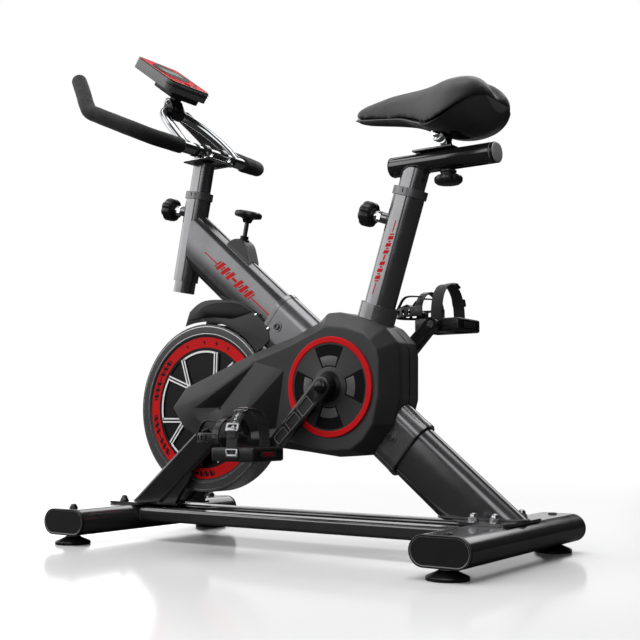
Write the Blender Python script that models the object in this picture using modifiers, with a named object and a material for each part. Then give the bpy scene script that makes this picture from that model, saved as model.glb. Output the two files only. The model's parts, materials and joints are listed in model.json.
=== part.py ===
"""Indoor spin bike: frame, flywheel, drive, brake, saddle, handlebar and monitor as separate solids.

World frame: front of the bike is -X, rear is +X, the side with the left crank
and its disc is -Y, +Z is up.  The origin is on the floor, on the symmetry plane,
under the middle of the overall length.  The design below is drawn from the
middle of the two stabilisers, and its last step moves it to that origin.
Units are metres.  Points written as pairs are (x, z).
"""

import math
from collections import namedtuple

import bmesh
import bpy
from mathutils import Matrix, Vector

# ------------------------------------------------------------------ driving dimensions
GAP = 0.0003                      # clearance between neighbouring solids
ORIGIN_SHIFT = 0.0110             # from the stabilisers' middle to the overall length's middle
HANDS = (("left", -1), ("right", 1))

STAB_X = 0.4223                   # stabiliser centre, front and rear
STAB_Z = 0.045
STAB_LEN = 0.480
STAB_SECTION = STAB_W, STAB_H = 0.1096, 0.0512
STAB_WALL = 0.0025
FOOT_Y = 0.212

RAIL_IN, RAIL_OUT = 0.042, 0.080  # |Y| of the base rails
RAIL_Z0, RAIL_Z1 = 0.0385, 0.0655

# Flat-oval sections are (long, short).
BEAM_SECTION = (0.108, 0.050)     # beam and strut
NODE_SECTION = (0.119, 0.061)     # outside of the centre node
HEAD_SECTION = (0.056, 0.046)
SEAT_SECTION = (0.062, 0.050)
BAR_POST_SECTION = (0.0480, 0.0380)
SEAT_POST_SECTION = (0.0530, 0.0410)
SLEEVE_WALL = 0.0022
TUBE_WALL = 0.0025                # beam, strut, rails and posts

# A point on each centre line, and its slope.
SPINE_P = (-0.2765, 0.6217)
SPINE_SLOPE = -0.829              # dz/dx
HEAD_P = (-0.301, 0.636)
HEAD_SLOPE = 0.200                # dx/dz
SEAT_P = (0.235, 0.6565)
SEAT_SLOPE = 0.325                # dx/dz

WHEEL_C = (-0.240, 0.273)
WHEEL_R = 0.174
WHEEL_HALF = 0.029
CRANK_C = (0.107, 0.309)
CRANK_LEN = 0.175
CRANK_ANGLE = 225.0               # left arm at rest, degrees from +X towards +Z
DRIVE_R = 0.0850
DRIVEN_R = DRIVE_R / 2.6

LEG_IN, LEG_OUT = 0.0335, 0.0515  # |Y| of the fork legs
COVER_FACE = 0.0730               # |Y| of the belt covers' flat faces
COVER_WALL = 0.0024
BELT_Y = 0.0580                   # the belt runs at -Y
ARM_IN, ARM_OUT = 0.0900, 0.1040  # |Y| of the crank arms

BAR_R = 0.0125
BAR_X, BAR_Z = -0.2462, 0.8133
LOOP_R = 0.0105
GRIP_R = 0.0165

SLIDER_X0, SLIDER_X1 = 0.2035, 0.4205
SLIDER_Z = 0.7245
SLIDER_SECTION = (0.044, 0.037)
CLAMP = CLAMP_X, CLAMP_Z = 0.308, 0.7700   # saddle tilt axis
KNOB_X = 0.3210

# ------------------------------------------------------------------ scene and finishes
for old in list(bpy.data.objects):
    bpy.data.objects.remove(old, do_unlink=True)

PARTS = bpy.data.collections.new("indoor_spin_bike")
TOOLS = bpy.data.collections.new("cutters")
bpy.context.scene.collection.children.link(PARTS)
bpy.context.scene.collection.children.link(TOOLS)

# Base colour, roughness, metallic.
FINISH = {
    "gloss_black": ((0.010, 0.010, 0.012), 0.16, 0.35),
    "plastic_black": ((0.014, 0.014, 0.015), 0.48, 0.0),
    "plastic_grey": ((0.055, 0.056, 0.060), 0.42, 0.0),
    "chrome": ((0.78, 0.79, 0.80), 0.08, 1.0),
    "steel": ((0.46, 0.46, 0.47), 0.32, 1.0),
    "iron": ((0.075, 0.076, 0.08), 0.35, 0.8),
    "red": ((0.62, 0.030, 0.028), 0.35, 0.0),
    "rubber": ((0.016, 0.016, 0.017), 0.75, 0.0),
    "foam": ((0.030, 0.030, 0.032), 0.85, 0.0),
    "vinyl": ((0.045, 0.045, 0.047), 0.55, 0.0),
    "webbing": ((0.012, 0.012, 0.013), 0.80, 0.0),
    "felt": ((0.34, 0.30, 0.24), 0.95, 0.0),
}


def paint(obj, finish):
    """Give obj a material of its own in the named finish."""
    colour, roughness, metallic = FINISH[finish]
    mat = bpy.data.materials.new(obj.name + "_mat")
    mat.use_nodes = True
    shader = mat.node_tree.nodes["Principled BSDF"]
    shader.inputs["Base Color"].default_value = (*colour, 1.0)
    shader.inputs["Roughness"].default_value = roughness
    shader.inputs["Metallic"].default_value = metallic
    obj.data.materials.clear()
    obj.data.materials.append(mat)
    return obj


# ------------------------------------------------------------------ placements
def axes(origin, z, x):
    """A placement whose local Z is z and whose local X is as near x as it can be."""
    z = Vector(z).normalized()
    x = Vector(x)
    x = (x - x.dot(z) * z).normalized()
    matrix = Matrix((x, z.cross(x), z)).transposed().to_4x4()
    matrix.translation = Vector(origin)
    return matrix


def turned(origin, axis):
    """A placement for a round part on the given axis."""
    across = (1, 0, 0) if abs(Vector(axis).normalized().x) < 0.9 else (0, 1, 0)
    return axes(origin, axis, across)


def side_plane(y=0.0):
    """Local X, Y are world X, Z, and local Z points to -Y."""
    return axes((0, y, 0), (0, -1, 0), (1, 0, 0))


def cross_plane(x, y=0.0, z=0.0):
    """Local X, Y are world Y, Z, and local Z points to +X."""
    return axes((x, y, z), (1, 0, 0), (0, 1, 0))


def moved(x, y, z):
    return Matrix.Translation((x, y, z))


def point(pair, y=0.0):
    """The world point at (x, z) and the given y."""
    return Vector((pair[0], y, pair[1]))


# ------------------------------------------------------------------ outlines
def arc(centre, radius, start, sweep, steps):
    """Points along an arc; the angles are in degrees."""
    out = []
    for i in range(steps + 1):
        angle = math.radians(start + sweep * i / steps)
        out.append((centre[0] + radius * math.cos(angle), centre[1] + radius * math.sin(angle)))
    return out


def oval(long, short, steps=8):
    """A flat-oval outline, long along local X, with round ends."""
    radius = short / 2
    offset = long / 2 - radius
    return arc((offset, 0), radius, -90, 180, steps) + arc((-offset, 0), radius, 90, 180, steps)


def rounded(width, height, radius):
    """A rectangle with round corners."""
    x, y = width / 2 - radius, height / 2 - radius
    out = []
    for centre, start in (((x, -y), -90), ((x, y), 0), ((-x, y), 90), ((-x, -y), 180)):
        out += arc(centre, radius, start, 90, 3)
    return out


def tangent_loop(centre0, radius0, centre1, radius1, steps0=12, steps1=12):
    """Two circles and their outer tangents."""
    centre0, centre1 = Vector(centre0), Vector(centre1)
    run = centre1 - centre0
    base = math.degrees(math.atan2(run.y, run.x))
    spread = math.degrees(math.acos((radius0 - radius1) / run.length))
    return (
        arc(centre0, radius0, base + spread, 360 - 2 * spread, steps0)
        + arc(centre1, radius1, base - spread, 2 * spread, steps1)
    )


def arch(middle, half_width, base, rise, steps=12, power=1.0):
    """Points over an arch from middle - half_width to middle + half_width."""
    out = []
    for i in range(steps + 1):
        angle = math.pi * i / steps
        height = base + rise * max(math.sin(angle), 0) ** power
        out.append((middle - half_width * math.cos(angle), height))
    return out


def smooth_path(points, steps=2):
    """A Catmull-Rom path through the points."""
    pts = [Vector(p) for p in points]
    pts = [2 * pts[0] - pts[1]] + pts + [2 * pts[-1] - pts[-2]]
    out = []
    for i in range(1, len(pts) - 2):
        before, start, end, after = pts[i - 1 : i + 3]
        for k in range(steps):
            t = k / steps
            out.append(0.5 * (
                2 * start
                + (end - before) * t
                + (2 * before - 5 * start + 4 * end - after) * t**2
                + (3 * start - before - 3 * end + after) * t**3
            ))
    out.append(pts[-2])
    return out


def mirrored(path, side=-1):
    return [Vector((p.x, side * p.y, p.z)) for p in path]


def extended(path, length):
    """The path with its last point moved on by length."""
    return path[:-1] + [path[-1] + (path[-1] - path[-2]).normalized() * length]


def grown(section, amount):
    """A flat-oval section with both sizes changed by amount."""
    return (section[0] + amount, section[1] + amount)


# ------------------------------------------------------------------ solids
def add(name, data, matrix=None):
    obj = bpy.data.objects.new(name, data)
    PARTS.objects.link(obj)
    if matrix is not None:
        obj.matrix_world = matrix
    return obj


def finish_mesh(name, shape):
    """Turn a bmesh into mesh data and free it."""
    mesh = bpy.data.meshes.new(name)
    shape.to_mesh(mesh)
    shape.free()
    return mesh


def solid_of(obj):
    """The evaluated shape of obj as a welded mesh object that takes its place."""
    bpy.context.view_layer.update()
    graph = bpy.context.evaluated_depsgraph_get()
    mesh = bpy.data.meshes.new_from_object(obj.evaluated_get(graph))
    shape = bmesh.new()
    shape.from_mesh(mesh)
    bmesh.ops.remove_doubles(shape, verts=shape.verts, dist=1e-6)
    bmesh.ops.recalc_face_normals(shape, faces=shape.faces)
    shape.to_mesh(mesh)
    shape.free()
    name, matrix = obj.name, obj.matrix_world.copy()
    bpy.data.objects.remove(obj, do_unlink=True)
    return add(name, mesh, matrix)


def bevelled(obj, width):
    """Obj with its sharp edges bevelled."""
    bevel = obj.modifiers.new("edges", "BEVEL")
    bevel.width = width
    bevel.segments = 2
    bevel.limit_method = "ANGLE"
    bevel.angle_limit = math.radians(50)
    return solid_of(obj)


def add_spline(curve, points, cyclic):
    spline = curve.splines.new("POLY")
    spline.points.add(len(points) - 1)
    for target, place in zip(spline.points, points):
        target.co = (*place, 1)
    spline.use_cyclic_u = cyclic


def prism(name, outline, depth, matrix, hole=None):
    """A flat outline, with an optional hole, extruded depth/2 to each side."""
    curve = bpy.data.curves.new(name, "CURVE")
    curve.dimensions = "2D"
    curve.fill_mode = "BOTH"
    curve.extrude = depth / 2
    for loop in (outline, hole) if hole else (outline,):
        add_spline(curve, [(x, y, 0) for x, y in loop], True)
    return solid_of(add(name, curve, matrix))


def wire(name, path, radius):
    """A round bar along a path."""
    curve = bpy.data.curves.new(name, "CURVE")
    curve.dimensions = "3D"
    curve.bevel_depth = radius
    curve.bevel_resolution = 2
    curve.use_fill_caps = True
    add_spline(curve, path, False)
    return solid_of(add(name, curve))


def lathe(name, profile, origin, axis, segments, ring=False):
    """A turned shape. profile is (radius, height); ring closes it on itself."""
    shape = bmesh.new()
    verts = [shape.verts.new((radius, 0, height)) for radius, height in profile]
    for start, end in zip(verts, verts[1:]):
        shape.edges.new((start, end))
    if ring:
        shape.edges.new((verts[-1], verts[0]))
    obj = add(name, finish_mesh(name, shape), turned(origin, axis))
    screw = obj.modifiers.new("turn", "SCREW")
    screw.axis = "Z"
    screw.angle = 2 * math.pi
    screw.steps = screw.render_steps = segments
    screw.use_merge_vertices = True
    screw.merge_threshold = 1e-5
    return solid_of(obj)


def rod(name, start, end, radius, segments=16):
    start, end = Vector(start), Vector(end)
    run = end - start
    shape = bmesh.new()
    bmesh.ops.create_cone(
        shape, cap_ends=True, segments=segments, radius1=radius, radius2=radius, depth=run.length
    )
    return add(name, finish_mesh(name, shape), turned((start + end) / 2, run))


def y_rod(name, centre, y0, y1, radius, segments=16):
    """A rod along Y, on the axis through centre (x, z)."""
    return rod(name, point(centre, y0), point(centre, y1), radius, segments)


def z_rod(name, x, y, z0, z1, radius, segments=16):
    return rod(name, (x, y, z0), (x, y, z1), radius, segments)


def block(name, size, matrix, bevel=0.0):
    shape = bmesh.new()
    bmesh.ops.create_cube(shape, size=1.0)
    bmesh.ops.scale(shape, vec=size, verts=shape.verts)
    obj = add(name, finish_mesh(name, shape), matrix)
    return bevelled(obj, bevel) if bevel else obj


def skin(shape, rings):
    """Quads between neighbouring closed rings of vertices."""
    count = len(rings[0])
    for near, far in zip(rings, rings[1:]):
        for i in range(count):
            k = (i + 1) % count
            shape.faces.new((near[i], near[k], far[k], far[i]))


def loft(name, sections):
    shape = bmesh.new()
    rings = [[shape.verts.new(p) for p in section] for section in sections]
    skin(shape, rings)
    shape.faces.new(rings[0])
    shape.faces.new(rings[-1])
    bmesh.ops.recalc_face_normals(shape, faces=shape.faces)
    return add(name, finish_mesh(name, shape))


def bar_between(name, start, end, long_dir, section, steps=8, inner=None):
    """A flat-oval bar, or a tube if it has an inner section, from start to end."""
    start, end = Vector(start), Vector(end)
    run = end - start
    matrix = axes((start + end) / 2, run, long_dir)
    hole = oval(*inner, steps) if inner else None
    return prism(name, oval(*section, steps), run.length, matrix, hole)


def combine(obj, operation, others):
    """Boolean modifiers on obj; the other objects become hidden helpers."""
    for i, other in enumerate(others):
        for coll in list(other.users_collection):
            coll.objects.unlink(other)
        TOOLS.objects.link(other)
        other.hide_render = True
        other.display_type = "WIRE"
        mod = obj.modifiers.new(f"{operation.lower()}_{i}", "BOOLEAN")
        mod.operation = operation
        mod.solver = "EXACT"
        mod.object = other


def join(obj, *others):
    combine(obj, "UNION", others)


def cut(obj, *others):
    combine(obj, "DIFFERENCE", others)


def pivot(name, place, pieces):
    """An empty on a joint's axis that carries the moving pieces."""
    empty = add(name, None)
    empty.empty_display_size = 0.03
    empty.location = place
    bpy.context.view_layer.update()
    for piece in pieces:
        piece.parent = empty
        piece.matrix_parent_inverse = empty.matrix_world.inverted()


# ------------------------------------------------------------------ centre lines
def unit(x, z):
    return Vector((x, 0, z)).normalized()


def on_spine(x):
    return Vector((x, 0, SPINE_P[1] + SPINE_SLOPE * (x - SPINE_P[0])))


def on_head(z):
    return Vector((HEAD_P[0] + HEAD_SLOPE * (z - HEAD_P[1]), 0, z))


def on_seat(z):
    return Vector((SEAT_P[0] + SEAT_SLOPE * (z - SEAT_P[1]), 0, z))


HEAD_UP = unit(HEAD_SLOPE, 1)
SEAT_UP = unit(SEAT_SLOPE, 1)

# point(x or z) gives a place on the line; across is square to it in the XZ plane:
# up for the spine, forwards for the head and the seat.
Line = namedtuple("Line", "point across")
SPINE = Line(on_spine, unit(-SPINE_SLOPE, 1))
HEAD = Line(on_head, unit(-1, HEAD_SLOPE))
SEAT = Line(on_seat, unit(-1, SEAT_SLOPE))


def line_bar(name, line, start, end, section, steps=8, inner=None):
    """A flat-oval bar on a centre line; start and end are x on the spine, z on the others."""
    return bar_between(
        name, line.point(start), line.point(end), line.across, section, steps, inner
    )


# ------------------------------------------------------------------ base
CAP_FLANGE = 0.006
PLUG_IN, PLUG_OUT = 0.021, 0.002  # plug ends, measured in from the stabiliser's end
FOOT_R = 0.035
FOOT_HOLE_R = 0.0056
RAIL_CORNER_R = 0.006


def y_bar(name, x, y0, y1, section, inner=None):
    """A flat-oval bar along Y at stabiliser height."""
    return bar_between(name, (x, y0, STAB_Z), (x, y1, STAB_Z), (1, 0, 0), section, inner=inner)


def stabiliser(name, x):
    half = STAB_LEN / 2 - CAP_FLANGE - GAP
    tube = y_bar(name, x, -half, half, STAB_SECTION, grown(STAB_SECTION, -2 * STAB_WALL))
    cut(tube, *[
        z_rod(f"{name}_hole_{side}", x, side * FOOT_Y, -0.01, 0.1, FOOT_HOLE_R, 12)
        for side in (-1, 1)
    ])
    paint(tube, "gloss_black")


def end_cap(name, x, side):
    """A flange over the tube's end and a plug inside the tube."""
    end = STAB_LEN / 2
    cap = y_bar(name, x, side * (end - CAP_FLANGE), side * end, STAB_SECTION)
    section = grown(STAB_SECTION, -2 * (STAB_WALL + 2 * GAP))
    join(cap, y_bar(name + "_plug", x, side * (end - PLUG_IN), side * (end - PLUG_OUT), section))
    paint(cap, "plastic_black")


def foot(name, x, side):
    """A levelling foot: nut on top, stem through the tube and pad on the floor."""
    top = STAB_Z + STAB_H / 2
    low = STAB_Z - STAB_H / 2
    nut = 0.0095 if x < 0 else 0.0030     # an acorn nut in front, a flat plug at the back
    profile = [
        (0, top + nut), (0.0045, top + 0.90 * nut), (0.0085, top + 0.55 * nut),
        (0.0085, top + GAP), (0.005, top + GAP), (0.005, low - 0.0025),
        (0.013, low - 0.0030), (0.0165, low - 0.0050), (FOOT_R - 0.003, 0.0072),
        (FOOT_R, 0.0052), (FOOT_R, 0.0012), (FOOT_R - 0.002, 0.0), (0, 0.0),
    ]
    place = (x, side * FOOT_Y, 0)
    obj = paint(lathe(name, profile, place, (0, 0, 1), 14), "rubber")
    pivot(name + "_pivot", place, [obj])


def base_rail(name, side):
    width, height = RAIL_OUT - RAIL_IN, RAIL_Z1 - RAIL_Z0
    outer, bore = [
        rounded(width - 2 * inset, height - 2 * inset, RAIL_CORNER_R - inset)
        for inset in (0.0, TUBE_WALL)
    ]
    length = 2 * (STAB_X - STAB_W / 2 - GAP)
    matrix = cross_plane(0, side * (RAIL_IN + RAIL_OUT) / 2, (RAIL_Z0 + RAIL_Z1) / 2)
    paint(prism(name, outer, length, matrix, bore), "gloss_black")


for end_name, stab_x in (("front", -STAB_X), ("rear", STAB_X)):
    stabiliser(f"{end_name}_stabilizer", stab_x)
    for hand, side in HANDS:
        end_cap(f"{end_name}_{hand}_end_cap", stab_x, side)
        foot(f"{end_name}_{hand}_leveling_foot", stab_x, side)
for hand, side in HANDS:
    base_rail(f"{hand}_base_rail", side)

# ------------------------------------------------------------------ main beam
NODE_X0, NODE_X1 = -0.072, 0.243      # socket ends along the spine
BEAM_END, STRUT_START = 0.012, 0.172  # how far the tubes reach into the node
BEAM_BORE = grown(BEAM_SECTION, -2 * TUBE_WALL)
BRAKE_TOP = Vector((-0.1490, 0, 0.6640))
BRAKE_FOOT = Vector((-0.1962, 0, 0.4400))
BRAKE = (BRAKE_TOP - BRAKE_FOOT).normalized()
BRAKE_HOLE_R = 0.0068

beam = line_bar("main_beam", SPINE, -0.312, BEAM_END, BEAM_SECTION, inner=BEAM_BORE)
cut(
    beam,
    line_bar("beam_head_cut", HEAD, 0.50, 0.80, grown(HEAD_SECTION, 2 * GAP + 0.0004)),
    block(
        "beam_head_front", (0.12, 0.08, 0.34),
        axes(on_head(0.65) + HEAD.across * 0.052, HEAD_UP, HEAD.across),
    ),
    rod("beam_stem_hole", BRAKE_FOOT, BRAKE_TOP, BRAKE_HOLE_R, 14),
)
paint(beam, "gloss_black")

# ------------------------------------------------------------------ centre node
CUFF_TOP = 0.464
CUFF_SECTION = grown(SEAT_SECTION, 0.013)
SLEEVE_LOW = 0.3860                   # bottom of the seat sleeve, inside the cuff
SHELL_HALF, SHELL_R, SHELL_BORE_R = 0.034, 0.0245, 0.0190
POCKET_SECTION = grown(BEAM_SECTION, 2 * GAP)

node = line_bar("center_frame_node", SPINE, NODE_X0, NODE_X1, NODE_SECTION)
cut(node, line_bar(
    "node_passage", SPINE, BEAM_END - 0.012, STRUT_START + 0.012,
    (BEAM_SECTION[0] - 0.009, BEAM_SECTION[1] - 0.010), steps=5,
))
node = solid_of(node)
join(
    node,
    line_bar("seat_cuff", SEAT, 0.330, CUFF_TOP, CUFF_SECTION),
    y_rod("bottom_bracket_shell", CRANK_C, -SHELL_HALF, SHELL_HALF, SHELL_R, 24),
)
for side in (-1, 1):
    for tag, bolt_x in (("upper", -0.048), ("lower", 0.214)):
        place = on_spine(bolt_x)
        join(node, y_rod(
            f"socket_bolt_{tag}_{side}", (place.x, place.z), side * 0.029, side * 0.0350, 0.0062, 6
        ))
cut(
    node,
    line_bar("beam_pocket", SPINE, NODE_X0 - 0.03, BEAM_END + 0.0004, POCKET_SECTION),
    line_bar("strut_pocket", SPINE, STRUT_START - 0.0004, NODE_X1 + 0.03, POCKET_SECTION),
    line_bar(
        "sleeve_pocket", SEAT, SLEEVE_LOW - 0.0006, CUFF_TOP + 0.03, grown(SEAT_SECTION, 2 * GAP)
    ),
    y_rod("bb_bore", CRANK_C, -0.06, 0.06, SHELL_BORE_R, 24),
)
paint(node, "gloss_black")

# ------------------------------------------------------------------ plates on the stabilisers
PLATE_Z0 = STAB_Z + STAB_H / 2 + GAP
PLATE_T = 0.005
PLATE_TOP = PLATE_Z0 + PLATE_T
PLATE_X = STAB_X - 0.009              # |X| of the plate centres


def foot_plate(name, x, width):
    matrix = moved(x, 0, PLATE_Z0 + PLATE_T / 2)
    return prism(name, rounded(0.098, width, 0.014), PLATE_T, matrix)


def floor_cutter(name, length, width, x, y):
    """A block whose top is just inside the plate's underside."""
    return block(name, (length, width, 0.2), moved(x, y, PLATE_Z0 + 0.001 - 0.1))


def add_plate_bolts(body, tag, places):
    for i, (x, y) in enumerate(places):
        name = f"{tag}_bolt_{i}"
        join(body, z_rod(name, x, y, PLATE_TOP - 0.001, PLATE_TOP + 0.006, 0.0085, 6))


# ------------------------------------------------------------------ rear strut
strut = line_bar("rear_strut", SPINE, STRUT_START, 0.428, BEAM_SECTION, inner=BEAM_BORE)
cut(strut, floor_cutter("strut_floor", 0.4, 0.2, 0.42, 0))
join(strut, foot_plate("strut_plate", PLATE_X, 0.150))
add_plate_bolts(
    strut, "strut", ((0.4300, -0.055), (0.4300, 0.055), (0.390, -0.055), (0.390, 0.055))
)
paint(strut, "gloss_black")

# ------------------------------------------------------------------ front fork
LEG_A = Vector((-0.3795, 0, 0.0730))
LEG_B = Vector((-0.0335, 0, 0.3620))
LEG_DIR = (LEG_B - LEG_A).normalized()
LEG_N = Vector((-LEG_DIR.z, 0, LEG_DIR.x))
LEG_MID = (LEG_IN + LEG_OUT) / 2
LEG_T = LEG_OUT - LEG_IN
LEG_EXTRA = 0.03                      # length added below LEG_A, trimmed at the plate
# Outlines as (x, z).
DROPOUT = [
    (WHEEL_C[0] - 0.020, WHEEL_C[1] + 0.004), (WHEEL_C[0] - 0.015, WHEEL_C[1] + 0.017),
    (WHEEL_C[0], WHEEL_C[1] + 0.022), (WHEEL_C[0] + 0.016, WHEEL_C[1] + 0.017),
    (-0.110, 0.305), (-0.150, 0.240), (-0.230, 0.190), (-0.252, 0.205),
]
GUSSET = [
    (-0.352, PLATE_Z0 + 0.002), (-0.300, PLATE_Z0 + 0.002), (-0.288, 0.092),
    (-0.262, 0.118), (-0.252, 0.140), (-0.300, 0.135),
]
TAB = [
    (-0.372, PLATE_Z0 + 0.0005), (-0.290, PLATE_Z0 + 0.0005),
    (-0.290, PLATE_TOP), (-0.372, PLATE_TOP),
]


def fork_leg(side):
    middle = (LEG_A + LEG_B) / 2 + Vector((0, side * LEG_MID, 0)) - LEG_DIR * (LEG_EXTRA / 2)
    leg = prism(
        f"fork_leg_{side}", rounded(0.056, LEG_T, 0.0075), (LEG_B - LEG_A).length + LEG_EXTRA,
        axes(middle, LEG_DIR, LEG_N),
    )
    cut(leg, floor_cutter(f"fork_floor_{side}", 0.3, 0.1, -0.40, side * LEG_MID))
    return solid_of(leg)


fork = foot_plate("front_fork", -PLATE_X, 0.160)
for side in (-1, 1):
    leg_plane = side_plane(side * LEG_MID)
    join(
        fork,
        fork_leg(side),
        prism(f"fork_dropout_{side}", DROPOUT, 0.006, side_plane(side * (LEG_IN + 0.004))),
        prism(f"fork_tab_{side}", TAB, LEG_T, leg_plane),
        prism(f"fork_gusset_{side}", GUSSET, 0.010, leg_plane),
    )
add_plate_bolts(fork, "fork", ((-0.4300, -0.062), (-0.4300, 0.062), (-0.4300, 0.0)))
cut(fork, y_rod("fork_axle_hole", WHEEL_C, -0.08, 0.08, 0.0088, 20))
paint(fork, "gloss_black")

# ------------------------------------------------------------------ head and seat sleeves
HEAD_Z0, HEAD_Z1 = 0.5450, 0.7200
SEAT_Z1 = 0.6640
HEAD_PIN_Z, SEAT_PIN_Z = 0.6935, 0.6180
# Pull pin, outwards from the sleeve's front face: grip, waist, shoulder on the boss, pin.
PIN_PROFILE = [
    (0, 0.0600), (0.0150, 0.0596), (0.0235, 0.0560), (0.0255, 0.0500), (0.0245, 0.0390),
    (0.0205, 0.0335), (0.0120, 0.0310), (0.0100, 0.0240), (0.0105, 0.0138), (0.0043, 0.0138),
    (0.0043, -0.0005), (0.0030, -0.0015), (0, -0.0015),
]


def sleeve(part, line, low, top, section, pin):
    """A tube with a bored boss for its pull pin on the front."""
    face = section[0] / 2
    tube = line_bar(
        f"{part}_sleeve", line, low, top, section, inner=grown(section, -2 * SLEEVE_WALL)
    )
    join(tube, rod(
        f"{part}_pin_boss",
        pin + line.across * (face - 0.0010), pin + line.across * (face + 0.013), 0.0110,
    ))
    cut(tube, rod(
        f"{part}_pin_bore", pin + line.across * 0.020, pin + line.across * 0.06, 0.0046, 14
    ))
    paint(tube, "gloss_black")


def collar(name, line, up, top, section, post_section):
    """A plastic bush: a lip on the sleeve's rim and a skirt inside it."""
    rim = line.point(top)
    bore = grown(post_section, 2 * GAP)
    lip = bar_between(
        name, rim + up * GAP, rim + up * 0.0160, line.across, grown(section, 0.006), inner=bore
    )
    join(lip, bar_between(
        name + "_skirt", rim - up * 0.030, rim + up * 0.006, line.across,
        grown(section, -2 * SLEEVE_WALL - 2 * GAP), inner=bore,
    ))
    paint(lip, "plastic_black")


def pin_knob(name, base, outward):
    obj = paint(lathe(name, PIN_PROFILE, base, outward, 14), "plastic_black")
    pivot(name + "_pivot", base, [obj])


for part, line, up, low, top, section, post_section, pin_z in (
    ("head", HEAD, HEAD_UP, HEAD_Z0, HEAD_Z1, HEAD_SECTION, BAR_POST_SECTION, HEAD_PIN_Z),
    ("seat", SEAT, SEAT_UP, SLEEVE_LOW, SEAT_Z1, SEAT_SECTION, SEAT_POST_SECTION, SEAT_PIN_Z),
):
    pin = line.point(pin_z)
    sleeve(part, line, low, top, section, pin)
    collar(f"{part}_collar", line, up, top, section, post_section)
    pin_knob(f"{part}_pin_knob", pin + line.across * section[0] / 2, line.across)

# ------------------------------------------------------------------ belt covers
COVER_CLEAR = 0.0016                  # added to the sections the covers fit round
# Each corner: rim x, z and depth |y|, face x and z, seam depth |y|.
CORNERS = [
    (-0.2916, 0.2722, 0.0660, -0.2295, 0.2718, 0.0545),
    (-0.2563, 0.3132, 0.0660, -0.1720, 0.3080, 0.0545),
    (-0.0787, 0.3793, 0.0640, -0.0700, 0.3640, 0.0545),
    (0.0068, 0.4072, 0.0520, 0.0160, 0.3910, 0.0420),
    (0.0579, 0.4357, 0.0340, 0.0800, 0.4165, GAP),
    (0.0765, 0.4521, 0.0340, 0.0960, 0.4232, GAP),
    (0.1042, 0.4525, 0.0340, 0.1410, 0.4175, GAP),
    (0.1603, 0.4380, 0.0340, 0.1780, 0.4060, GAP),
    (0.2039, 0.4189, 0.0340, 0.1954, 0.3928, GAP),
    (0.2314, 0.3900, 0.0340, 0.2080, 0.3740, GAP),
    (0.2355, 0.3660, 0.0340, 0.2122, 0.3558, GAP),
    (0.2345, 0.2840, 0.0340, 0.2118, 0.2926, GAP),
    (0.2197, 0.2386, 0.0340, 0.1988, 0.2388, GAP),
    (0.1917, 0.2056, 0.0340, 0.1780, 0.2112, GAP),
    (0.1700, 0.1834, 0.0340, 0.1514, 0.1931, GAP),
    (0.1036, 0.1783, 0.0340, 0.0960, 0.1900, GAP),
    (0.0300, 0.1868, 0.0340, 0.0400, 0.1985, GAP),
    (-0.0373, 0.1949, 0.0520, -0.0082, 0.2076, 0.0420),
    (-0.1795, 0.1974, 0.0640, -0.1500, 0.2120, 0.0545),
    (-0.2605, 0.2310, 0.0660, -0.2180, 0.2480, 0.0545),
]


def cover_skin(name, side):
    """The cover's outer surface: seam to rim, rim to face, and the flat face."""
    shape = bmesh.new()
    new = shape.verts.new
    rings = [
        [new((x, side * seam, z)) for x, z, _, _, _, seam in CORNERS],
        [new((x, side * depth, z)) for x, z, depth, _, _, _ in CORNERS],
        [new((x, side * COVER_FACE, z)) for _, _, _, x, z, _ in CORNERS],
    ]
    skin(shape, rings)
    shape.faces.new(rings[-1])
    bmesh.ops.recalc_face_normals(shape, faces=shape.faces)
    # The surface is open, so make sure that its normals point away from the bike.
    outward = side * sum(face.normal.y * face.calc_area() for face in shape.faces)
    if outward < 0:
        bmesh.ops.reverse_faces(shape, faces=shape.faces)
    return add(name, finish_mesh(name, shape))


def cover(name, tag, side, crank_hole_r):
    obj = cover_skin(name, side)
    wall = obj.modifiers.new("wall", "SOLIDIFY")
    wall.thickness = COVER_WALL
    wall.offset = -1.0
    wall.use_even_offset = True
    obj = solid_of(obj)
    low, high = sorted((0.0, side * 0.12))
    cut(
        obj,
        y_rod(f"{tag}_crank_hole", CRANK_C, low, high, crank_hole_r, 28),
        line_bar(f"{tag}_node_clear", SPINE, -0.12, 0.33, grown(NODE_SECTION, COVER_CLEAR)),
        line_bar(f"{tag}_cuff_clear", SEAT, 0.34, 0.52, grown(CUFF_SECTION, COVER_CLEAR)),
        y_rod(f"{tag}_screw_hole", (-0.1607, 0.2714), low, high, 0.0048, 12),
    )
    paint(obj, "plastic_grey")


cover("left_belt_cover", "l", -1, 0.0300)
cover("right_belt_cover", "r", 1, 0.0150)

# ------------------------------------------------------------------ flywheel, axle, pulley
WHEEL_HUB = point(WHEEL_C)
HUB_R, HUB_BORE_R, HUB_HALF = 0.0230, 0.0092, 0.0315
WEB_OUT, WEB_IN = 0.0262, 0.0212      # |Y| of the outer and inner faces of the side discs
BELT_IN, BELT_OUT = BELT_Y - 0.004, BELT_Y + 0.004
GROOVE_DEPTH = 0.0018


def groove(bore, radius, flange):
    """The start of a pulley's profile: outer face, both flanges and the belt's groove."""
    edge, floor = radius + flange, radius - GROOVE_DEPTH
    return [
        (bore, BELT_OUT + 0.0008), (edge, BELT_OUT + 0.0008), (edge, BELT_OUT + 0.0003),
        (floor, BELT_OUT + 0.0003), (floor, BELT_IN - 0.0003), (edge, BELT_IN - 0.0003),
        (edge, BELT_IN - 0.0014),
    ]


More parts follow.
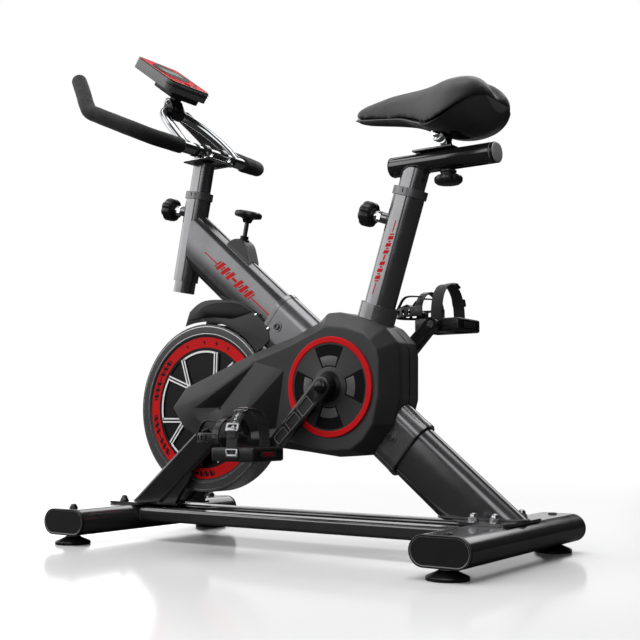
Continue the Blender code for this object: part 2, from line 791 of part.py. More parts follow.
flywheel = paint(lathe(
    "flywheel",
    [
        (HUB_BORE_R, HUB_HALF), (HUB_R, HUB_HALF), (HUB_R, WEB_OUT), (0.1500, WEB_OUT),
        (0.1505, WHEEL_HALF), (WHEEL_R - 0.002, WHEEL_HALF), (WHEEL_R, WHEEL_HALF - 0.002),
        (WHEEL_R, -WHEEL_HALF + 0.002), (WHEEL_R - 0.002, -WHEEL_HALF), (0.1505, -WHEEL_HALF),
        (0.1500, -WEB_OUT), (HUB_R, -WEB_OUT), (HUB_R, -HUB_HALF), (HUB_BORE_R, -HUB_HALF),
        (HUB_BORE_R, -WEB_IN), (0.1460, -WEB_IN), (0.1460, WEB_IN), (HUB_BORE_R, WEB_IN),
    ],
    WHEEL_HUB, (0, 1, 0), 40, ring=True,
), "iron")
axle = paint(lathe(
    "flywheel_axle",
    [
        (0, 0.0655), (0.0070, 0.0650), (0.0085, 0.0635),
        (0.0085, -0.0644), (0.0070, -0.0655), (0, -0.0655),
    ],
    WHEEL_HUB, (0, 1, 0), 20,
), "steel")
wheel_pulley = paint(lathe(
    "flywheel_pulley", groove(0.0088, DRIVEN_R, 0.0015) + [(0.0088, BELT_IN - 0.0014)],
    WHEEL_HUB, (0, -1, 0), 20, ring=True,
), "steel")
pivot("flywheel_pivot", WHEEL_HUB, [flywheel, axle, wheel_pulley])

# ------------------------------------------------------------------ drive: pulley, axle, belt
CRANK_HUB = point(CRANK_C)

drive_pulley = paint(lathe(
    "drive_pulley",
    groove(0.0102, DRIVE_R, 0.0012) + [
        (DRIVE_R - 0.010, BELT_IN - 0.0014), (DRIVE_R - 0.012, BELT_IN + 0.0020),
        (0.0250, BELT_IN + 0.0020), (0.0220, 0.0450), (0.0102, 0.0450),
    ],
    CRANK_HUB, (0, -1, 0), 32, ring=True,
), "plastic_black")
crank_axle = paint(lathe(
    "crank_axle",
    [
        (0, 0.1035), (0.0080, 0.1035), (0.0098, 0.1020),
        (0.0098, -0.1020), (0.0080, -0.1035), (0, -0.1035),
    ],
    CRANK_HUB, (0, 1, 0), 20,
), "steel")
paint(lathe(
    "bottom_bracket",
    [
        (0.0101, 0.0405), (0.0235, 0.0405), (0.0235, 0.0345), (0.0187, 0.0345),
        (0.0187, -0.0345), (0.0235, -0.0345), (0.0235, -0.0405), (0.0101, -0.0405),
    ],
    CRANK_HUB, (0, 1, 0), 18, ring=True,
), "steel")


def belt_loop(lift):
    """The belt's outline round both pulleys, lifted off their groove floors."""
    lift -= GROOVE_DEPTH
    return tangent_loop(CRANK_C, DRIVE_R + lift, WHEEL_C, DRIVEN_R + lift, 22, 10)


belt = prism("drive_belt", belt_loop(0.0024), 0.0074, side_plane(-BELT_Y), belt_loop(0.0006))
paint(belt, "rubber")

# ------------------------------------------------------------------ left crank disc
DISC_Y = -(COVER_FACE + 0.0004)       # inner face
DISC_T = 0.0040
DISC_R = 0.0940
WINDOW_R0, WINDOW_R1 = 0.0380, 0.0790
WINDOW_SWEEP = 48                     # degrees

disc = prism(
    "left_crank_disc", arc((0, 0), DISC_R, 0, 360, 44)[:-1], DISC_T,
    axes(point(CRANK_C, DISC_Y - DISC_T / 2), (0, -1, 0), (1, 0, 0)),
)
join(disc, y_rod("left_crank_disc_hub", CRANK_C, DISC_Y, -(ARM_IN - 0.0006), 0.0200, 24))
for k in range(4):
    first = CRANK_ANGLE + 45 + 90 * k - WINDOW_SWEEP / 2
    window = (
        arc(CRANK_C, WINDOW_R1, first, WINDOW_SWEEP, 5)
        + arc(CRANK_C, WINDOW_R0, first + WINDOW_SWEEP, -WINDOW_SWEEP, 5)
    )
    cut(disc, prism(f"left_crank_disc_window_{k}", window, 0.03, side_plane(DISC_Y)))
cut(disc, y_rod("left_crank_disc_bore", CRANK_C, -0.05, -0.12, 0.0102, 20))
paint(disc, "plastic_grey")


# ------------------------------------------------------------------ cranks
def crank(name, side, tip):
    """An arm from the crank axle to the pedal axis at tip, with a cap on the outside."""
    arm = prism(
        name, tangent_loop(CRANK_C, 0.0185, tip, 0.0135), ARM_OUT - ARM_IN,
        side_plane(side * (ARM_IN + ARM_OUT) / 2),
    )
    join(arm, lathe(
        name + "_cap",
        [(0, 0.0055), (0.009, 0.0048), (0.0125, 0.0020), (0.0125, -0.001), (0, -0.001)],
        point(CRANK_C, side * ARM_OUT), (0, side, 0), 20,
    ))
    start = side * (ARM_IN - 0.02)
    cut(arm, y_rod(name + "_axle_bore", CRANK_C, start, side * ARM_OUT, 0.0100, 20))
    cut(arm, y_rod(name + "_spindle_bore", tip, start, side * (ARM_OUT + 0.02), 0.0073))
    return paint(arm, "gloss_black")


# ------------------------------------------------------------------ pedals
PEDAL_IN, PEDAL_OUT = 0.1140, 0.2080  # |Y|
PEDAL_MID = (PEDAL_IN + PEDAL_OUT) / 2
PEDAL_W = PEDAL_OUT - PEDAL_IN
PEDAL_L, PEDAL_T = 0.0980, 0.0260
CAGE_OUT, CAGE_IN = 0.0485, 0.0450    # half widths of the cage's bands
CAGE_Z = 0.0290                       # height of the hoop above the pedal axis
STRAP_T, STRAP_RISE = 0.0022, 0.0740
# The cage's bracket: x from the pedal's front edge, z from its axis.
CAGE_FOOT = [
    (-0.0035, -0.0090), (-0.0006, -0.0090), (-0.0006, 0.0130), (-0.004, 0.0300),
    (-0.0350, 0.0480), (-0.0610, 0.0390), (-0.0600, 0.0355), (-0.0350, 0.0440),
    (-0.0075, 0.0275),
]


def pedal_spindle(hand, side, x, z):
    """Profile heights are |Y|: a tip in the pedal, a collar by the arm, a shank in the arm."""
    return paint(lathe(
        f"{hand}_pedal_spindle",
        [
            (0, PEDAL_OUT - 0.0100), (0.0062, PEDAL_OUT - 0.0100), (0.0062, ARM_OUT + 0.0070),
            (0.0100, ARM_OUT + 0.0055), (0.0100, ARM_OUT + 0.0006), (0.0070, ARM_OUT + 0.0005),
            (0.0070, ARM_IN), (0, ARM_IN),
        ],
        (x, 0, z), (0, side, 0), 16,
    ), "steel")


def pedal_body(hand, side, x, z):
    middle = side * PEDAL_MID
    body = block(
        f"{hand}_pedal_body", (PEDAL_L, PEDAL_W, PEDAL_T), moved(x, middle, z), 0.004
    )
    for i in (-1, 1):
        cut(body, prism(
            f"{hand}_pedal_window_{i}", rounded(0.0270, PEDAL_W - 0.026, 0.004), 0.06,
            moved(x + i * 0.0275, middle, z),
        ))
    cut(body, y_rod(
        f"{hand}_pedal_bore", (x, z), side * (PEDAL_IN - 0.02), side * (PEDAL_OUT - 0.0094), 0.0066
    ))
    return paint(body, "plastic_black")


def toe_cage(hand, side, x, z):
    """A level hoop round the toes, an arch over them and a bracket on the front edge."""
    nose = x - PEDAL_L / 2
    middle = side * PEDAL_MID
    wide, narrow = side * CAGE_OUT, side * CAGE_IN
    level = arch(middle, wide, nose + 0.018, -0.082)
    level += arch(middle, narrow, nose + 0.018, -0.0785)[::-1]
    upright = arch(middle, wide, z + CAGE_Z, 0.0420)
    upright += arch(middle, narrow, z + CAGE_Z, 0.0385)[::-1]
    cage = prism(
        f"{hand}_toe_cage", [(out_x, out_y) for out_y, out_x in level], 0.0200,
        moved(0, 0, z + CAGE_Z),
    )
    bracket = [(nose + foot_x, z + foot_z) for foot_x, foot_z in CAGE_FOOT]
    join(
        cage,
        prism(f"{hand}_cage_foot", bracket, 0.030, side_plane(middle)),
        prism(f"{hand}_cage_hoop", upright, 0.0160, cross_plane(nose + 0.0100)),
    )
    return paint(cage, "plastic_black")


def toe_strap(hand, side, x, z):
    """A band over the instep, down to both sides of the pedal."""
    half = PEDAL_W / 2 + 0.0006
    outline = []
    for extra, order in ((STRAP_T, 1), (0.0, -1)):
        outline += arch(
            side * PEDAL_MID, side * (half + extra), z + 0.0080, STRAP_RISE + extra,
            steps=16, power=0.75,
        )[::order]
    strap = prism(f"{hand}_toe_strap", outline, 0.0250, cross_plane(x + 0.0020))
    return paint(strap, "webbing")


turning = [drive_pulley, crank_axle, disc]
arms, spindles = [], []
for (hand, side), turn in zip(HANDS, (0.0, 180.0)):
    angle = math.radians(CRANK_ANGLE + turn)
    tip = (
        CRANK_C[0] + CRANK_LEN * math.cos(angle),
        CRANK_C[1] + CRANK_LEN * math.sin(angle),
    )
    arms.append(crank(f"{hand}_crank", side, tip))
    spindles.append(pedal_spindle(hand, side, *tip))
    pivot(
        f"{hand}_pedal_pivot", point(tip, side * PEDAL_MID),
        [build(hand, side, *tip) for build in (pedal_body, toe_cage, toe_strap)],
    )
pivot("crank_pivot", CRANK_HUB, turning + arms + spindles)


# ------------------------------------------------------------------ flywheel fender
def on_wheel(angle, radius):
    """The (x, z) at an angle in degrees and a radius about the flywheel's axis."""
    angle = math.radians(angle)
    return (WHEEL_C[0] + radius * math.cos(angle), WHEEL_C[1] + radius * math.sin(angle))


FENDER_W, CAVITY_W = 0.0640, 0.0586
FENDER_R = WHEEL_R + 0.0045
# Lower edges as angles on the wheel, upper edges as (x, z) from rear to front.
FENDER_LOWER = (106, 98, 90, 82, 74, 66, 58, 50, 43, 38)
FENDER_UPPER = [
    (-0.0660, 0.4060), (-0.0700, 0.4300), (-0.1018, 0.4600), (-0.1400, 0.4830),
    (-0.1833, 0.4940), (-0.2300, 0.4960), (-0.2560, 0.4890), (-0.2780, 0.4740),
]
CAVITY_LOWER = (120, *FENDER_LOWER, 30)
CAVITY_UPPER = [
    (-0.0500, 0.3950), (-0.0740, 0.4270), (-0.1040, 0.4565), (-0.1410, 0.4795),
    (-0.1840, 0.4905), (-0.2290, 0.4925), (-0.2540, 0.4860), (-0.2740, 0.4722),
    (-0.2960, 0.4500),
]

fender_edge = [on_wheel(a, FENDER_R) for a in FENDER_LOWER]
cavity_edge = [on_wheel(a, FENDER_R - 0.02) for a in CAVITY_LOWER]
fender = prism("flywheel_fender", fender_edge + FENDER_UPPER, FENDER_W, side_plane())
cut(
    fender,
    prism("fender_cavity", cavity_edge + CAVITY_UPPER, CAVITY_W, side_plane()),
    line_bar("fender_beam_clear", SPINE, -0.36, -0.0729, grown(BEAM_SECTION, 0.0010)),
    line_bar("fender_node_clear", SPINE, -0.0733, 0.10, grown(NODE_SECTION, 0.0010)),
)
paint(fender, "plastic_grey")

# ------------------------------------------------------------------ brake
# Side outline of the housing on the beam, (x, z).
HOUSING = [
    (-0.1990, on_spine(-0.1990).z), (-0.1990, 0.6000), (-0.1935, 0.6120), (-0.1850, 0.6190),
    (-0.1740, 0.6228), (-0.1640, 0.6228), (-0.1530, 0.6190), (-0.1430, 0.6100),
    (-0.1370, 0.5960), (-0.1310, 0.5730), (-0.1290, on_spine(-0.1290).z),
]
STEM_LOW = BRAKE_FOOT + BRAKE * 0.0190
STEM_LEN = (BRAKE_TOP - STEM_LOW).length
STEM_R = 0.0062
PAD_ANGLES = range(66, 87, 4)

housing = bevelled(prism("brake_housing", HOUSING, 0.0340, side_plane()), 0.0030)
cut(
    housing,
    line_bar("housing_beam_clear", SPINE, -0.36, 0.0, grown(BEAM_SECTION, 0.0008)),
    rod("housing_bore", BRAKE_FOOT, BRAKE_TOP + BRAKE * 0.05, BRAKE_HOLE_R, 14),
)
paint(housing, "plastic_black")

knob = paint(lathe(
    "resistance_knob",
    [
        (0, STEM_LEN + 0.0170), (0.0230, STEM_LEN + 0.0165), (0.0285, STEM_LEN + 0.0135),
        (0.0290, STEM_LEN + 0.0080), (0.0255, STEM_LEN + 0.0030), (0.0120, STEM_LEN + 0.0010),
        (0.0090, STEM_LEN - 0.0060), (STEM_R, STEM_LEN - 0.0080), (STEM_R, 0.0), (0, 0.0),
    ],
    STEM_LOW, BRAKE, 16,
), "plastic_black")
pivot("resistance_knob_pivot", STEM_LOW, [knob])

pad_low = [on_wheel(a, WHEEL_R + 0.0035) for a in PAD_ANGLES]
pad_top = [on_wheel(a, WHEEL_R + 0.0155) for a in PAD_ANGLES]
pad = paint(prism("brake_pad", pad_low + pad_top[::-1], 0.0300, side_plane()), "felt")
pivot("brake_pad_pivot", STEM_LOW, [pad])

# ------------------------------------------------------------------ handlebar post and clamp
BAR_POST_LOW, BAR_POST_TOP = 0.5210, 0.7960
BAR_AXIS = (BAR_X, BAR_Z)

post = line_bar(
    "handlebar_post", HEAD, BAR_POST_LOW, BAR_POST_TOP, BAR_POST_SECTION,
    inner=grown(BAR_POST_SECTION, -2 * TUBE_WALL),
)
join(
    post,
    prism(
        "post_deck", rounded(0.0700, 0.0940, 0.010), 0.0040,
        moved(-0.2580, 0, BAR_POST_TOP + 0.0015),
    ),
    block(
        "post_cradle", (0.0400, 0.0760, 0.0150),
        moved(BAR_X, 0, BAR_POST_TOP + 0.0025 + 0.0070), 0.002,
    ),
)
cut(
    post,
    y_rod("cradle_bore", BAR_AXIS, -0.06, 0.06, BAR_R + GAP, 20),
    block("post_end_slot", (0.0100, 0.06, 0.05), axes(on_head(0.600), HEAD_UP, HEAD.across)),
)
paint(post, "gloss_black")

clamp = prism(
    "handlebar_clamp", arc((BAR_X, BAR_Z + 0.0006), BAR_R + 0.0042, 0, 180, 12),
    0.0700, side_plane(),
)
clamp_window = block(
    "clamp_window", (0.0400, 0.0420, 0.0300), moved(BAR_X + 0.0090, 0, BAR_Z + 0.0150)
)
cut(clamp, y_rod("clamp_bore", BAR_AXIS, -0.06, 0.06, BAR_R + GAP, 20), clamp_window)
paint(clamp, "plastic_black")

# ------------------------------------------------------------------ handlebar and grips
# Right half of the bar, from the middle to the tip, (x, y, z).
BAR_POINTS = [
    (BAR_X, 0.000, BAR_Z), (BAR_X, 0.060, BAR_Z), (-0.2464, 0.1000, BAR_Z),
    (-0.2490, 0.1400, 0.8145), (-0.2600, 0.1720, 0.8190), (-0.2870, 0.1950, 0.8320),
    (-0.3350, 0.2040, 0.8538), (-0.3790, 0.2075, 0.8738), (-0.4050, 0.2060, 0.8868),
    (-0.4235, 0.1990, 0.9065), (-0.4490, 0.1850, 0.9380), (-0.4827, 0.1671, 0.9771),
]
# Right half of the forward loop, from the bar to the middle, (x, y, z).
LOOP_POINTS = [
    (-0.2500, 0.0823, 0.8180), (-0.2629, 0.0823, 0.8342), (-0.2900, 0.0770, 0.8620),
    (-0.3180, 0.0665, 0.8880), (-0.3420, 0.0500, 0.9090), (-0.3570, 0.0270, 0.9225),
    (-0.3610, 0.0000, 0.9260),
]
bar_half = smooth_path(BAR_POINTS)
loop_half = smooth_path(LOOP_POINTS)
loop_path = mirrored(loop_half) + loop_half[-2::-1]

bar = wire("handlebar", mirrored(bar_half[:0:-1]) + bar_half, BAR_R)
join(bar, wire("forward_loop", loop_path, LOOP_R))
paint(bar, "chrome")


def grip(name, side):
    """A foam sleeve on the outer part of the bar, closed over its tip."""
    path = mirrored(bar_half, side)
    foam = wire(name, extended(path[4:], 0.0040), GRIP_R)
    cut(foam, wire(name + "_bore", extended(path[2:], GAP), BAR_R * 1.083 + GAP))
    paint(foam, "foam")


for hand, side in HANDS:
    grip(f"{hand}_grip", side)

# ------------------------------------------------------------------ monitor
MON_C = Vector((-0.3593, 0, 1.0118))        # middle of the display face
MON_N = unit(0.588, 0.809)                  # out of the display face
MON_U = unit(-0.809, 0.588)                 # up the display face
MON_W, MON_L, MON_T = 0.1300, 0.1290, 0.0250
TILT = (-0.360687, 0.947585)                # tilt axis
TILT_P = point(TILT)
BUTTON = MON_C - MON_U * 0.0480


def on_monitor(place):
    """A placement square to the display, with local X up its face."""
    return axes(place, MON_N, MON_U)


monitor = bevelled(
    prism(
        "monitor_housing", rounded(MON_L, MON_W, 0.014), MON_T,
        on_monitor(MON_C - MON_N * (MON_T / 2)),
    ),
    0.0025,
)
join(
    monitor,
    block(
        "monitor_back_box", (0.0640, 0.0860, 0.0160),
        on_monitor(MON_C - MON_U * 0.0300 - MON_N * (MON_T + 0.0040)), 0.004,
    ),
    block("monitor_lug_web", (0.0150, 0.0200, 0.0180), on_monitor(TILT_P + MON_N * 0.0090)),
    y_rod("monitor_lug", TILT, -0.010, 0.010, 0.0085),
)
cut(monitor, rod("button_well", BUTTON - MON_N * 0.0060, BUTTON + MON_N * 0.0200, 0.0083, 20))
paint(monitor, "plastic_black")
button = paint(lathe(
    "monitor_button",
    [(0, 0.0028), (0.0060, 0.0024), (0.0080, 0.0012), (0.0080, -0.0040), (0, -0.0040)],
    BUTTON, MON_N, 14,
), "red")

# The bracket sits on the forward loop, with a cheek on each side of the monitor's lug.
mount = y_rod("monitor_bracket", (-0.3607, 0.9262), -0.0200, 0.0200, 0.0160, 20)
cheek = tangent_loop((-0.3595, 0.9270), 0.0150, TILT, 0.0085, 8, 8)
join(mount, *[
    prism(f"bracket_cheek_{side}", cheek, 0.0090, side_plane(side * 0.0150)) for side in (-1, 1)
])
cut(
    mount,
    wire("bracket_loop_clear", loop_path, LOOP_R + GAP),
    y_rod("lug_clear", TILT, -0.0104, 0.0104, 0.0105),
)
paint(mount, "plastic_black")
pivot("monitor_pivot", TILT_P, [monitor, button])

# ------------------------------------------------------------------ seat post and slider
HOLLOW_X0 = 0.283                     # the slider tube is solid in front of this


def slider_bar(name, x0, x1, section, shift=0.0):
    """A flat-oval bar along X at slider height, wide across the bike."""
    matrix = cross_plane((x0 + x1) / 2 + shift, 0, SLIDER_Z)
    return prism(name, oval(*section), x1 - x0, matrix)


seat_post = line_bar(
    "seat_post", SEAT, 0.4060, 0.7160, SEAT_POST_SECTION,
    inner=grown(SEAT_POST_SECTION, -2 * TUBE_WALL),
)
join(seat_post, slider_bar("slider_tube", SLIDER_X0, SLIDER_X1, SLIDER_SECTION))
cut(
    seat_post,
    slider_bar("slider_hollow", HOLLOW_X0, SLIDER_X1, grown(SLIDER_SECTION, -0.006), 0.001),
    prism("slider_slot", oval(0.1025, 0.0130, 6), 0.09, moved(0.3510, 0, SLIDER_Z)),
)
paint(seat_post, "gloss_black")

# ------------------------------------------------------------------ saddle carriage
SLIDER_TOP = SLIDER_Z + SLIDER_SECTION[1] / 2
CARRIAGE_X0, CARRIAGE_X1 = 0.2560, 0.3380
STEM_END_Z = 0.6910
TOWER = [
    (CLAMP_X - 0.017, SLIDER_TOP + 0.004), (CLAMP_X + 0.017, SLIDER_TOP + 0.004),
    (CLAMP_X + 0.0130, CLAMP_Z), (CLAMP_X - 0.0130, CLAMP_Z),
]

carriage = block(
    "saddle_carriage", (CARRIAGE_X1 - CARRIAGE_X0, 0.0420, 0.0070),
    moved((CARRIAGE_X0 + CARRIAGE_X1) / 2, 0, SLIDER_TOP + 0.0005 + 0.0035), 0.0015,
)
join(
    carriage,
    z_rod("carriage_stem", KNOB_X, 0, SLIDER_TOP + 0.003, STEM_END_Z, 0.0055),
    prism("carriage_tower", TOWER, 0.0240, side_plane()),
    y_rod("carriage_hub", CLAMP, -0.0120, 0.0120, 0.0120, 18),
)
cut(carriage, y_rod("clamp_bolt_bore", CLAMP, -0.04, 0.04, 0.0047, 14))
paint(carriage, "steel")

slider_knob = paint(lathe(
    "slider_lock_knob",
    [
        (0.0060, 0.7040), (0.0150, 0.7040), (0.0165, 0.7005), (0.0165, 0.6965),
        (0.0255, 0.6925), (0.0262, 0.6835), (0.0215, 0.6785), (0, 0.6775),
        (0, 0.6905), (0.0060, 0.6905),
    ],
    (KNOB_X, 0, 0), (0, 0, 1), 14, ring=True,
), "plastic_black")
pivot("slider_lock_knob_pivot", (KNOB_X, 0, 0.6905), [slider_knob])

# ------------------------------------------------------------------ saddle bracket
CHEEK_Y = 0.0160
bracket_cheek = tangent_loop(CLAMP, 0.0130, (CLAMP_X, CLAMP_Z + 0.0130), 0.0100)

saddle_bracket = prism("saddle_bracket", bracket_cheek, 0.0060, side_plane(-CHEEK_Y))
join(
    saddle_bracket,
    prism("bracket_right", bracket_cheek, 0.0060, side_plane(CHEEK_Y)),
    y_rod("clamp_bolt", CLAMP, -0.0250, 0.0250, 0.0043, 14),
    *[
        y_rod(f"clamp_nut_{side}", CLAMP, side * 0.0185, side * 0.0260, 0.0095, 6)
        for side in (-1, 1)
    ],
    block("bracket_yoke", (0.0700, 0.0560, 0.0050), moved(CLAMP_X, 0, 0.7925), 0.001),
)
paint(saddle_bracket, "chrome")

# ------------------------------------------------------------------ saddle
STATIONS = [
    # x, half width, rim z, crown z, underside z, shell bottom z
    (0.1245, 0.0060, 0.8282, 0.8378, 0.8320, 0.8272),
    (0.1290, 0.0140, 0.8256, 0.8468, 0.8310, 0.8250),
    (0.1450, 0.0205, 0.8217, 0.8535, 0.8275, 0.8212),
    (0.1750, 0.0250, 0.8169, 0.8590, 0.8230, 0.8165),
    (0.2100, 0.0300, 0.8114, 0.8640, 0.8180, 0.8110),
    (0.2450, 0.0385, 0.8040, 0.8650, 0.8120, 0.8035),
    (0.2800, 0.0530, 0.7895, 0.8645, 0.8060, 0.7850),
    (0.3100, 0.0710, 0.7785, 0.8660, 0.8040, 0.7720),
    (0.3400, 0.0890, 0.7785, 0.8690, 0.8040, 0.7650),
    (0.3700, 0.0990, 0.7870, 0.8680, 0.8040, 0.7640),
    (0.3950, 0.0940, 0.8000, 0.8630, 0.8060, 0.7700),
    (0.4130, 0.0760, 0.8140, 0.8510, 0.8110, 0.7840),
    (0.4220, 0.0500, 0.8225, 0.8365, 0.8170, 0.7980),
]


def cushion_ring(x, half, rim, crown, under):
    """A full crown over the rims and a flat underside."""
    ring = []
    for i in range(13):
        angle = math.pi * i / 12
        height = rim + (crown - rim) * math.sin(angle) ** 0.62
        ring.append((x, -half * math.cos(angle), height))
    return ring + [(x, half * k, under) for k in (0.7, 0.0, -0.7)]


def base_ring(x, half, rim, under, bottom):
    """A shell section under the cushion, narrowing towards its bottom."""
    half = max(half - 0.003, 0.003)
    inner = under - 0.0007
    top = min(rim - 0.0022, inner)
    shoulder = top - (top - bottom) * 0.32
    low = top - (top - bottom) * 0.95
    return [
        (x, half, top), (x, 0.5 * half, inner), (x, -0.5 * half, inner), (x, -half, top),
        (x, -half * 0.75, shoulder), (x, -half * 0.30, low),
        (x, half * 0.30, low), (x, half * 0.75, shoulder),
    ]


cushion = loft("saddle_cushion", [
    cushion_ring(x, half, rim, crown, under) for x, half, rim, crown, under, _ in STATIONS
])
paint(cushion, "vinyl")
saddle_base = loft("saddle_base", [
    base_ring(x, half, rim, under, bottom) for x, half, rim, _, under, bottom in STATIONS
])
cut(saddle_base, prism(
    "saddle_base_well", rounded(0.0980, 0.0660, 0.008), 0.05, moved(CLAMP_X, 0, 0.7954 - 0.025)
))
paint(saddle_base, "plastic_black")
pivot("saddle_pivot", point(CLAMP), [saddle_bracket, cushion, saddle_base])

# ------------------------------------------------------------------ reference point
for obj in list(bpy.data.objects):
    if obj.parent is None:
        obj.location.x += ORIGIN_SHIFT
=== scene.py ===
"""Looks of the indoor spin bike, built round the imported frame. Units are metres.

Shapes are drawn in the design frame, whose X is measured from the middle of
the two stabilisers, and put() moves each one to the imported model's frame.
"""

import json
import math

import bmesh
import bpy
import numpy as np
from mathutils import Matrix, Quaternion, Vector, noise


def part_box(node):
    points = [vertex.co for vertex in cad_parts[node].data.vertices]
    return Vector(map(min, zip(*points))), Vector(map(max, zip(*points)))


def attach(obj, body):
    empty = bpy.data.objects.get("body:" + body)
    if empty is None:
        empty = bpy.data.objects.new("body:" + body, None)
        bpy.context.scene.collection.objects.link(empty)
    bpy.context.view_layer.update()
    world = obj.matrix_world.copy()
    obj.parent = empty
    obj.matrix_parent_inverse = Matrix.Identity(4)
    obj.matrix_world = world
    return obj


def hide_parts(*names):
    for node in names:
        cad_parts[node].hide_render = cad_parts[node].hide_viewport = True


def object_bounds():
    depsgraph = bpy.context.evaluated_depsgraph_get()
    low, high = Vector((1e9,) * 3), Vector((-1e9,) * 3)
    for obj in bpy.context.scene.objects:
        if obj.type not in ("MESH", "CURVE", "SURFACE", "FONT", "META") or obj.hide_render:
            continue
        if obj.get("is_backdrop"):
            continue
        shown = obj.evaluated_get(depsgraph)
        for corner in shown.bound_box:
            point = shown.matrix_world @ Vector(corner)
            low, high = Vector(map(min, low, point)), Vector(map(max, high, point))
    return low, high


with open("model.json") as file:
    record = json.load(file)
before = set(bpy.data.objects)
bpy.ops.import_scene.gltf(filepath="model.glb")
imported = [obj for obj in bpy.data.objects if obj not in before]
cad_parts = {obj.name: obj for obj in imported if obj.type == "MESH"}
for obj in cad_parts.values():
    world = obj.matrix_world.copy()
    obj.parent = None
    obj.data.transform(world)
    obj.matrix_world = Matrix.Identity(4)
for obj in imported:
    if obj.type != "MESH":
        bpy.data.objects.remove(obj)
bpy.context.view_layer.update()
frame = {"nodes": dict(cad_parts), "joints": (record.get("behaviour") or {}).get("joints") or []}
NODES = frame["nodes"]
JOINTS = {j["name"]: j for j in frame["joints"]}
COLL = bpy.context.scene.collection


def middle(node):
    lo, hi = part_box(node)
    return (lo + hi) / 2


def box_of(node):
    """The node's box in the design frame."""
    lo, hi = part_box(node)
    return Vector((lo.x - X0, lo.y, lo.z)), Vector((hi.x - X0, hi.y, hi.z))


def pivot_of(joint):
    p = Vector(JOINTS[joint]["pos_m"])
    return Vector((p.x - X0, p.y, p.z))


def axis_of(joint):
    return Vector(JOINTS[joint]["axis"]).normalized()


X0 = (middle("front_stabilizer").x + middle("rear_stabilizer").x) / 2

# ================================================================ dimensions, as in the CAD
GAP = 0.0003
STAB_X = (middle("rear_stabilizer").x - middle("front_stabilizer").x) / 2
_lo, _hi = box_of("rear_stabilizer")
STAB_Z = (_lo.z + _hi.z) / 2
STAB_W, STAB_H = _hi.x - _lo.x, _hi.z - _lo.z
STAB_LEN = box_of("rear_right_end_cap")[1].y - box_of("rear_left_end_cap")[0].y
CAP_FLANGE = 0.006
FOOT_Y = abs(pivot_of("rear_left_foot_turn").y)
FOOT_R = 0.035
RAIL_IN, RAIL_OUT = 0.042, 0.080
RAIL_Z0, RAIL_Z1 = 0.0385, 0.0655
SPINE_P = (-0.2765, 0.6217)
SPINE_SLOPE = -0.829
BEAM_H, BEAM_W = 0.108, 0.050
NODE_H, NODE_W = 0.119, 0.061
HEAD_P = (-0.301, 0.636)
HEAD_SLOPE = 0.200
HEAD_L, HEAD_S = 0.056, 0.046
SEAT_P = (0.235, 0.6565)
SEAT_SLOPE = 0.325
SEAT_L, SEAT_S = 0.062, 0.050
SLEEVE_WALL = 0.0022
WHEEL = pivot_of("flywheel_spin")
WHEEL_R, WHEEL_HALF = 0.174, 0.029
CRANK = pivot_of("crank_spin")
CRANK_LEN = 0.175
CRANK_ANGLE = math.radians(225.0)
LEG_IN, LEG_OUT = 0.0335, 0.0515
COVER_FACE = 0.0730
COVER_T = 0.0024
ARM_IN, ARM_OUT = 0.0900, 0.1040
BAR_R = 0.0125
BAR_X, BAR_Z = -0.2462, 0.8133
GRIP_R = 0.0165
SLIDER_X0, SLIDER_X1 = 0.2035, 0.4205
SLIDER_Z, SLIDER_W, SLIDER_H = 0.7245, 0.044, 0.037
CLAMP = pivot_of("saddle_tilt")
CLAMP_X, CLAMP_Z = CLAMP.x, CLAMP.z
KNOB_X = pivot_of("slider_lock_knob_turn").x


def unit(x, z):
    return Vector((x, 0, z)).normalized()


SPINE = unit(1, SPINE_SLOPE)
SPINE_N = unit(-SPINE_SLOPE, 1)
HEAD = unit(HEAD_SLOPE, 1)
HEAD_F = unit(-1, HEAD_SLOPE)
SEAT = unit(SEAT_SLOPE, 1)
SEAT_F = unit(-1, SEAT_SLOPE)


def on_spine(x):
    return Vector((x, 0, SPINE_P[1] + SPINE_SLOPE * (x - SPINE_P[0])))


def on_head(z):
    return Vector((HEAD_P[0] + HEAD_SLOPE * (z - HEAD_P[1]), 0, z))


def on_seat(z):
    return Vector((SEAT_P[0] + SEAT_SLOPE * (z - SEAT_P[1]), 0, z))


# ================================================================ mesh helpers
def link(name, mesh, matrix=None):
    obj = bpy.data.objects.new(name, mesh)
    COLL.objects.link(obj)
    if matrix is not None:
        obj.matrix_world = matrix
    return obj


def from_bm(name, bm, matrix=None):
    bmesh.ops.recalc_face_normals(bm, faces=bm.faces)
    mesh = bpy.data.meshes.new(name)
    bm.to_mesh(mesh)
    bm.free()
    return link(name, mesh, matrix)


def axes(origin, z, x):
    z = Vector(z).normalized()
    x = Vector(x)
    x = (x - x.dot(z) * z).normalized()
    y = z.cross(x)
    m = Matrix((x, y, z)).transposed().to_4x4()
    m.translation = Vector(origin)
    return m


def side(y=0.0):
    """Local X, Y are world X, Z, and local Z points to -Y."""
    return axes((0, y, 0), (0, -1, 0), (1, 0, 0))


def at(x, y, z):
    return Matrix.Translation((x, y, z))


def baked(obj, weld=2e-6):
    """obj with its modifiers applied, as a new mesh object in its place."""
    bpy.context.view_layer.update()
    graph = bpy.context.evaluated_depsgraph_get()
    mesh = bpy.data.meshes.new_from_object(obj.evaluated_get(graph))
    bm = bmesh.new()
    bm.from_mesh(mesh)
    if weld:
        bmesh.ops.remove_doubles(bm, verts=bm.verts, dist=weld)
    bmesh.ops.recalc_face_normals(bm, faces=bm.faces)
    bm.to_mesh(mesh)
    bm.free()
    name, matrix = obj.name, obj.matrix_world.copy()
    bpy.data.objects.remove(obj, do_unlink=True)
    return link(name, mesh, matrix)


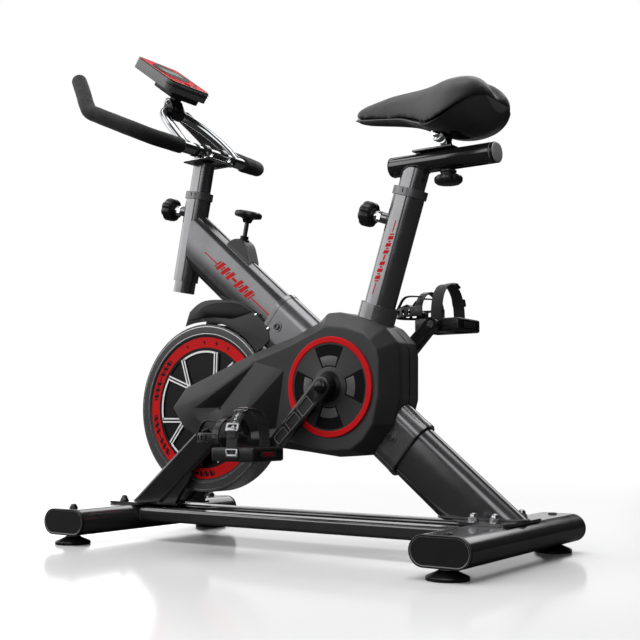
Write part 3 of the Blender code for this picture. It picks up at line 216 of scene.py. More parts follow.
def prism(name, loops, depth, matrix):
    curve = bpy.data.curves.new(name, "CURVE")
    curve.dimensions = "2D"
    curve.fill_mode = "BOTH"
    curve.extrude = depth / 2
    for loop in loops:
        spline = curve.splines.new("POLY")
        spline.points.add(len(loop) - 1)
        for point, (x, y) in zip(spline.points, loop):
            point.co = (x, y, 0, 1)
        spline.use_cyclic_u = True
    obj = baked(link(name, curve, matrix))
    bm = bmesh.new()
    bm.from_mesh(obj.data)
    bmesh.ops.dissolve_limit(bm, angle_limit=math.radians(0.5), verts=bm.verts, edges=bm.edges)
    bm.to_mesh(obj.data)
    bm.free()
    return obj


def oval(long, short, steps=20):
    r = short / 2
    c = long / 2 - r
    out = []
    for sx, start in ((1, -90), (-1, 90)):
        for i in range(steps + 1):
            a = math.radians(start + 180 * i / steps)
            out.append((sx * c + r * math.cos(a), r * math.sin(a)))
    return out


def crowned(long, short, crown=0.0014, steps=20):
    """The flat oval with slightly bulged sides, so they catch the light unevenly."""
    r, c = short / 2, long / 2 - short / 2
    low = (r - crown) / r
    out = []
    for sx, start in ((1, -90), (-1, 90)):
        for i in range(steps + 1):
            a = math.radians(start + 180 * i / steps)
            out.append((sx * c + r * math.cos(a), low * r * math.sin(a)))
        for i in range(1, 12):
            t = 1 - 2 * i / 12
            out.append((sx * c * t, sx * (r - crown * t * t)))
    return out


def circle(r, n=64, cx=0.0, cy=0.0, start=0.0):
    return [(cx + r * math.cos(start + 2 * math.pi * i / n), cy + r * math.sin(start + 2 * math.pi * i / n)) for i in range(n)]


def rounded(w, h, r, n=6, cx=0.0, cy=0.0):
    out = []
    for sx, sy, start in ((1, -1, -90), (1, 1, 0), (-1, 1, 90), (-1, -1, 180)):
        for i in range(n + 1):
            a = math.radians(start + 90 * i / n)
            out.append((cx + sx * (w / 2 - r) + r * math.cos(a), cy + sy * (h / 2 - r) + r * math.sin(a)))
    return out


def hexed(a):
    """The radius of a hexagon of corner radius 1 at angle a."""
    c = ((a + math.pi / 6) % (math.pi / 3)) - math.pi / 6
    return math.cos(math.pi / 6) / math.cos(c)


def lathe(name, profile, origin, axis, segments=72, ring=False, wave=None, start=None):
    """A turned shape. profile holds (radius, height) or (radius, height, True) for a hexagonal section."""
    bm = bmesh.new()
    rows = []
    for k, item in enumerate(profile):
        r, h = item[0], item[1]
        if r < 1e-7:
            rows.append([bm.verts.new((0, 0, h))])
            continue
        row = []
        for i in range(segments):
            a = 2 * math.pi * i / segments
            rr = r
            if len(item) > 2 and item[2]:
                rr = r * hexed(a)
            elif wave is not None:
                rr = r * wave(a, k, h)
            row.append(bm.verts.new((rr * math.cos(a), rr * math.sin(a), h)))
        rows.append(row)
    pairs = list(zip(rows, rows[1:])) + ([(rows[-1], rows[0])] if ring else [])
    for a, b in pairs:
        if len(a) == 1 and len(b) == 1:
            continue
        for i in range(segments):
            j = (i + 1) % segments
            if len(a) == 1:
                bm.faces.new((a[0], b[i], b[j]))
            elif len(b) == 1:
                bm.faces.new((a[i], b[0], a[j]))
            else:
                bm.faces.new((a[i], b[i], b[j], a[j]))
    other = start or ((1, 0, 0) if abs(Vector(axis).normalized().x) < 0.9 else (0, 1, 0))
    return from_bm(name, bm, axes(origin, axis, other))


def rod(name, p0, p1, r, segments=48, r2=None):
    p0, p1 = Vector(p0), Vector(p1)
    bm = bmesh.new()
    bmesh.ops.create_cone(bm, cap_ends=True, segments=segments, radius1=r, radius2=r if r2 is None else r2, depth=(p1 - p0).length)
    d = p1 - p0
    other = (1, 0, 0) if abs(d.normalized().x) < 0.9 else (0, 1, 0)
    return from_bm(name, bm, axes((p0 + p1) / 2, d, other))


def block(name, size, matrix):
    bm = bmesh.new()
    bmesh.ops.create_cube(bm, size=1.0)
    bmesh.ops.scale(bm, vec=size, verts=bm.verts)
    return from_bm(name, bm, matrix)


def bar_between(name, p0, p1, long_dir, long, short, steps=20, inner=None, crown=0.0):
    p0, p1 = Vector(p0), Vector(p1)
    loops = [crowned(long, short, crown, steps) if crown else oval(long, short, steps)]
    if inner:
        loops.append(oval(inner[0], inner[1], steps))
    return prism(name, loops, (p1 - p0).length, axes((p0 + p1) / 2, p1 - p0, long_dir))


def smooth_path(points, steps):
    pts = [Vector(p) for p in points]
    pts = [2 * pts[0] - pts[1]] + pts + [2 * pts[-1] - pts[-2]]
    out = []
    for i in range(1, len(pts) - 2):
        a, b, c, d = pts[i - 1 : i + 3]
        for k in range(steps):
            t = k / steps
            out.append(0.5 * (2 * b + (c - a) * t + (2 * a - 5 * b + 4 * c - d) * t**2 + (3 * b - a - 3 * c + d) * t**3))
    out.append(pts[-2])
    return out


def frames_along(path, up=None):
    """(tangent, normal, binormal) at each point of a path, turning as little as possible."""
    path = [Vector(p) for p in path]
    n = len(path)
    tans = []
    for i in range(n):
        a, b = path[max(i - 1, 0)], path[min(i + 1, n - 1)]
        tans.append((b - a).normalized())
    ref = Vector(up) if up is not None else Vector((0, 0, 1))
    if abs(ref.dot(tans[0])) > 0.95:
        ref = Vector((1, 0, 0))
    nrm = (ref - ref.dot(tans[0]) * tans[0]).normalized()
    out = [(tans[0], nrm, tans[0].cross(nrm))]
    for i in range(1, n):
        q = tans[i - 1].rotation_difference(tans[i])
        nrm = (q @ nrm)
        nrm = (nrm - nrm.dot(tans[i]) * tans[i]).normalized()
        out.append((tans[i], nrm, tans[i].cross(nrm)))
    return out


def sweep(name, path, section, scale=None, up=None, fixed_up=None):
    """A closed section, a list of (u, v), carried along a path. scale(i, n) sizes it; fixed_up keeps v near a direction."""
    path = [Vector(p) for p in path]
    fr = frames_along(path, up)
    bm = bmesh.new()
    rows = []
    n = len(path)
    for i, p in enumerate(path):
        t, nr, bn = fr[i]
        if fixed_up is not None:
            nr = (Vector(fixed_up) - Vector(fixed_up).dot(t) * t).normalized()
            bn = t.cross(nr)
        k = scale(i, n) if scale else 1.0
        rows.append([bm.verts.new(p + nr * (u * k) + bn * (v * k)) for u, v in section])
    m = len(section)
    for a, b in zip(rows, rows[1:]):
        for j in range(m):
            bm.faces.new((a[j], a[(j + 1) % m], b[(j + 1) % m], b[j]))
    bm.faces.new(rows[0])
    bm.faces.new(rows[-1])
    return from_bm(name, bm)


def tube(name, path, r, segments=40, round_ends=0.0, up=None):
    """A round bar along a path, its ends rounded over a length."""
    path = [Vector(p) for p in path]
    radii = [r] * len(path)
    if round_ends:
        d0 = (path[0] - path[1]).normalized()
        d1 = (path[-1] - path[-2]).normalized()
        e = round_ends
        head, tail = [], []
        for k in range(1, 7):
            a = math.pi / 2 * k / 6.5
            head.insert(0, (path[0] - d0 * e + d0 * e * math.sin(a), r - e + e * math.cos(a)))
            tail.append((path[-1] - d1 * e + d1 * e * math.sin(a), r - e + e * math.cos(a)))
        path = [p for p, _ in head] + [path[0] - d0 * e] + path[1:-1] + [path[-1] - d1 * e] + [p for p, _ in tail]
        radii = [q for _, q in head] + [r] * (len(path) - len(head) - len(tail)) + [q for _, q in tail]
    sec = circle(1.0, segments)
    return sweep(name, path, sec, scale=lambda i, n: radii[i], up=up)


def combine(obj, operation, others):
    for i, other in enumerate(others):
        mod = obj.modifiers.new(f"{operation.lower()}_{i}", "BOOLEAN")
        mod.operation = operation
        mod.solver = "EXACT"
        mod.object = other
    out = baked(obj)
    for other in others:
        bpy.data.objects.remove(other, do_unlink=True)
    return out


def join(obj, *others):
    return combine(obj, "UNION", others)


def cut(obj, *others):
    return combine(obj, "DIFFERENCE", others)


def tidy(obj, angle=0.4):
    bm = bmesh.new()
    bm.from_mesh(obj.data)
    bmesh.ops.remove_doubles(bm, verts=bm.verts, dist=2e-6)
    bmesh.ops.dissolve_limit(bm, angle_limit=math.radians(angle), verts=bm.verts, edges=bm.edges)
    bm.to_mesh(obj.data)
    bm.free()
    return obj


def shade(obj, angle=30.0, bevel=0.0, segments=2, limit=32.0, weighted=True, subdiv=0):
    """Rounds the edges over a limit angle, then shades smooth with sharp edges over an angle."""
    if subdiv:
        mod = obj.modifiers.new("subdivision", "SUBSURF")
        mod.levels = mod.render_levels = subdiv
        obj = baked(obj)
    if bevel:
        mod = obj.modifiers.new("edges", "BEVEL")
        mod.width = bevel
        mod.segments = segments
        mod.limit_method = "ANGLE"
        mod.angle_limit = math.radians(limit)
        mod.miter_outer = "MITER_ARC"
        mod.use_clamp_overlap = True
        obj = baked(obj)
    obj.data.shade_smooth()
    obj.data.set_sharp_from_angle(angle=math.radians(angle))
    if weighted:
        mod = obj.modifiers.new("normals", "WEIGHTED_NORMAL")
        mod.keep_sharp = True
    return obj


def put(obj, body, mat, *nodes, slot=None):
    """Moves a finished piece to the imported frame, gives it its material and its body."""
    bpy.context.view_layer.update()
    obj.data.transform(Matrix.Translation((X0, 0, 0)) @ obj.matrix_world)
    obj.matrix_world = Matrix.Identity(4)
    if mat is not None:
        obj.data.materials.clear()
        obj.data.materials.append(mat)
    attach(obj, body)
    if nodes:
        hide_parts(*nodes)
    return obj


def merge(name, objs):
    """Several separate solids as one object, such as a set of fasteners. Materials are kept per object."""
    bm = bmesh.new()
    mats = []
    for o in objs:
        bpy.context.view_layer.update()
        before = len(bm.faces)
        mesh = o.data.copy()
        mesh.transform(o.matrix_world)
        bm.from_mesh(mesh)
        bm.faces.ensure_lookup_table()
        own = [m for m in o.data.materials] or [None]
        for m in own:
            if m not in mats:
                mats.append(m)
        for f in bm.faces[before:]:
            f.material_index = mats.index(own[min(f.material_index, len(own) - 1)])
        bpy.data.meshes.remove(mesh)
        bpy.data.objects.remove(o, do_unlink=True)
    mesh = bpy.data.meshes.new(name)
    bm.to_mesh(mesh)
    bm.free()
    for mat in mats:
        mesh.materials.append(mat)
    return link(name, mesh)


# ================================================================ materials
def wires(mat):
    mat.use_nodes = True
    tree = mat.node_tree
    return tree, tree.nodes, tree.links, tree.nodes["Principled BSDF"]


def new_node(tree, kind, **values):
    node = tree.nodes.new(kind)
    for key, value in values.items():
        if key in node.inputs:
            node.inputs[key].default_value = value
        else:
            setattr(node, key, value)
    return node


def mapped(tree, source, a, b, c, d, smooth=False):
    node = tree.nodes.new("ShaderNodeMapRange")
    if smooth:
        node.interpolation_type = "SMOOTHSTEP"
    for i, v in enumerate((a, b, c, d), 1):
        node.inputs[i].default_value = v
    tree.links.new(source, node.inputs[0])
    return node.outputs[0]


def maths(tree, op, a, b=None):
    node = tree.nodes.new("ShaderNodeMath")
    node.operation = op
    for i, v in enumerate((a, b)):
        if v is None:
            continue
        if isinstance(v, (int, float)):
            node.inputs[i].default_value = v
        else:
            tree.links.new(v, node.inputs[i])
    return node.outputs[0]


def blend_colour(tree, fac, a, b, mode="MIX"):
    node = tree.nodes.new("ShaderNodeMix")
    node.data_type = "RGBA"
    node.blend_type = mode
    node.clamp_factor = True
    if isinstance(fac, (int, float)):
        node.inputs[0].default_value = fac
    else:
        tree.links.new(fac, node.inputs[0])
    for i, v in ((6, a), (7, b)):
        if isinstance(v, tuple):
            node.inputs[i].default_value = (*v[:3], 1.0)
        else:
            tree.links.new(v, node.inputs[i])
    return node.outputs[2]


def make_mat(
    name, base, rough, metal=0.0, tint=0.12, tint_scale=14.0, rough_vary=0.05, grain=None, coat=0.0, coat_rough=0.06,
    spec=0.5, edge=None, edge_width=0.04, sheen=0.0, scratches=0.0, aniso=0.0, extra=None,
):
    """A Principled material with colour drift, uneven gloss, surface grain and a painted highlight that lightens its
    edges.
    """
    mat = bpy.data.materials.new(name)
    tree, nodes, links, bsdf = wires(mat)
    coord = new_node(tree, "ShaderNodeTexCoord").outputs["Object"]
    drift = new_node(tree, "ShaderNodeTexNoise", Scale=tint_scale, Detail=4.0, Roughness=0.6)
    links.new(coord, drift.inputs["Vector"])
    low = tuple(c * (1 - tint) for c in base)
    high = tuple(min(c * (1 + tint), 1.0) for c in base)
    fac = mapped(tree, drift.outputs["Fac"], 0.3, 0.7, 0.0, 1.0)
    colour = blend_colour(tree, fac, low, high)
    gloss = new_node(tree, "ShaderNodeTexNoise", Scale=tint_scale * 2.7, Detail=5.0, Roughness=0.65)
    links.new(coord, gloss.inputs["Vector"])
    rough_out = mapped(tree, gloss.outputs["Fac"], 0.3, 0.7, max(rough - rough_vary, 0.02), min(rough + rough_vary, 1.0))
    if scratches:
        stretch = new_node(tree, "ShaderNodeMapping")
        stretch.inputs["Scale"].default_value = (3.0, 40.0, 40.0)
        links.new(coord, stretch.inputs["Vector"])
        lines = new_node(tree, "ShaderNodeTexNoise", Scale=30.0, Detail=3.0)
        links.new(stretch.outputs[0], lines.inputs["Vector"])
        add = mapped(tree, lines.outputs["Fac"], 0.45, 0.75, 0.0, scratches)
        rough_out = maths(tree, "ADD", rough_out, add)
    # edge is a lighter colour blended onto sharp edges by pointiness: a painted highlight
    if edge is not None:
        geo = new_node(tree, "ShaderNodeNewGeometry")
        edge_highlight_mask = mapped(tree, geo.outputs["Pointiness"], 0.5 + edge_width * 0.4, 0.5 + edge_width * 1.6, 0.0, 0.75)
        colour = blend_colour(tree, edge_highlight_mask, colour, edge)
    links.new(colour, bsdf.inputs["Base Color"])
    links.new(rough_out, bsdf.inputs["Roughness"])
    bsdf.inputs["Metallic"].default_value = metal
    bsdf.inputs["Specular IOR Level"].default_value = spec
    bsdf.inputs["Coat Weight"].default_value = coat
    bsdf.inputs["Coat Roughness"].default_value = coat_rough
    if sheen:
        bsdf.inputs["Sheen Weight"].default_value = sheen
        bsdf.inputs["Sheen Roughness"].default_value = 0.4
    if aniso:
        bsdf.inputs["Anisotropic"].default_value = aniso
    normal = None
    for kind, scale, depth in grain or ():
        if kind == "noise":
            tex = new_node(tree, "ShaderNodeTexNoise", Scale=scale, Detail=3.0, Roughness=0.55)
            links.new(coord, tex.inputs["Vector"])
            height = tex.outputs["Fac"]
        elif kind == "pebble":
            tex = new_node(tree, "ShaderNodeTexVoronoi", Scale=scale)
            tex.feature = "SMOOTH_F1"
            tex.inputs["Smoothness"].default_value = 0.35
            links.new(coord, tex.inputs["Vector"])
            height = mapped(tree, tex.outputs["Distance"], 0.0, 0.55, 1.0, 0.0)
        elif kind == "cracks":
            tex = new_node(tree, "ShaderNodeTexVoronoi", Scale=scale)
            tex.feature = "DISTANCE_TO_EDGE"
            links.new(coord, tex.inputs["Vector"])
            height = mapped(tree, tex.outputs["Distance"], 0.0, 0.12, 0.0, 1.0, smooth=True)
        bump = new_node(tree, "ShaderNodeBump")
        bump.inputs["Distance"].default_value = depth
        bump.inputs["Strength"].default_value = 1.0
        links.new(height, bump.inputs["Height"])
        if normal is not None:
            links.new(normal, bump.inputs["Normal"])
        normal = bump.outputs[0]
    if normal is not None:
        links.new(normal, bsdf.inputs["Normal"])
        if coat and len(grain) > 1:
            pass
    if extra:
        extra(tree, coord, bsdf)
    return mat


def weave(tree, coord, bsdf, scale=900.0, depth=0.0002):
    """A plain woven webbing: two crossed waves."""
    a = new_node(tree, "ShaderNodeTexWave", Scale=scale / 6.3)
    a.bands_direction = "X"
    b = new_node(tree, "ShaderNodeTexWave", Scale=scale / 6.3)
    b.bands_direction = "Y"
    for w in (a, b):
        tree.links.new(coord, w.inputs["Vector"])
    both = maths(tree, "MULTIPLY", a.outputs["Fac"], b.outputs["Fac"])
    bump = new_node(tree, "ShaderNodeBump")
    bump.inputs["Distance"].default_value = depth
    tree.links.new(both, bump.inputs["Height"])
    tree.links.new(bump.outputs[0], bsdf.inputs["Normal"])


M = {}
M["paint"] = make_mat(
    "gloss_black_paint", (0.125, 0.125, 0.129), 0.17, metal=0.85, tint=0.10, rough_vary=0.03,
    grain=[("noise", 420, 0.00003)], coat=0.35, coat_rough=0.05, spec=0.35, scratches=0.05,
)
M["paint_dark"] = make_mat(
    "gloss_black_enamel", (0.008, 0.008, 0.009), 0.24, tint=0.15, rough_vary=0.04, grain=[("noise", 500, 0.00003)],
    coat=0.35, coat_rough=0.06, spec=0.3, edge=(0.04, 0.04, 0.042),
)
M["plastic"] = make_mat(
    "moulded_black_plastic", (0.008, 0.008, 0.009), 0.42, tint=0.15, grain=[("noise", 1400, 0.00005), ("noise", 260, 0.00003)],
    edge=(0.030, 0.030, 0.031), spec=0.26,
)
M["grey"] = make_mat(
    "moulded_grey_plastic", (0.030, 0.030, 0.032), 0.37, tint=0.07, tint_scale=6.0, grain=[("pebble", 1500, 0.00004), ("noise", 300, 0.00002)],
    edge=(0.085, 0.085, 0.088), spec=0.30,
)
M["grey_light"] = make_mat(
    "moulded_light_grey_plastic", (0.15, 0.15, 0.155), 0.40, tint=0.06, grain=[("pebble", 1500, 0.00004)], edge=(0.22, 0.22, 0.22), spec=0.3,
)
M["well_black"] = make_mat("recess_black", (0.004, 0.004, 0.0045), 0.45, tint=0.05, grain=[("noise", 900, 0.00002)], spec=0.08)
M["step_grey"] = make_mat("disc_step_plastic", (0.105, 0.105, 0.108), 0.40, tint=0.06, grain=[("pebble", 1500, 0.00004)], spec=0.25)
# A lighter copy of the gloss black paint, for the centre node: painted highlight.
M["paint_mid"] = make_mat(
    "gloss_black_paint_node_painted_highlight", (0.18, 0.18, 0.185), 0.20, metal=0.78, tint=0.10, rough_vary=0.04,
    grain=[("noise", 420, 0.00003)], coat=0.3, coat_rough=0.06, spec=0.35,
)
# A lighter copy of the gloss black paint, for the sleeves and posts: painted reflection.
M["paint_light"] = make_mat(
    "gloss_black_paint_sleeve_painted_reflection", (0.20, 0.20, 0.205), 0.17, metal=0.90, tint=0.08, rough_vary=0.03,
    grain=[("noise", 420, 0.00002)], coat=0.3, coat_rough=0.05, spec=0.35,
)
# A darker copy of the gloss black paint, for the fork, bar clamp and crank arms: painted shade.
M["paint_deep"] = make_mat(
    "gloss_black_paint_fork_painted_shade", (0.030, 0.030, 0.032), 0.20, metal=0.6, tint=0.10, rough_vary=0.03,
    grain=[("noise", 420, 0.00003)], coat=0.4, coat_rough=0.06, spec=0.35,
)
# A lighter grey for the rounded rim of the stabiliser end caps: painted highlight.
M["cap_rim"] = make_mat("cap_rim_painted_highlight", (0.13, 0.13, 0.135), 0.30, tint=0.05, grain=[("noise", 900, 0.00003)])
# The collars' lighter, metal-like grey, close to the sleeves' paint: a painted reflection.
M["collar"] = make_mat("collar_painted_highlight", (0.17, 0.17, 0.175), 0.30, metal=0.7, tint=0.08, grain=[("noise", 900, 0.00004)], spec=0.35)
M["knob"] = make_mat(
    "knob_plastic", (0.010, 0.010, 0.011), 0.30, tint=0.12, grain=[("noise", 1200, 0.00006)], edge=(0.045, 0.045, 0.045), spec=0.4,
)
M["rubber_gloss"] = make_mat("foot_rubber", (0.008, 0.008, 0.008), 0.32, tint=0.2, grain=[("noise", 900, 0.00006)], spec=0.35)
M["zinc_dark"] = make_mat("black_oxide_steel", (0.10, 0.10, 0.105), 0.25, metal=0.9, tint=0.1, grain=[("noise", 900, 0.00004)])
M["grey_dark"] = make_mat(
    # Darker plastic for inlays; on the belt covers' pressed-in triangles it is painted shade.
    "dark_inlay_and_painted_shade_plastic", (0.0045, 0.0045, 0.005), 0.34, tint=0.08, grain=[("pebble", 1500, 0.00003)], spec=0.14,
)
M["plastic_gloss"] = make_mat(
    "glossy_black_plastic", (0.008, 0.008, 0.009), 0.26, tint=0.15, grain=[("noise", 900, 0.00005)], edge=(0.035, 0.035, 0.035), spec=0.34,
)
M["wheel_black"] = make_mat("wheel_black_paint", (0.0055, 0.0055, 0.006), 0.36, tint=0.1, grain=[("noise", 700, 0.00005)], spec=0.20)
M["mon_grey"] = make_mat("monitor_grey_plastic", (0.17, 0.17, 0.172), 0.38, tint=0.05, grain=[("pebble", 1500, 0.00003)], edge=(0.25, 0.25, 0.25), spec=0.3)
# A darker copy of the gloss black paint, for the seat slider: painted shade.
M["paint_slider"] = make_mat(
    "gloss_black_paint_slider", (0.070, 0.070, 0.072), 0.15, metal=0.85, tint=0.08, rough_vary=0.03, grain=[("noise", 420, 0.00002)], coat=0.5, coat_rough=0.04,
)
M["cap_light"] = make_mat("light_cap_plastic", (0.42, 0.42, 0.425), 0.30, metal=0.0, tint=0.05, grain=[("noise", 900, 0.00003)])
M["zinc_light"] = make_mat("bright_plate", (0.20, 0.20, 0.205), 0.24, metal=0.9, tint=0.08, grain=[("noise", 900, 0.00003)])
M["saddle_shell"] = make_mat(
    "saddle_shell_plastic", (0.075, 0.075, 0.078), 0.48, tint=0.1, grain=[("pebble", 1200, 0.00006), ("noise", 300, 0.00003)], spec=0.25,
)
M["bar_chrome"] = make_mat(
    "dark_chrome", (0.42, 0.43, 0.44), 0.07, metal=1.0, tint=0.02, rough_vary=0.02, grain=[("noise", 160, 0.00001)],
)
M["chrome"] = make_mat(
    "chrome", (0.80, 0.81, 0.82), 0.05, metal=1.0, tint=0.02, rough_vary=0.02, grain=[("noise", 160, 0.00001)],
)
M["buckle"] = make_mat("buckle_steel", (0.30, 0.30, 0.31), 0.22, metal=1.0, tint=0.08, rough_vary=0.05, grain=[("noise", 500, 0.00003)])
M["mon_red"] = make_mat("monitor_red_print", (0.62, 0.008, 0.012), 0.50, tint=0.06, grain=[("noise", 1500, 0.00002)], spec=0.03)
M["mon_black"] = make_mat("monitor_black_print", (0.006, 0.006, 0.007), 0.45, tint=0.05, grain=[("noise", 1500, 0.00002)], spec=0.04)
M["mon_glass"] = make_mat("monitor_display", (0.10, 0.115, 0.10), 0.35, tint=0.05, grain=[("noise", 900, 0.00001)], spec=0.05)
M["zinc"] = make_mat(
    "zinc_plate", (0.50, 0.50, 0.51), 0.27, metal=1.0, tint=0.12, tint_scale=90, rough_vary=0.08, grain=[("noise", 900, 0.00003)],
)
M["iron"] = make_mat(
    "painted_casting", (0.040, 0.040, 0.042), 0.34, metal=0.3, tint=0.10, tint_scale=22, grain=[("noise", 420, 0.00006)],
    edge=(0.20, 0.20, 0.21), coat=0.15, coat_rough=0.2, spec=0.3,
)


def turned(tree, coord, bsdf):
    """Fine lathe lines round the wheel's tread."""
    wave = new_node(tree, "ShaderNodeTexWave", Scale=420.0, Distortion=0.4, Detail=1.0)
    wave.bands_direction = "Y"
    tree.links.new(coord, wave.inputs["Vector"])
    bump = new_node(tree, "ShaderNodeBump")
    bump.inputs["Distance"].default_value = 0.00006
    tree.links.new(wave.outputs["Fac"], bump.inputs["Height"])
    tree.links.new(bump.outputs[0], bsdf.inputs["Normal"])


M["tread"] = make_mat("turned_metal", (0.42, 0.42, 0.43), 0.24, metal=1.0, tint=0.08, rough_vary=0.06, extra=turned)
M["silver"] = make_mat("bright_trim", (0.72, 0.72, 0.73), 0.18, metal=1.0, tint=0.03, grain=[("noise", 700, 0.00002)])
M["red"] = make_mat("red_paint", (0.60, 0.006, 0.009), 0.42, tint=0.08, grain=[("noise", 900, 0.00002)], spec=0.12)
M["red_print"] = make_mat("red_print", (0.60, 0.008, 0.011), 0.45, tint=0.12, tint_scale=60, grain=[("noise", 1500, 0.00002)], spec=0.12)
M["white_print"] = make_mat("white_print", (0.92, 0.92, 0.92), 0.42, tint=0.04, grain=[("noise", 1500, 0.00002)])
M["black_print"] = make_mat("black_print", (0.005, 0.005, 0.005), 0.5, tint=0.2, grain=[("noise", 1500, 0.00002)], spec=0.15)
M["rubber"] = make_mat(
    "black_rubber", (0.014, 0.014, 0.015), 0.62, tint=0.25, tint_scale=40, grain=[("noise", 1100, 0.00010)], edge=(0.05, 0.05, 0.05), sheen=0.1,
)
M["foam"] = make_mat(
    "grip_foam", (0.018, 0.018, 0.019), 0.78, tint=0.20, tint_scale=120, rough_vary=0.08,
    grain=[("pebble", 1300, 0.00022), ("noise", 240, 0.00012)], sheen=0.20, spec=0.25,
)
M["vinyl"] = make_mat(
    "saddle_vinyl", (0.034, 0.034, 0.036), 0.40, tint=0.08, tint_scale=10, rough_vary=0.06,
    grain=[("cracks", 620, 0.00009), ("pebble", 1500, 0.00003), ("noise", 90, 0.00010)], spec=0.42, sheen=0.08, edge=(0.05, 0.05, 0.052),
)
M["vinyl_side"] = make_mat(
    "saddle_side_vinyl", (0.018, 0.018, 0.019), 0.5, tint=0.08, grain=[("cracks", 620, 0.00006), ("pebble", 1500, 0.00003)], sheen=0.1,
)
M["piping"] = make_mat("saddle_piping", (0.13, 0.13, 0.135), 0.35, tint=0.06, grain=[("noise", 900, 0.00004)])
M["strap"] = make_mat("nylon_webbing", (0.010, 0.010, 0.011), 0.7, tint=0.2, tint_scale=200, sheen=0.3, extra=weave)
M["felt"] = make_mat("wool_felt", (0.30, 0.26, 0.20), 0.95, tint=0.2, tint_scale=160, grain=[("noise", 900, 0.0004)], sheen=0.6)
M["belt"] = make_mat("belt_rubber", (0.012, 0.012, 0.012), 0.55, tint=0.2, grain=[("noise", 900, 0.00006)])
M["reflector"] = make_mat(
    "red_reflector", (0.24, 0.005, 0.006), 0.14, tint=0.1, grain=[("pebble", 500, 0.00025)], coat=0.3, coat_rough=0.05, spec=0.3,
)
M["screen_black"] = make_mat("black_gloss_face", (0.006, 0.006, 0.007), 0.14, tint=0.05, spec=0.32)
M["lcd"] = make_mat("display_glass", (0.13, 0.15, 0.13), 0.12, tint=0.05, spec=0.35)


# ================================================================ base: stabilisers, caps, feet, rails
def band_of(obj, mat, test):
    """Gives the faces that pass a test (centre, normal) a second material."""
    index = len(obj.data.materials)
    obj.data.materials.append(mat)
    for p in obj.data.polygons:
        if test(p.center, p.normal):
            p.material_index = index
    return obj


def soften(obj, width, segments=3, limit=32.0):
    mod = obj.modifiers.new("edges", "BEVEL")
    mod.width = width
    mod.segments = segments
    mod.limit_method = "ANGLE"
    mod.angle_limit = math.radians(limit)
    mod.use_clamp_overlap = True
    return baked(obj)


def skin(obj, *mats):
    obj.data.materials.clear()
    for m in mats:
        obj.data.materials.append(m)
    return obj


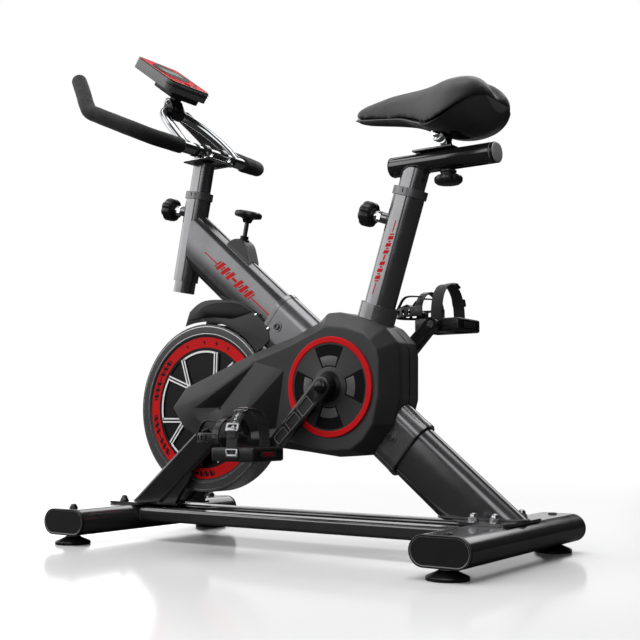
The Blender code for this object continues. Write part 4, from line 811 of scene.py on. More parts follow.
STAB_WALL = 0.0025
for end, x in (("front", -STAB_X), ("rear", STAB_X)):
    half = STAB_LEN / 2 - CAP_FLANGE - GAP
    t = bar_between(
        f"{end}_stabilizer_skin", (x, -half, STAB_Z), (x, half, STAB_Z), (1, 0, 0), STAB_W, STAB_H, steps=32,
        inner=(STAB_W - 2 * STAB_WALL, STAB_H - 2 * STAB_WALL),
    )
    t = cut(t, *[rod(f"{end}_hole{s}", (x, s * FOOT_Y, -0.01), (x, s * FOOT_Y, 0.1), 0.0056, 24) for s in (-1, 1)])
    put(shade(t, 30, 0.0006, 2, 50), "frame", M["paint"], f"{end}_stabilizer")
    for hand, s in (("left", -1), ("right", 1)):
        y1 = s * STAB_LEN / 2
        cap = bar_between(
            f"{end}_{hand}_cap_skin", (x, s * (STAB_LEN / 2 - CAP_FLANGE), STAB_Z), (x, y1, STAB_Z), (1, 0, 0), STAB_W, STAB_H, steps=32
        )
        bm = bmesh.new()
        bm.from_mesh(cap.data)
        big = [f for f in bm.faces if f.calc_area() > 0.004 and (cap.matrix_world.to_3x3() @ f.normal).y * s > 0.9]
        if big:
            bmesh.ops.inset_region(bm, faces=big, thickness=0.0030, depth=0.0)
            bmesh.ops.inset_region(bm, faces=big, thickness=0.0007, depth=-0.0009)
        bm.to_mesh(cap.data)
        bm.free()
        cap = soften(cap, 0.0014, 4, 50)
        skin(cap, M["plastic"])
        lo_y = STAB_LEN / 2 - CAP_FLANGE + 0.0030
        m3 = cap.matrix_world.to_3x3()
        # The rim band round the cap's end face gets the lighter grey: painted highlight.
        band_of(
            cap, M["cap_rim"],
            lambda c, n, m3=m3, w=cap.matrix_world.copy(): 0.15 < abs((m3 @ n).y) < 0.97 and abs((w @ c).y) > lo_y,
        )
        plug = bar_between(
            f"{end}_{hand}_cap_plug", (x, s * (STAB_LEN / 2 - 0.021), STAB_Z), (x, s * (STAB_LEN / 2 - CAP_FLANGE), STAB_Z),
            (1, 0, 0), STAB_W - 2 * STAB_WALL - 4 * GAP, STAB_H - 2 * STAB_WALL - 4 * GAP, steps=24,
        )
        skin(plug, M["plastic"])
        cap = merge(f"{end}_{hand}_cap", [cap, plug])
        put(shade(cap, 40), "frame", None, f"{end}_{hand}_end_cap")

        top, low = STAB_Z + STAB_H / 2, STAB_Z - STAB_H / 2
        fy = s * FOOT_Y
        nut = lathe(
            f"{end}_{hand}_foot_dome",
            [(0, top + 0.0095), (0.0022, top + 0.0093), (0.0042, top + 0.0086), (0.0056, top + 0.0075), (0.0062, top + 0.0062),
             (0.0064, top + 0.0052), (0.0064, top + 0.0046), (0.0084, top + 0.0044, True), (0.0085, top + 0.0040, True),
             (0.0085, top + 0.0014, True), (0.0082, top + 0.0011, True), (0.0085, top + 0.0011), (0.0085, top + GAP),
             (0.0050, top + GAP)] if x < 0 else
            [(0, top + 0.0030), (0.0050, top + 0.0029), (0.0072, top + 0.0025), (0.0084, top + 0.0016), (0.0085, top + 0.0010),
             (0.0085, top + GAP), (0.0050, top + GAP)],
            (x, fy, 0), (0, 0, 1), 48,
        )
        skin(nut, M["zinc_dark"] if x < 0 else M["plastic_gloss"])
        screw = [(0.005, top + 0.0005)]
        z = top - 0.001
        while z > low - 0.0028:
            screw += [(0.00500, z), (0.00455, z - 0.0004)]
            z -= 0.0009
        screw += [(0.005, low - 0.003), (0, low - 0.003)]
        stem = lathe(f"{end}_{hand}_foot_stem", [(0, top + 0.0005)] + screw, (x, fy, 0), (0, 0, 1), 24)
        skin(stem, M["zinc"])
        lock = lathe(
            f"{end}_{hand}_foot_lock",
            [(0.0052, low - 0.0008), (0.0088, low - 0.0008, True), (0.0092, low - 0.0012, True), (0.0092, low - 0.0024, True),
             (0.0124, low - 0.0027), (0.0124, low - 0.0033), (0.0052, low - 0.0033)],
            (x, fy, 0), (0, 0, 1), 48,
        )
        skin(lock, M["chrome"])
        cone = lathe(
            f"{end}_{hand}_foot_cone",
            [(0, low - 0.0026), (0.0100, low - 0.0031), (0.0135, low - 0.0034), (0.0155, low - 0.0044), (0.0180, low - 0.0060),
             (0.0245, 0.0104), (FOOT_R - 0.0035, 0.0076), (FOOT_R - 0.0010, 0.0062), (FOOT_R, 0.0050), (FOOT_R, 0.0036),
             (FOOT_R - 0.0008, 0.0032), (FOOT_R - 0.0008, 0.0026), (FOOT_R, 0.0022), (FOOT_R, 0.0010), (FOOT_R - 0.0010, 0.0002),
             (FOOT_R - 0.002, 0.0), (0, 0.0)],
            (x, fy, 0), (0, 0, 1), 72,
        )
        skin(cone, M["rubber_gloss"])
        foot = merge(f"{end}_{hand}_foot", [nut, stem, lock, cone])
        put(shade(foot, 28), f"{end}_{hand}_foot", None, f"{end}_{hand}_leveling_foot")

for hand, s in (("left", -1), ("right", 1)):
    x1 = STAB_X - STAB_W / 2 - GAP
    mid = (RAIL_IN + RAIL_OUT) / 2
    r = prism(
        f"{hand}_rail", [rounded(RAIL_OUT - RAIL_IN - 2 * t, RAIL_Z1 - RAIL_Z0 - 2 * t, 0.0065 - t, 10) for t in (0.0, 0.0025)],
        2 * x1, axes((0, s * mid, (RAIL_Z0 + RAIL_Z1) / 2), (1, 0, 0), (0, 1, 0)),
    )
    put(shade(r, 30), "frame", M["paint"], f"{hand}_base_rail")
    for x, e in ((-x1, -1), (x1, 1)):
        bead = []
        for u, v in rounded(RAIL_OUT - RAIL_IN - 0.001, RAIL_Z1 - RAIL_Z0 - 0.001, 0.0062, 8):
            bead.append((x - e * 0.0006, s * mid + u, (RAIL_Z0 + RAIL_Z1) / 2 + v))
        bead.append(bead[0])
        w = sweep(f"{hand}_rail_weld_{'front' if e < 0 else 'rear'}", bead, circle(0.0017, 8))
        put(shade(w, 60), "frame", M["paint_dark"])

# ================================================================ spine
BEAM_BORE = (BEAM_H - 0.005, BEAM_W - 0.005)
BRAKE_TOP = Vector((-0.1490, 0, 0.6640))
BRAKE_FOOT = Vector((-0.1962, 0, 0.4400))
BRAKE = (BRAKE_TOP - BRAKE_FOOT).normalized()
NODE_X0, NODE_X1 = -0.072, 0.243
BEAM_END, STRUT_START = 0.012, 0.172

beam = bar_between("main_beam_skin", on_spine(-0.312), on_spine(BEAM_END), SPINE_N, BEAM_H, BEAM_W, steps=28, inner=BEAM_BORE, crown=0.0016)
beam = cut(
    beam,
    bar_between("c0", on_head(0.50), on_head(0.80), HEAD_F, HEAD_L + 2 * GAP + 0.0004, HEAD_S + 2 * GAP + 0.0004, steps=28),
    block("c1", (0.12, 0.08, 0.34), axes(on_head(0.65) + HEAD_F * 0.052, HEAD, HEAD_F)),
    rod("c2", BRAKE_FOOT, BRAKE_TOP, 0.0068, 24),
)
put(shade(beam, 30), "frame", M["paint"], "main_beam")

CUFF_TOP, SLEEVE_LOW = 0.464, 0.3860
node = bar_between("node_core", on_spine(NODE_X0), on_spine(NODE_X1), SPINE_N, NODE_H, NODE_W, steps=28)
for tag, x in (("front", NODE_X0 + 0.0045), ("rear", NODE_X1 - 0.0045)):
    lip = bar_between(f"node_lip_{tag}", on_spine(x) - SPINE * 0.0044, on_spine(x) + SPINE * 0.0044, SPINE_N, NODE_H + 0.0016, NODE_W + 0.0016, steps=28)
    node = join(node, lip)
shell = rod("bb_shell", (CRANK.x, -0.034, CRANK.z), (CRANK.x, 0.034, CRANK.z), 0.0245, 48)
cuff = bar_between("cuff", on_seat(0.330), on_seat(CUFF_TOP), SEAT_F, SEAT_L + 0.013, SEAT_S + 0.013, steps=28)
node = join(node, cuff, shell)
bosses = []
for s in (-1, 1):
    for tag, x in (("upper", -0.048), ("lower", 0.214)):
        c = on_spine(x)
        bosses.append(rod(f"boss_{tag}_{s}", c + Vector((0, s * 0.027, 0)), c + Vector((0, s * 0.0322, 0)), 0.0105, 32))
node = join(node, *bosses)
node = cut(
    node,
    bar_between("p0", on_spine(NODE_X0 - 0.03), on_spine(BEAM_END + 0.0004), SPINE_N, BEAM_H + 2 * GAP, BEAM_W + 2 * GAP, steps=28),
    bar_between("p1", on_spine(STRUT_START - 0.0004), on_spine(NODE_X1 + 0.03), SPINE_N, BEAM_H + 2 * GAP, BEAM_W + 2 * GAP, steps=28),
    bar_between("p2", on_seat(SLEEVE_LOW - 0.0006), on_seat(CUFF_TOP + 0.03), SEAT_F, SEAT_L + 2 * GAP, SEAT_S + 2 * GAP, steps=28),
    rod("p3", (CRANK.x, -0.06, CRANK.z), (CRANK.x, 0.06, CRANK.z), 0.0190, 48),
)
# The centre node uses the lighter paint copy: painted highlight.
put(shade(node, 30, 0.0012, 3, 40), "frame", M["paint_mid"], "center_frame_node")


def socket_screw(name, centre, axis, r, depth, head=0.0042, mat_head=None):
    """A socket-head screw: a bevelled cylinder with a hexagonal socket."""
    axis = Vector(axis).normalized()
    prof = [
        (0, head - depth), (r * 0.50, head - depth, True), (r * 0.52, head - 0.0004, True), (r * 0.56, head, False), (r * 0.86, head),
        (r * 0.97, head - 0.0004), (r, head - 0.0011), (r, 0.0), (0, 0.0),
    ]
    o = lathe(name, prof, centre, axis, 48)
    skin(o, mat_head or M["zinc_dark"])
    return o


def dome_nut(name, centre, axis, r=0.0085, h=0.011, mat=None):
    axis = Vector(axis).normalized()
    prof = [
        (0, h), (r * 0.25, h * 0.985), (r * 0.48, h * 0.93), (r * 0.64, h * 0.82), (r * 0.72, h * 0.68), (r * 0.735, h * 0.52),
        (r * 0.735, h * 0.47), (r * 0.98, h * 0.45, True), (r, h * 0.41, True), (r, h * 0.12, True), (r * 0.97, h * 0.09, True),
        (r * 1.12, h * 0.085), (r * 1.12, 0.0), (0, 0.0),
    ]
    o = lathe(name, prof, centre, axis, 48)
    skin(o, mat or M["chrome"])
    return o


bolts = []
for s in (-1, 1):
    for tag, x in (("upper", -0.048), ("lower", 0.214)):
        c = on_spine(x)
        bolts.append(socket_screw(f"sb_{tag}_{s}", c + Vector((0, s * 0.0318, 0)), (0, s, 0), 0.0068, 0.0030, 0.0032))
put(shade(merge("socket_bolts", bolts), 28), "frame", None)

PLATE_Z0, PLATE_T = STAB_Z + STAB_H / 2 + GAP, 0.005
strut = bar_between("strut_core", on_spine(STRUT_START), on_spine(0.428), SPINE_N, BEAM_H, BEAM_W, steps=28, inner=BEAM_BORE, crown=0.0016)
strut = cut(strut, block("sf", (0.4, 0.2, 0.2), at(0.42, 0, PLATE_Z0 + 0.001 - 0.1)))
plate = prism("sp", [rounded(0.098, 0.150, 0.014, 8)], PLATE_T, at(STAB_X - 0.009, 0, PLATE_Z0 + PLATE_T / 2))
strut = join(strut, plate)
put(shade(strut, 30, 0.0006, 2, 45), "frame", M["paint"], "rear_strut")
nuts = []
for i, (px, py) in enumerate(((0.4300, -0.055), (0.4300, 0.055), (0.390, -0.055), (0.390, 0.055))):
    nuts.append(dome_nut(f"rn{i}", (px, py, PLATE_Z0 + PLATE_T), (0, 0, 1), 0.0090, 0.0150, M["zinc"]))
put(shade(merge("rear_plate_nuts", nuts), 28), "frame", None)
# weld bead where the strut meets its plate
bead = []
hit = PLATE_Z0 + PLATE_T
for u, v in oval(BEAM_H, BEAM_W, 20):
    base = SPINE_N * u + Vector((0, 1, 0)) * v
    p0 = on_spine(0.300) + base
    k = (hit + 0.0008 - p0.z) / SPINE.z
    bead.append(p0 + SPINE * k)
bead.append(bead[0])
put(shade(sweep("strut_weld", bead, circle(0.0026, 10)), 60), "frame", M["paint_dark"])

# ================================================================ front fork
LEG_A, LEG_B = Vector((-0.3795, 0, 0.0730)), Vector((-0.0335, 0, 0.3620))
LEG_DIR = (LEG_B - LEG_A).normalized()
LEG_N = Vector((-LEG_DIR.z, 0, LEG_DIR.x))
LEG_MID = (LEG_IN + LEG_OUT) / 2
fork = prism("fork_plate", [rounded(0.098, 0.160, 0.014, 8)], PLATE_T, at(-STAB_X + 0.009, 0, PLATE_Z0 + PLATE_T / 2))
wx, wz = WHEEL.x, WHEEL.z
for s in (-1, 1):
    off = Vector((0, s * LEG_MID, 0))
    leg = prism(
        f"leg{s}", [rounded(0.056, LEG_OUT - LEG_IN, 0.0080, 10)], (LEG_B - LEG_A).length + 0.03,
        axes((LEG_A + LEG_B) / 2 + off - LEG_DIR * 0.015, LEG_DIR, LEG_N),
    )
    leg = cut(leg, block(f"lf{s}", (0.3, 0.1, 0.2), at(-0.40, s * LEG_MID, PLATE_Z0 + 0.001 - 0.1)))
    drop = prism(
        f"drop{s}",
        [[(wx - 0.020, wz + 0.004), (wx - 0.0185, wz + 0.012), (wx - 0.013, wz + 0.0185), (wx - 0.006, wz + 0.0218), (wx + 0.001, wz + 0.022),
          (wx + 0.009, wz + 0.0205), (wx + 0.016, wz + 0.017), (-0.110, 0.305), (-0.150, 0.240), (-0.230, 0.190), (-0.252, 0.205)]],
        0.006, side(s * (LEG_IN + 0.004)),
    )
    gusset = prism(
        f"gusset{s}",
        [[(-0.352, PLATE_Z0 + 0.002), (-0.300, PLATE_Z0 + 0.002), (-0.292, 0.086), (-0.280, 0.103), (-0.264, 0.120), (-0.252, 0.140), (-0.300, 0.135)]],
        0.010, side(s * LEG_MID),
    )
    tab = prism(
        f"tab{s}", [[(-0.372, PLATE_Z0 + 0.0005), (-0.290, PLATE_Z0 + 0.0005), (-0.290, PLATE_Z0 + PLATE_T), (-0.372, PLATE_Z0 + PLATE_T)]],
        LEG_OUT - LEG_IN, side(s * LEG_MID),
    )
    fork = join(fork, leg, drop, tab, gusset)
fork = cut(fork, rod("fh", (wx, -0.08, wz), (wx, 0.08, wz), 0.0088, 32))
# The fork uses the darker paint copy: painted shade.
put(shade(fork, 30, 0.0006, 2, 40), "frame", M["paint_deep"], "front_fork")
nuts = [dome_nut(f"fn{i}", (-0.4300, py, PLATE_Z0 + PLATE_T), (0, 0, 1), 0.0088, 0.0125, M["zinc_dark"]) for i, py in enumerate((-0.062, 0.0, 0.062))]
put(shade(merge("front_plate_nuts", nuts), 28), "frame", None)

# ================================================================ sleeves, collars, pins
HEAD_Z0, HEAD_Z1, SEAT_Z1 = 0.5450, 0.7200, 0.6640
PIN_HEAD, PIN_SEAT = on_head(0.6935), on_seat(0.6180)
HPOST_L, HPOST_S = 0.0480, 0.0380
SPOST_L, SPOST_S = 0.0530, 0.0410


def sleeve(name, node, lo, hi, long_dir, long, short, pin):
    t = bar_between(name, lo, hi, long_dir, long, short, steps=28, inner=(long - 2 * SLEEVE_WALL, short - 2 * SLEEVE_WALL))
    boss = rod(name + "_boss", pin + long_dir * (long / 2 - 0.0010), pin + long_dir * (long / 2 + 0.0125), 0.0110, 40)
    t = join(t, boss)
    t = cut(t, rod(name + "_bore", pin + long_dir * 0.020, pin + long_dir * 0.06, 0.0046, 24))
    # The sleeves use the lighter paint copy: painted reflection.
    put(shade(t, 30, 0.0005, 2, 60), "frame", M["paint_light"], node)


sleeve("head_sleeve_skin", "head_sleeve", on_head(HEAD_Z0), on_head(HEAD_Z1), HEAD_F, HEAD_L, HEAD_S, PIN_HEAD)
sleeve("seat_sleeve_skin", "seat_sleeve", on_seat(SLEEVE_LOW), on_seat(SEAT_Z1), SEAT_F, SEAT_L, SEAT_S, PIN_SEAT)


def collar(name, node, line, z, long, short, pl, ps, long_dir, direction):
    p = line(z)
    lip = bar_between(name, p + direction * GAP, p + direction * 0.0160, long_dir, long + 0.006, short + 0.006, steps=28, inner=(pl + 0.0006, ps + 0.0006))
    skirt = bar_between(
        name + "_skirt", p - direction * 0.030, p + direction * 0.006, long_dir, long - 2 * SLEEVE_WALL - 0.0006,
        short - 2 * SLEEVE_WALL - 0.0006, steps=28, inner=(pl + 0.0006, ps + 0.0006),
    )
    lip = join(lip, skirt)
    slot_m = axes(p + direction * 0.009 + Vector((0, -(short / 2 + 0.003), 0)), long_dir, (0, 1, 0))
    lip = cut(lip, block(name + "_slit", (0.006, 0.0075, 0.0022), axes(p + direction * 0.0095 + Vector((0, -(short / 2 + 0.002), 0)), long_dir, (0, 1, 0))))
    # The collars take the lighter grey: painted reflection.
    put(shade(lip, 30, 0.0014, 3, 45), "frame", M["collar"], node)


collar("head_collar_skin", "head_collar", on_head, HEAD_Z1, HEAD_L, HEAD_S, HPOST_L, HPOST_S, HEAD_F, HEAD)
collar("seat_collar_skin", "seat_collar", on_seat, SEAT_Z1, SEAT_L, SEAT_S, SPOST_L, SPOST_S, SEAT_F, SEAT)


def fluted(count, depth, rows):
    def wave(a, k, h):
        if k not in rows:
            return 1.0
        c = 0.5 + 0.5 * math.cos(count * a)
        return 1.0 - depth * (c ** 2.2)
    return wave


def pin_knob(name, body, node, base, outward):
    body_prof = [
        (0, 0.0600), (0.0080, 0.0600), (0.0150, 0.0597), (0.0205, 0.0584), (0.0235, 0.0562), (0.0250, 0.0530), (0.0255, 0.0500),
        (0.0253, 0.0450), (0.0247, 0.0400), (0.0240, 0.0375), (0.0225, 0.0350), (0.0195, 0.0334), (0.0150, 0.0330), (0.0145, 0.0312),
        (0.0122, 0.0308), (0.0122, 0.0296), (0.0100, 0.0290), (0, 0.0290),
    ]
    grip = lathe(name + "_grip", body_prof, base, outward, 96, wave=fluted(8, 0.085, range(3, 12)))
    skin(grip, M["knob"])
    neck = lathe(
        name + "_neck",
        [(0, 0.0300), (0.0108, 0.0300), (0.0112, 0.0290), (0.0112, 0.0262), (0.0102, 0.0256), (0.0096, 0.0240), (0.0100, 0.0222, True),
         (0.0108, 0.0218, True), (0.0108, 0.0146, True), (0.0100, 0.0140, True), (0.0043, 0.0138), (0.0043, 0.0), (0.0032, -0.0005), (0, -0.0005)],
        base, outward, 48,
    )
    skin(neck, M["chrome"])
    put(shade(merge(name, [grip, neck]), 35), body, None, node)


pin_knob("head_pin_grip", "head_pin", "head_pin_knob", PIN_HEAD + HEAD_F * HEAD_L / 2, HEAD_F)
pin_knob("seat_pin_grip", "seat_pin", "seat_pin_knob", PIN_SEAT + SEAT_F * SEAT_L / 2, SEAT_F)


# ================================================================ marks on beam and seat sleeve
def plate_on_side(name, loop, y, mat, body="frame", thick=0.0003, sgn=-1):
    """A thin printed shape on a face square to Y. loop is in world X, Z."""
    o = prism(name, [loop], thick, side(sgn * (y + thick / 2)))
    skin(o, mat)
    return o


def stroke(p, q, w):
    p, q = Vector(p), Vector(q)
    d = (q - p).normalized()
    n = Vector((-d.y, d.x)) * w / 2
    return [tuple(p + n), tuple(q + n), tuple(q - n), tuple(p - n)]


def slanted_marks(name, start, end, height, lean, pattern, y, mat, sgn):
    """A row of slanted bars that stands for a printed name: (offset, width, low, high) in shares of the row."""
    start, end = Vector(start), Vector(end)
    d = (end - start).normalized()
    n = Vector((-d.y, d.x))
    length = (end - start).length
    out = []
    for i, (o, w, lo, hi) in enumerate(pattern):
        a = start + d * (o * length)
        wv = d * (w * length)
        p0 = a + n * (height * (lo - 0.5)) + d * lean * (lo - 0.5) * height
        p1 = a + n * (height * (hi - 0.5)) + d * lean * (hi - 0.5) * height
        out.append(plate_on_side(f"{name}{i}", [tuple(p0), tuple(p0 + wv), tuple(p1 + wv), tuple(p1)], y, mat, sgn=sgn))
    return out


PATTERN = [
    (0.000, 0.030, 0.10, 0.90), (0.050, 0.075, 0.00, 1.00), (0.145, 0.030, 0.25, 0.75), (0.195, 0.075, 0.00, 1.00), (0.290, 0.030, 0.25, 0.75),
    (0.340, 0.075, 0.00, 1.00), (0.435, 0.120, 0.36, 0.64), (0.575, 0.075, 0.00, 1.00), (0.670, 0.030, 0.25, 0.75), (0.720, 0.075, 0.00, 1.00),
    (0.815, 0.030, 0.25, 0.75), (0.865, 0.075, 0.00, 1.00), (0.960, 0.030, 0.10, 0.90),
]
for s in (-1, 1):
    tag = "left" if s < 0 else "right"
    marks = [
        plate_on_side(f"bs0{tag}", stroke((-0.2432, 0.6004), (-0.2095, 0.5720), 0.0022), 0.0250, M["red_print"], sgn=s),
        plate_on_side(f"bs1{tag}", stroke((-0.1180, 0.4940), (-0.0480, 0.4370), 0.0024), 0.0250, M["red_print"], sgn=s),
    ]
    marks += slanted_marks(f"bm{tag}", (-0.2085, 0.5735), (-0.1165, 0.4955), 0.0215, 0.45, PATTERN, 0.0250, M["red_print"], s)
    put(merge(f"beam_marks_{tag}", marks), "frame", None)
    marks = [
        plate_on_side(f"ss0{tag}", stroke((0.2237, 0.6186), (0.2160, 0.5975), 0.0020), 0.0250, M["red_print"], sgn=s),
        plate_on_side(f"ss1{tag}", stroke((0.1790, 0.5040), (0.1715, 0.4830), 0.0020), 0.0250, M["red_print"], sgn=s),
    ]
    marks += slanted_marks(f"sm{tag}", (0.2150, 0.5940), (0.1795, 0.5055), 0.0105, -0.35, PATTERN, 0.0250, M["red_print"], s)
    put(merge(f"sleeve_marks_{tag}", marks), "frame", None)


# ================================================================ belt covers
CORNERS = [
    (-0.2916, 0.2722, 0.0660, -0.2295, 0.2718, 0.0545),
    (-0.2563, 0.3132, 0.0660, -0.1720, 0.3080, 0.0545),
    (-0.0787, 0.3793, 0.0640, -0.0700, 0.3640, 0.0545),
    (0.0068, 0.4072, 0.0520, 0.0160, 0.3910, 0.0420),
    (0.0579, 0.4357, 0.0340, 0.0800, 0.4165, GAP),
    (0.0765, 0.4521, 0.0340, 0.0960, 0.4232, GAP),
    (0.1042, 0.4525, 0.0340, 0.1410, 0.4175, GAP),
    (0.1603, 0.4380, 0.0340, 0.1780, 0.4060, GAP),
    (0.2039, 0.4189, 0.0340, 0.1954, 0.3928, GAP),
    (0.2314, 0.3900, 0.0340, 0.2080, 0.3740, GAP),
    (0.2355, 0.3660, 0.0340, 0.2122, 0.3558, GAP),
    (0.2345, 0.2840, 0.0340, 0.2118, 0.2926, GAP),
    (0.2197, 0.2386, 0.0340, 0.1988, 0.2388, GAP),
    (0.1917, 0.2056, 0.0340, 0.1780, 0.2112, GAP),
    (0.1700, 0.1834, 0.0340, 0.1514, 0.1931, GAP),
    (0.1036, 0.1783, 0.0340, 0.0960, 0.1900, GAP),
    (0.0300, 0.1868, 0.0340, 0.0400, 0.1985, GAP),
    (-0.0373, 0.1949, 0.0520, -0.0082, 0.2076, 0.0420),
    (-0.1795, 0.1974, 0.0640, -0.1500, 0.2120, 0.0545),
    (-0.2605, 0.2310, 0.0660, -0.2180, 0.2480, 0.0545),
]
FACE_MARKS = {
    # inner points of the face: x, z, how far they are pressed in
    "A": (-0.2260, 0.2716, 0.0000), "B": (-0.0700, 0.3590, 0.0000), "C": (-0.1600, 0.2722, 0.0042), "D": (-0.1960, 0.2560, 0.0010),
    "E": (-0.0820, 0.2711, 0.0000), "F": (0.0008, 0.3424, 0.0000), "G": (-0.0227, 0.2298, 0.0062),
}
DARK_ABC = [(-0.2260, 0.2716), (-0.0700, 0.3590), (-0.1600, 0.2722)]
DARK_EFG = [(-0.0820, 0.2711), (0.0008, 0.3424), (-0.0227, 0.2298)]


def in_triangle(x, z, tri):
    sign = []
    for i in range(3):
        (x0, z0), (x1, z1) = tri[i], tri[(i + 1) % 3]
        sign.append((x1 - x0) * (z - z0) - (z1 - z0) * (x - x0) > 0)
    return sign[0] == sign[1] == sign[2]


def cover(tag, s):
    from mathutils.geometry import delaunay_2d_cdt

    face = [(c[3], c[4]) for c in CORNERS]
    names = list(FACE_MARKS)
    pts = [Vector(p) for p in face] + [Vector(FACE_MARKS[k][:2]) for k in names]
    n = len(face)
    index = {k: n + i for i, k in enumerate(names)}
    edges = [(i, (i + 1) % n) for i in range(n)]
    for chain in ("AB", "BC", "CA", "CD", "DA", "EF", "FG", "GE", "CE"):
        edges.append((index[chain[0]], index[chain[1]]))
    out = delaunay_2d_cdt(pts, edges, [list(range(n))], 1, 1e-6)
    verts2, faces2, orig = out[0], out[2], out[3]
    bm = bmesh.new()
    seam = [bm.verts.new((c[0], s * c[5], c[1])) for c in CORNERS]
    rim = [bm.verts.new((c[0], s * c[2], c[1])) for c in CORNERS]
    made = []
    for v, o in zip(verts2, orig):
        depth = 0.0
        for i in o:
            if i >= n:
                depth = FACE_MARKS[names[i - n]][2]
        made.append(bm.verts.new((v.x, s * (COVER_FACE - depth), v.y)))
    corner_vert = {}
    for k, o in enumerate(orig):
        for i in o:
            if i < n:
                corner_vert[i] = made[k]
    ring = [corner_vert[i] for i in range(n)]
    for a, b in ((seam, rim), (rim, ring)):
        for i in range(n):
            bm.faces.new((a[i], a[(i + 1) % n], b[(i + 1) % n], b[i]))
    for f in faces2:
        try:
            bm.faces.new([made[i] for i in f])
        except ValueError:
            pass
    bmesh.ops.recalc_face_normals(bm, faces=bm.faces)
    if sum(f.normal.y * f.calc_area() for f in bm.faces) * s < 0:
        bmesh.ops.reverse_faces(bm, faces=bm.faces)
    bmesh.ops.dissolve_limit(bm, angle_limit=math.radians(0.6), verts=bm.verts, edges=bm.edges)
    mesh = bpy.data.meshes.new(tag)
    bm.to_mesh(mesh)
    bm.free()
    obj = link(tag, mesh)
    mod = obj.modifiers.new("edges", "BEVEL")
    mod.width = 0.0030
    mod.segments = 3
    mod.limit_method = "ANGLE"
    mod.angle_limit = math.radians(15)
    mod.use_clamp_overlap = True
    mod = obj.modifiers.new("wall", "SOLIDIFY")
    mod.thickness = COVER_T
    mod.offset = -1.0
    mod.use_even_offset = True
    obj = baked(obj, 0)
    lo, hi = sorted((0.0, s * 0.12))
    hole = 0.0300 if s < 0 else 0.0150
    obj = cut(
        obj,
        rod("k0", (CRANK.x, lo, CRANK.z), (CRANK.x, hi, CRANK.z), hole, 64),
        bar_between("k1", on_spine(-0.12), on_spine(0.33), SPINE_N, NODE_H + 0.0026, NODE_W + 0.0026, steps=24),
        bar_between("k2", on_seat(0.34), on_seat(0.52), SEAT_F, SEAT_L + 0.0146, SEAT_S + 0.0146, steps=24),
        rod("k3", (-0.1607, lo, 0.2714), (-0.1607, hi, 0.2714), 0.0048, 32),
    )
    skin(obj, M["grey"])
    # The pressed-in triangles of the face take the darker plastic: painted shade in the dents.
    band_of(
        obj, M["grey_dark"],
        lambda c, nrm: abs(c.y) > 0.060 and (in_triangle(c.x, c.z, DARK_ABC) or in_triangle(c.x, c.z, DARK_EFG)) and abs(nrm.y) > 0.9,
    )
    return obj


for s, tag in ((-1, "left"), (1, "right")):
    c = cover(f"{tag}_cover_shell", s)
    put(shade(c, 24, weighted=True), "frame", None, f"{tag}_belt_cover")
    sc = socket_screw(f"{tag}_cover_screw", (-0.1607, s * (COVER_FACE - 0.0075), 0.2714), (0, s, 0), 0.0044, 0.0020, 0.0026)
    put(shade(sc, 28), "frame", None)

# a soft band that closes the joint between the two shells, seen along the rear edge
path = []
for c in CORNERS[4:17]:
    path.append((c[0], 0.0, c[1]))
mid_pt = Vector((0.105, 0, 0.305))
inset = [Vector(p) + (mid_pt - Vector(p)).normalized() * 0.0022 for p in path]
rear = [p for p in inset if p.x > 0.19]
if len(rear) > 2:
    put(shade(sweep("cover_seam_band", smooth_path(rear, 4), rounded(0.0044, 0.0044, 0.001, 2), fixed_up=(0, 1, 0)), 40), "frame", M["plastic"])

# ================================================================ flywheel
W, R = WHEEL_HALF, WHEEL_R
FACE_Y = 0.0262
prof = [
    (0.0092, 0.0315), (0.0215, 0.0315), (0.0230, 0.0305), (0.0230, FACE_Y), (0.1478, FACE_Y), (0.1487, FACE_Y + 0.0004),
    (0.1500, W - 0.0012), (0.1510, W - 0.0003), (0.1525, W), (R - 0.0030, W), (R - 0.0012, W - 0.0005), (R, W - 0.0020),
    (R, -W + 0.0020), (R - 0.0012, -W + 0.0005), (R - 0.0030, -W), (0.1525, -W), (0.1510, -W + 0.0003), (0.1500, -W + 0.0012),
    (0.1487, -FACE_Y - 0.0004), (0.1478, -FACE_Y), (0.0230, -FACE_Y), (0.0230, -0.0305), (0.0215, -0.0315), (0.0092, -0.0315),
    (0.0092, -0.0212), (0.1460, -0.0212), (0.1460, 0.0212), (0.0092, 0.0212),
]
wheel = lathe("flywheel_casting", prof, WHEEL, (0, 1, 0), 160, ring=True)
skin(wheel, M["iron"], M["tread"])
for p in wheel.data.polygons:
    c = p.center
    r = math.hypot(c.x, c.y)
    if r > R - 0.0016 and abs(c.z) < W:
        p.material_index = 1


def polar(r, deg):
    a = math.radians(deg)
    return (WHEEL.x + r * math.cos(a), WHEEL.z + r * math.sin(a))


def arc_band(r0, r1, a0, a1, steps):
    outer = [polar(r1, a0 + (a1 - a0) * i / steps) for i in range(steps + 1)]
    inner = [polar(r0, a1 - (a1 - a0) * i / steps) for i in range(steps + 1)]
    return outer + inner


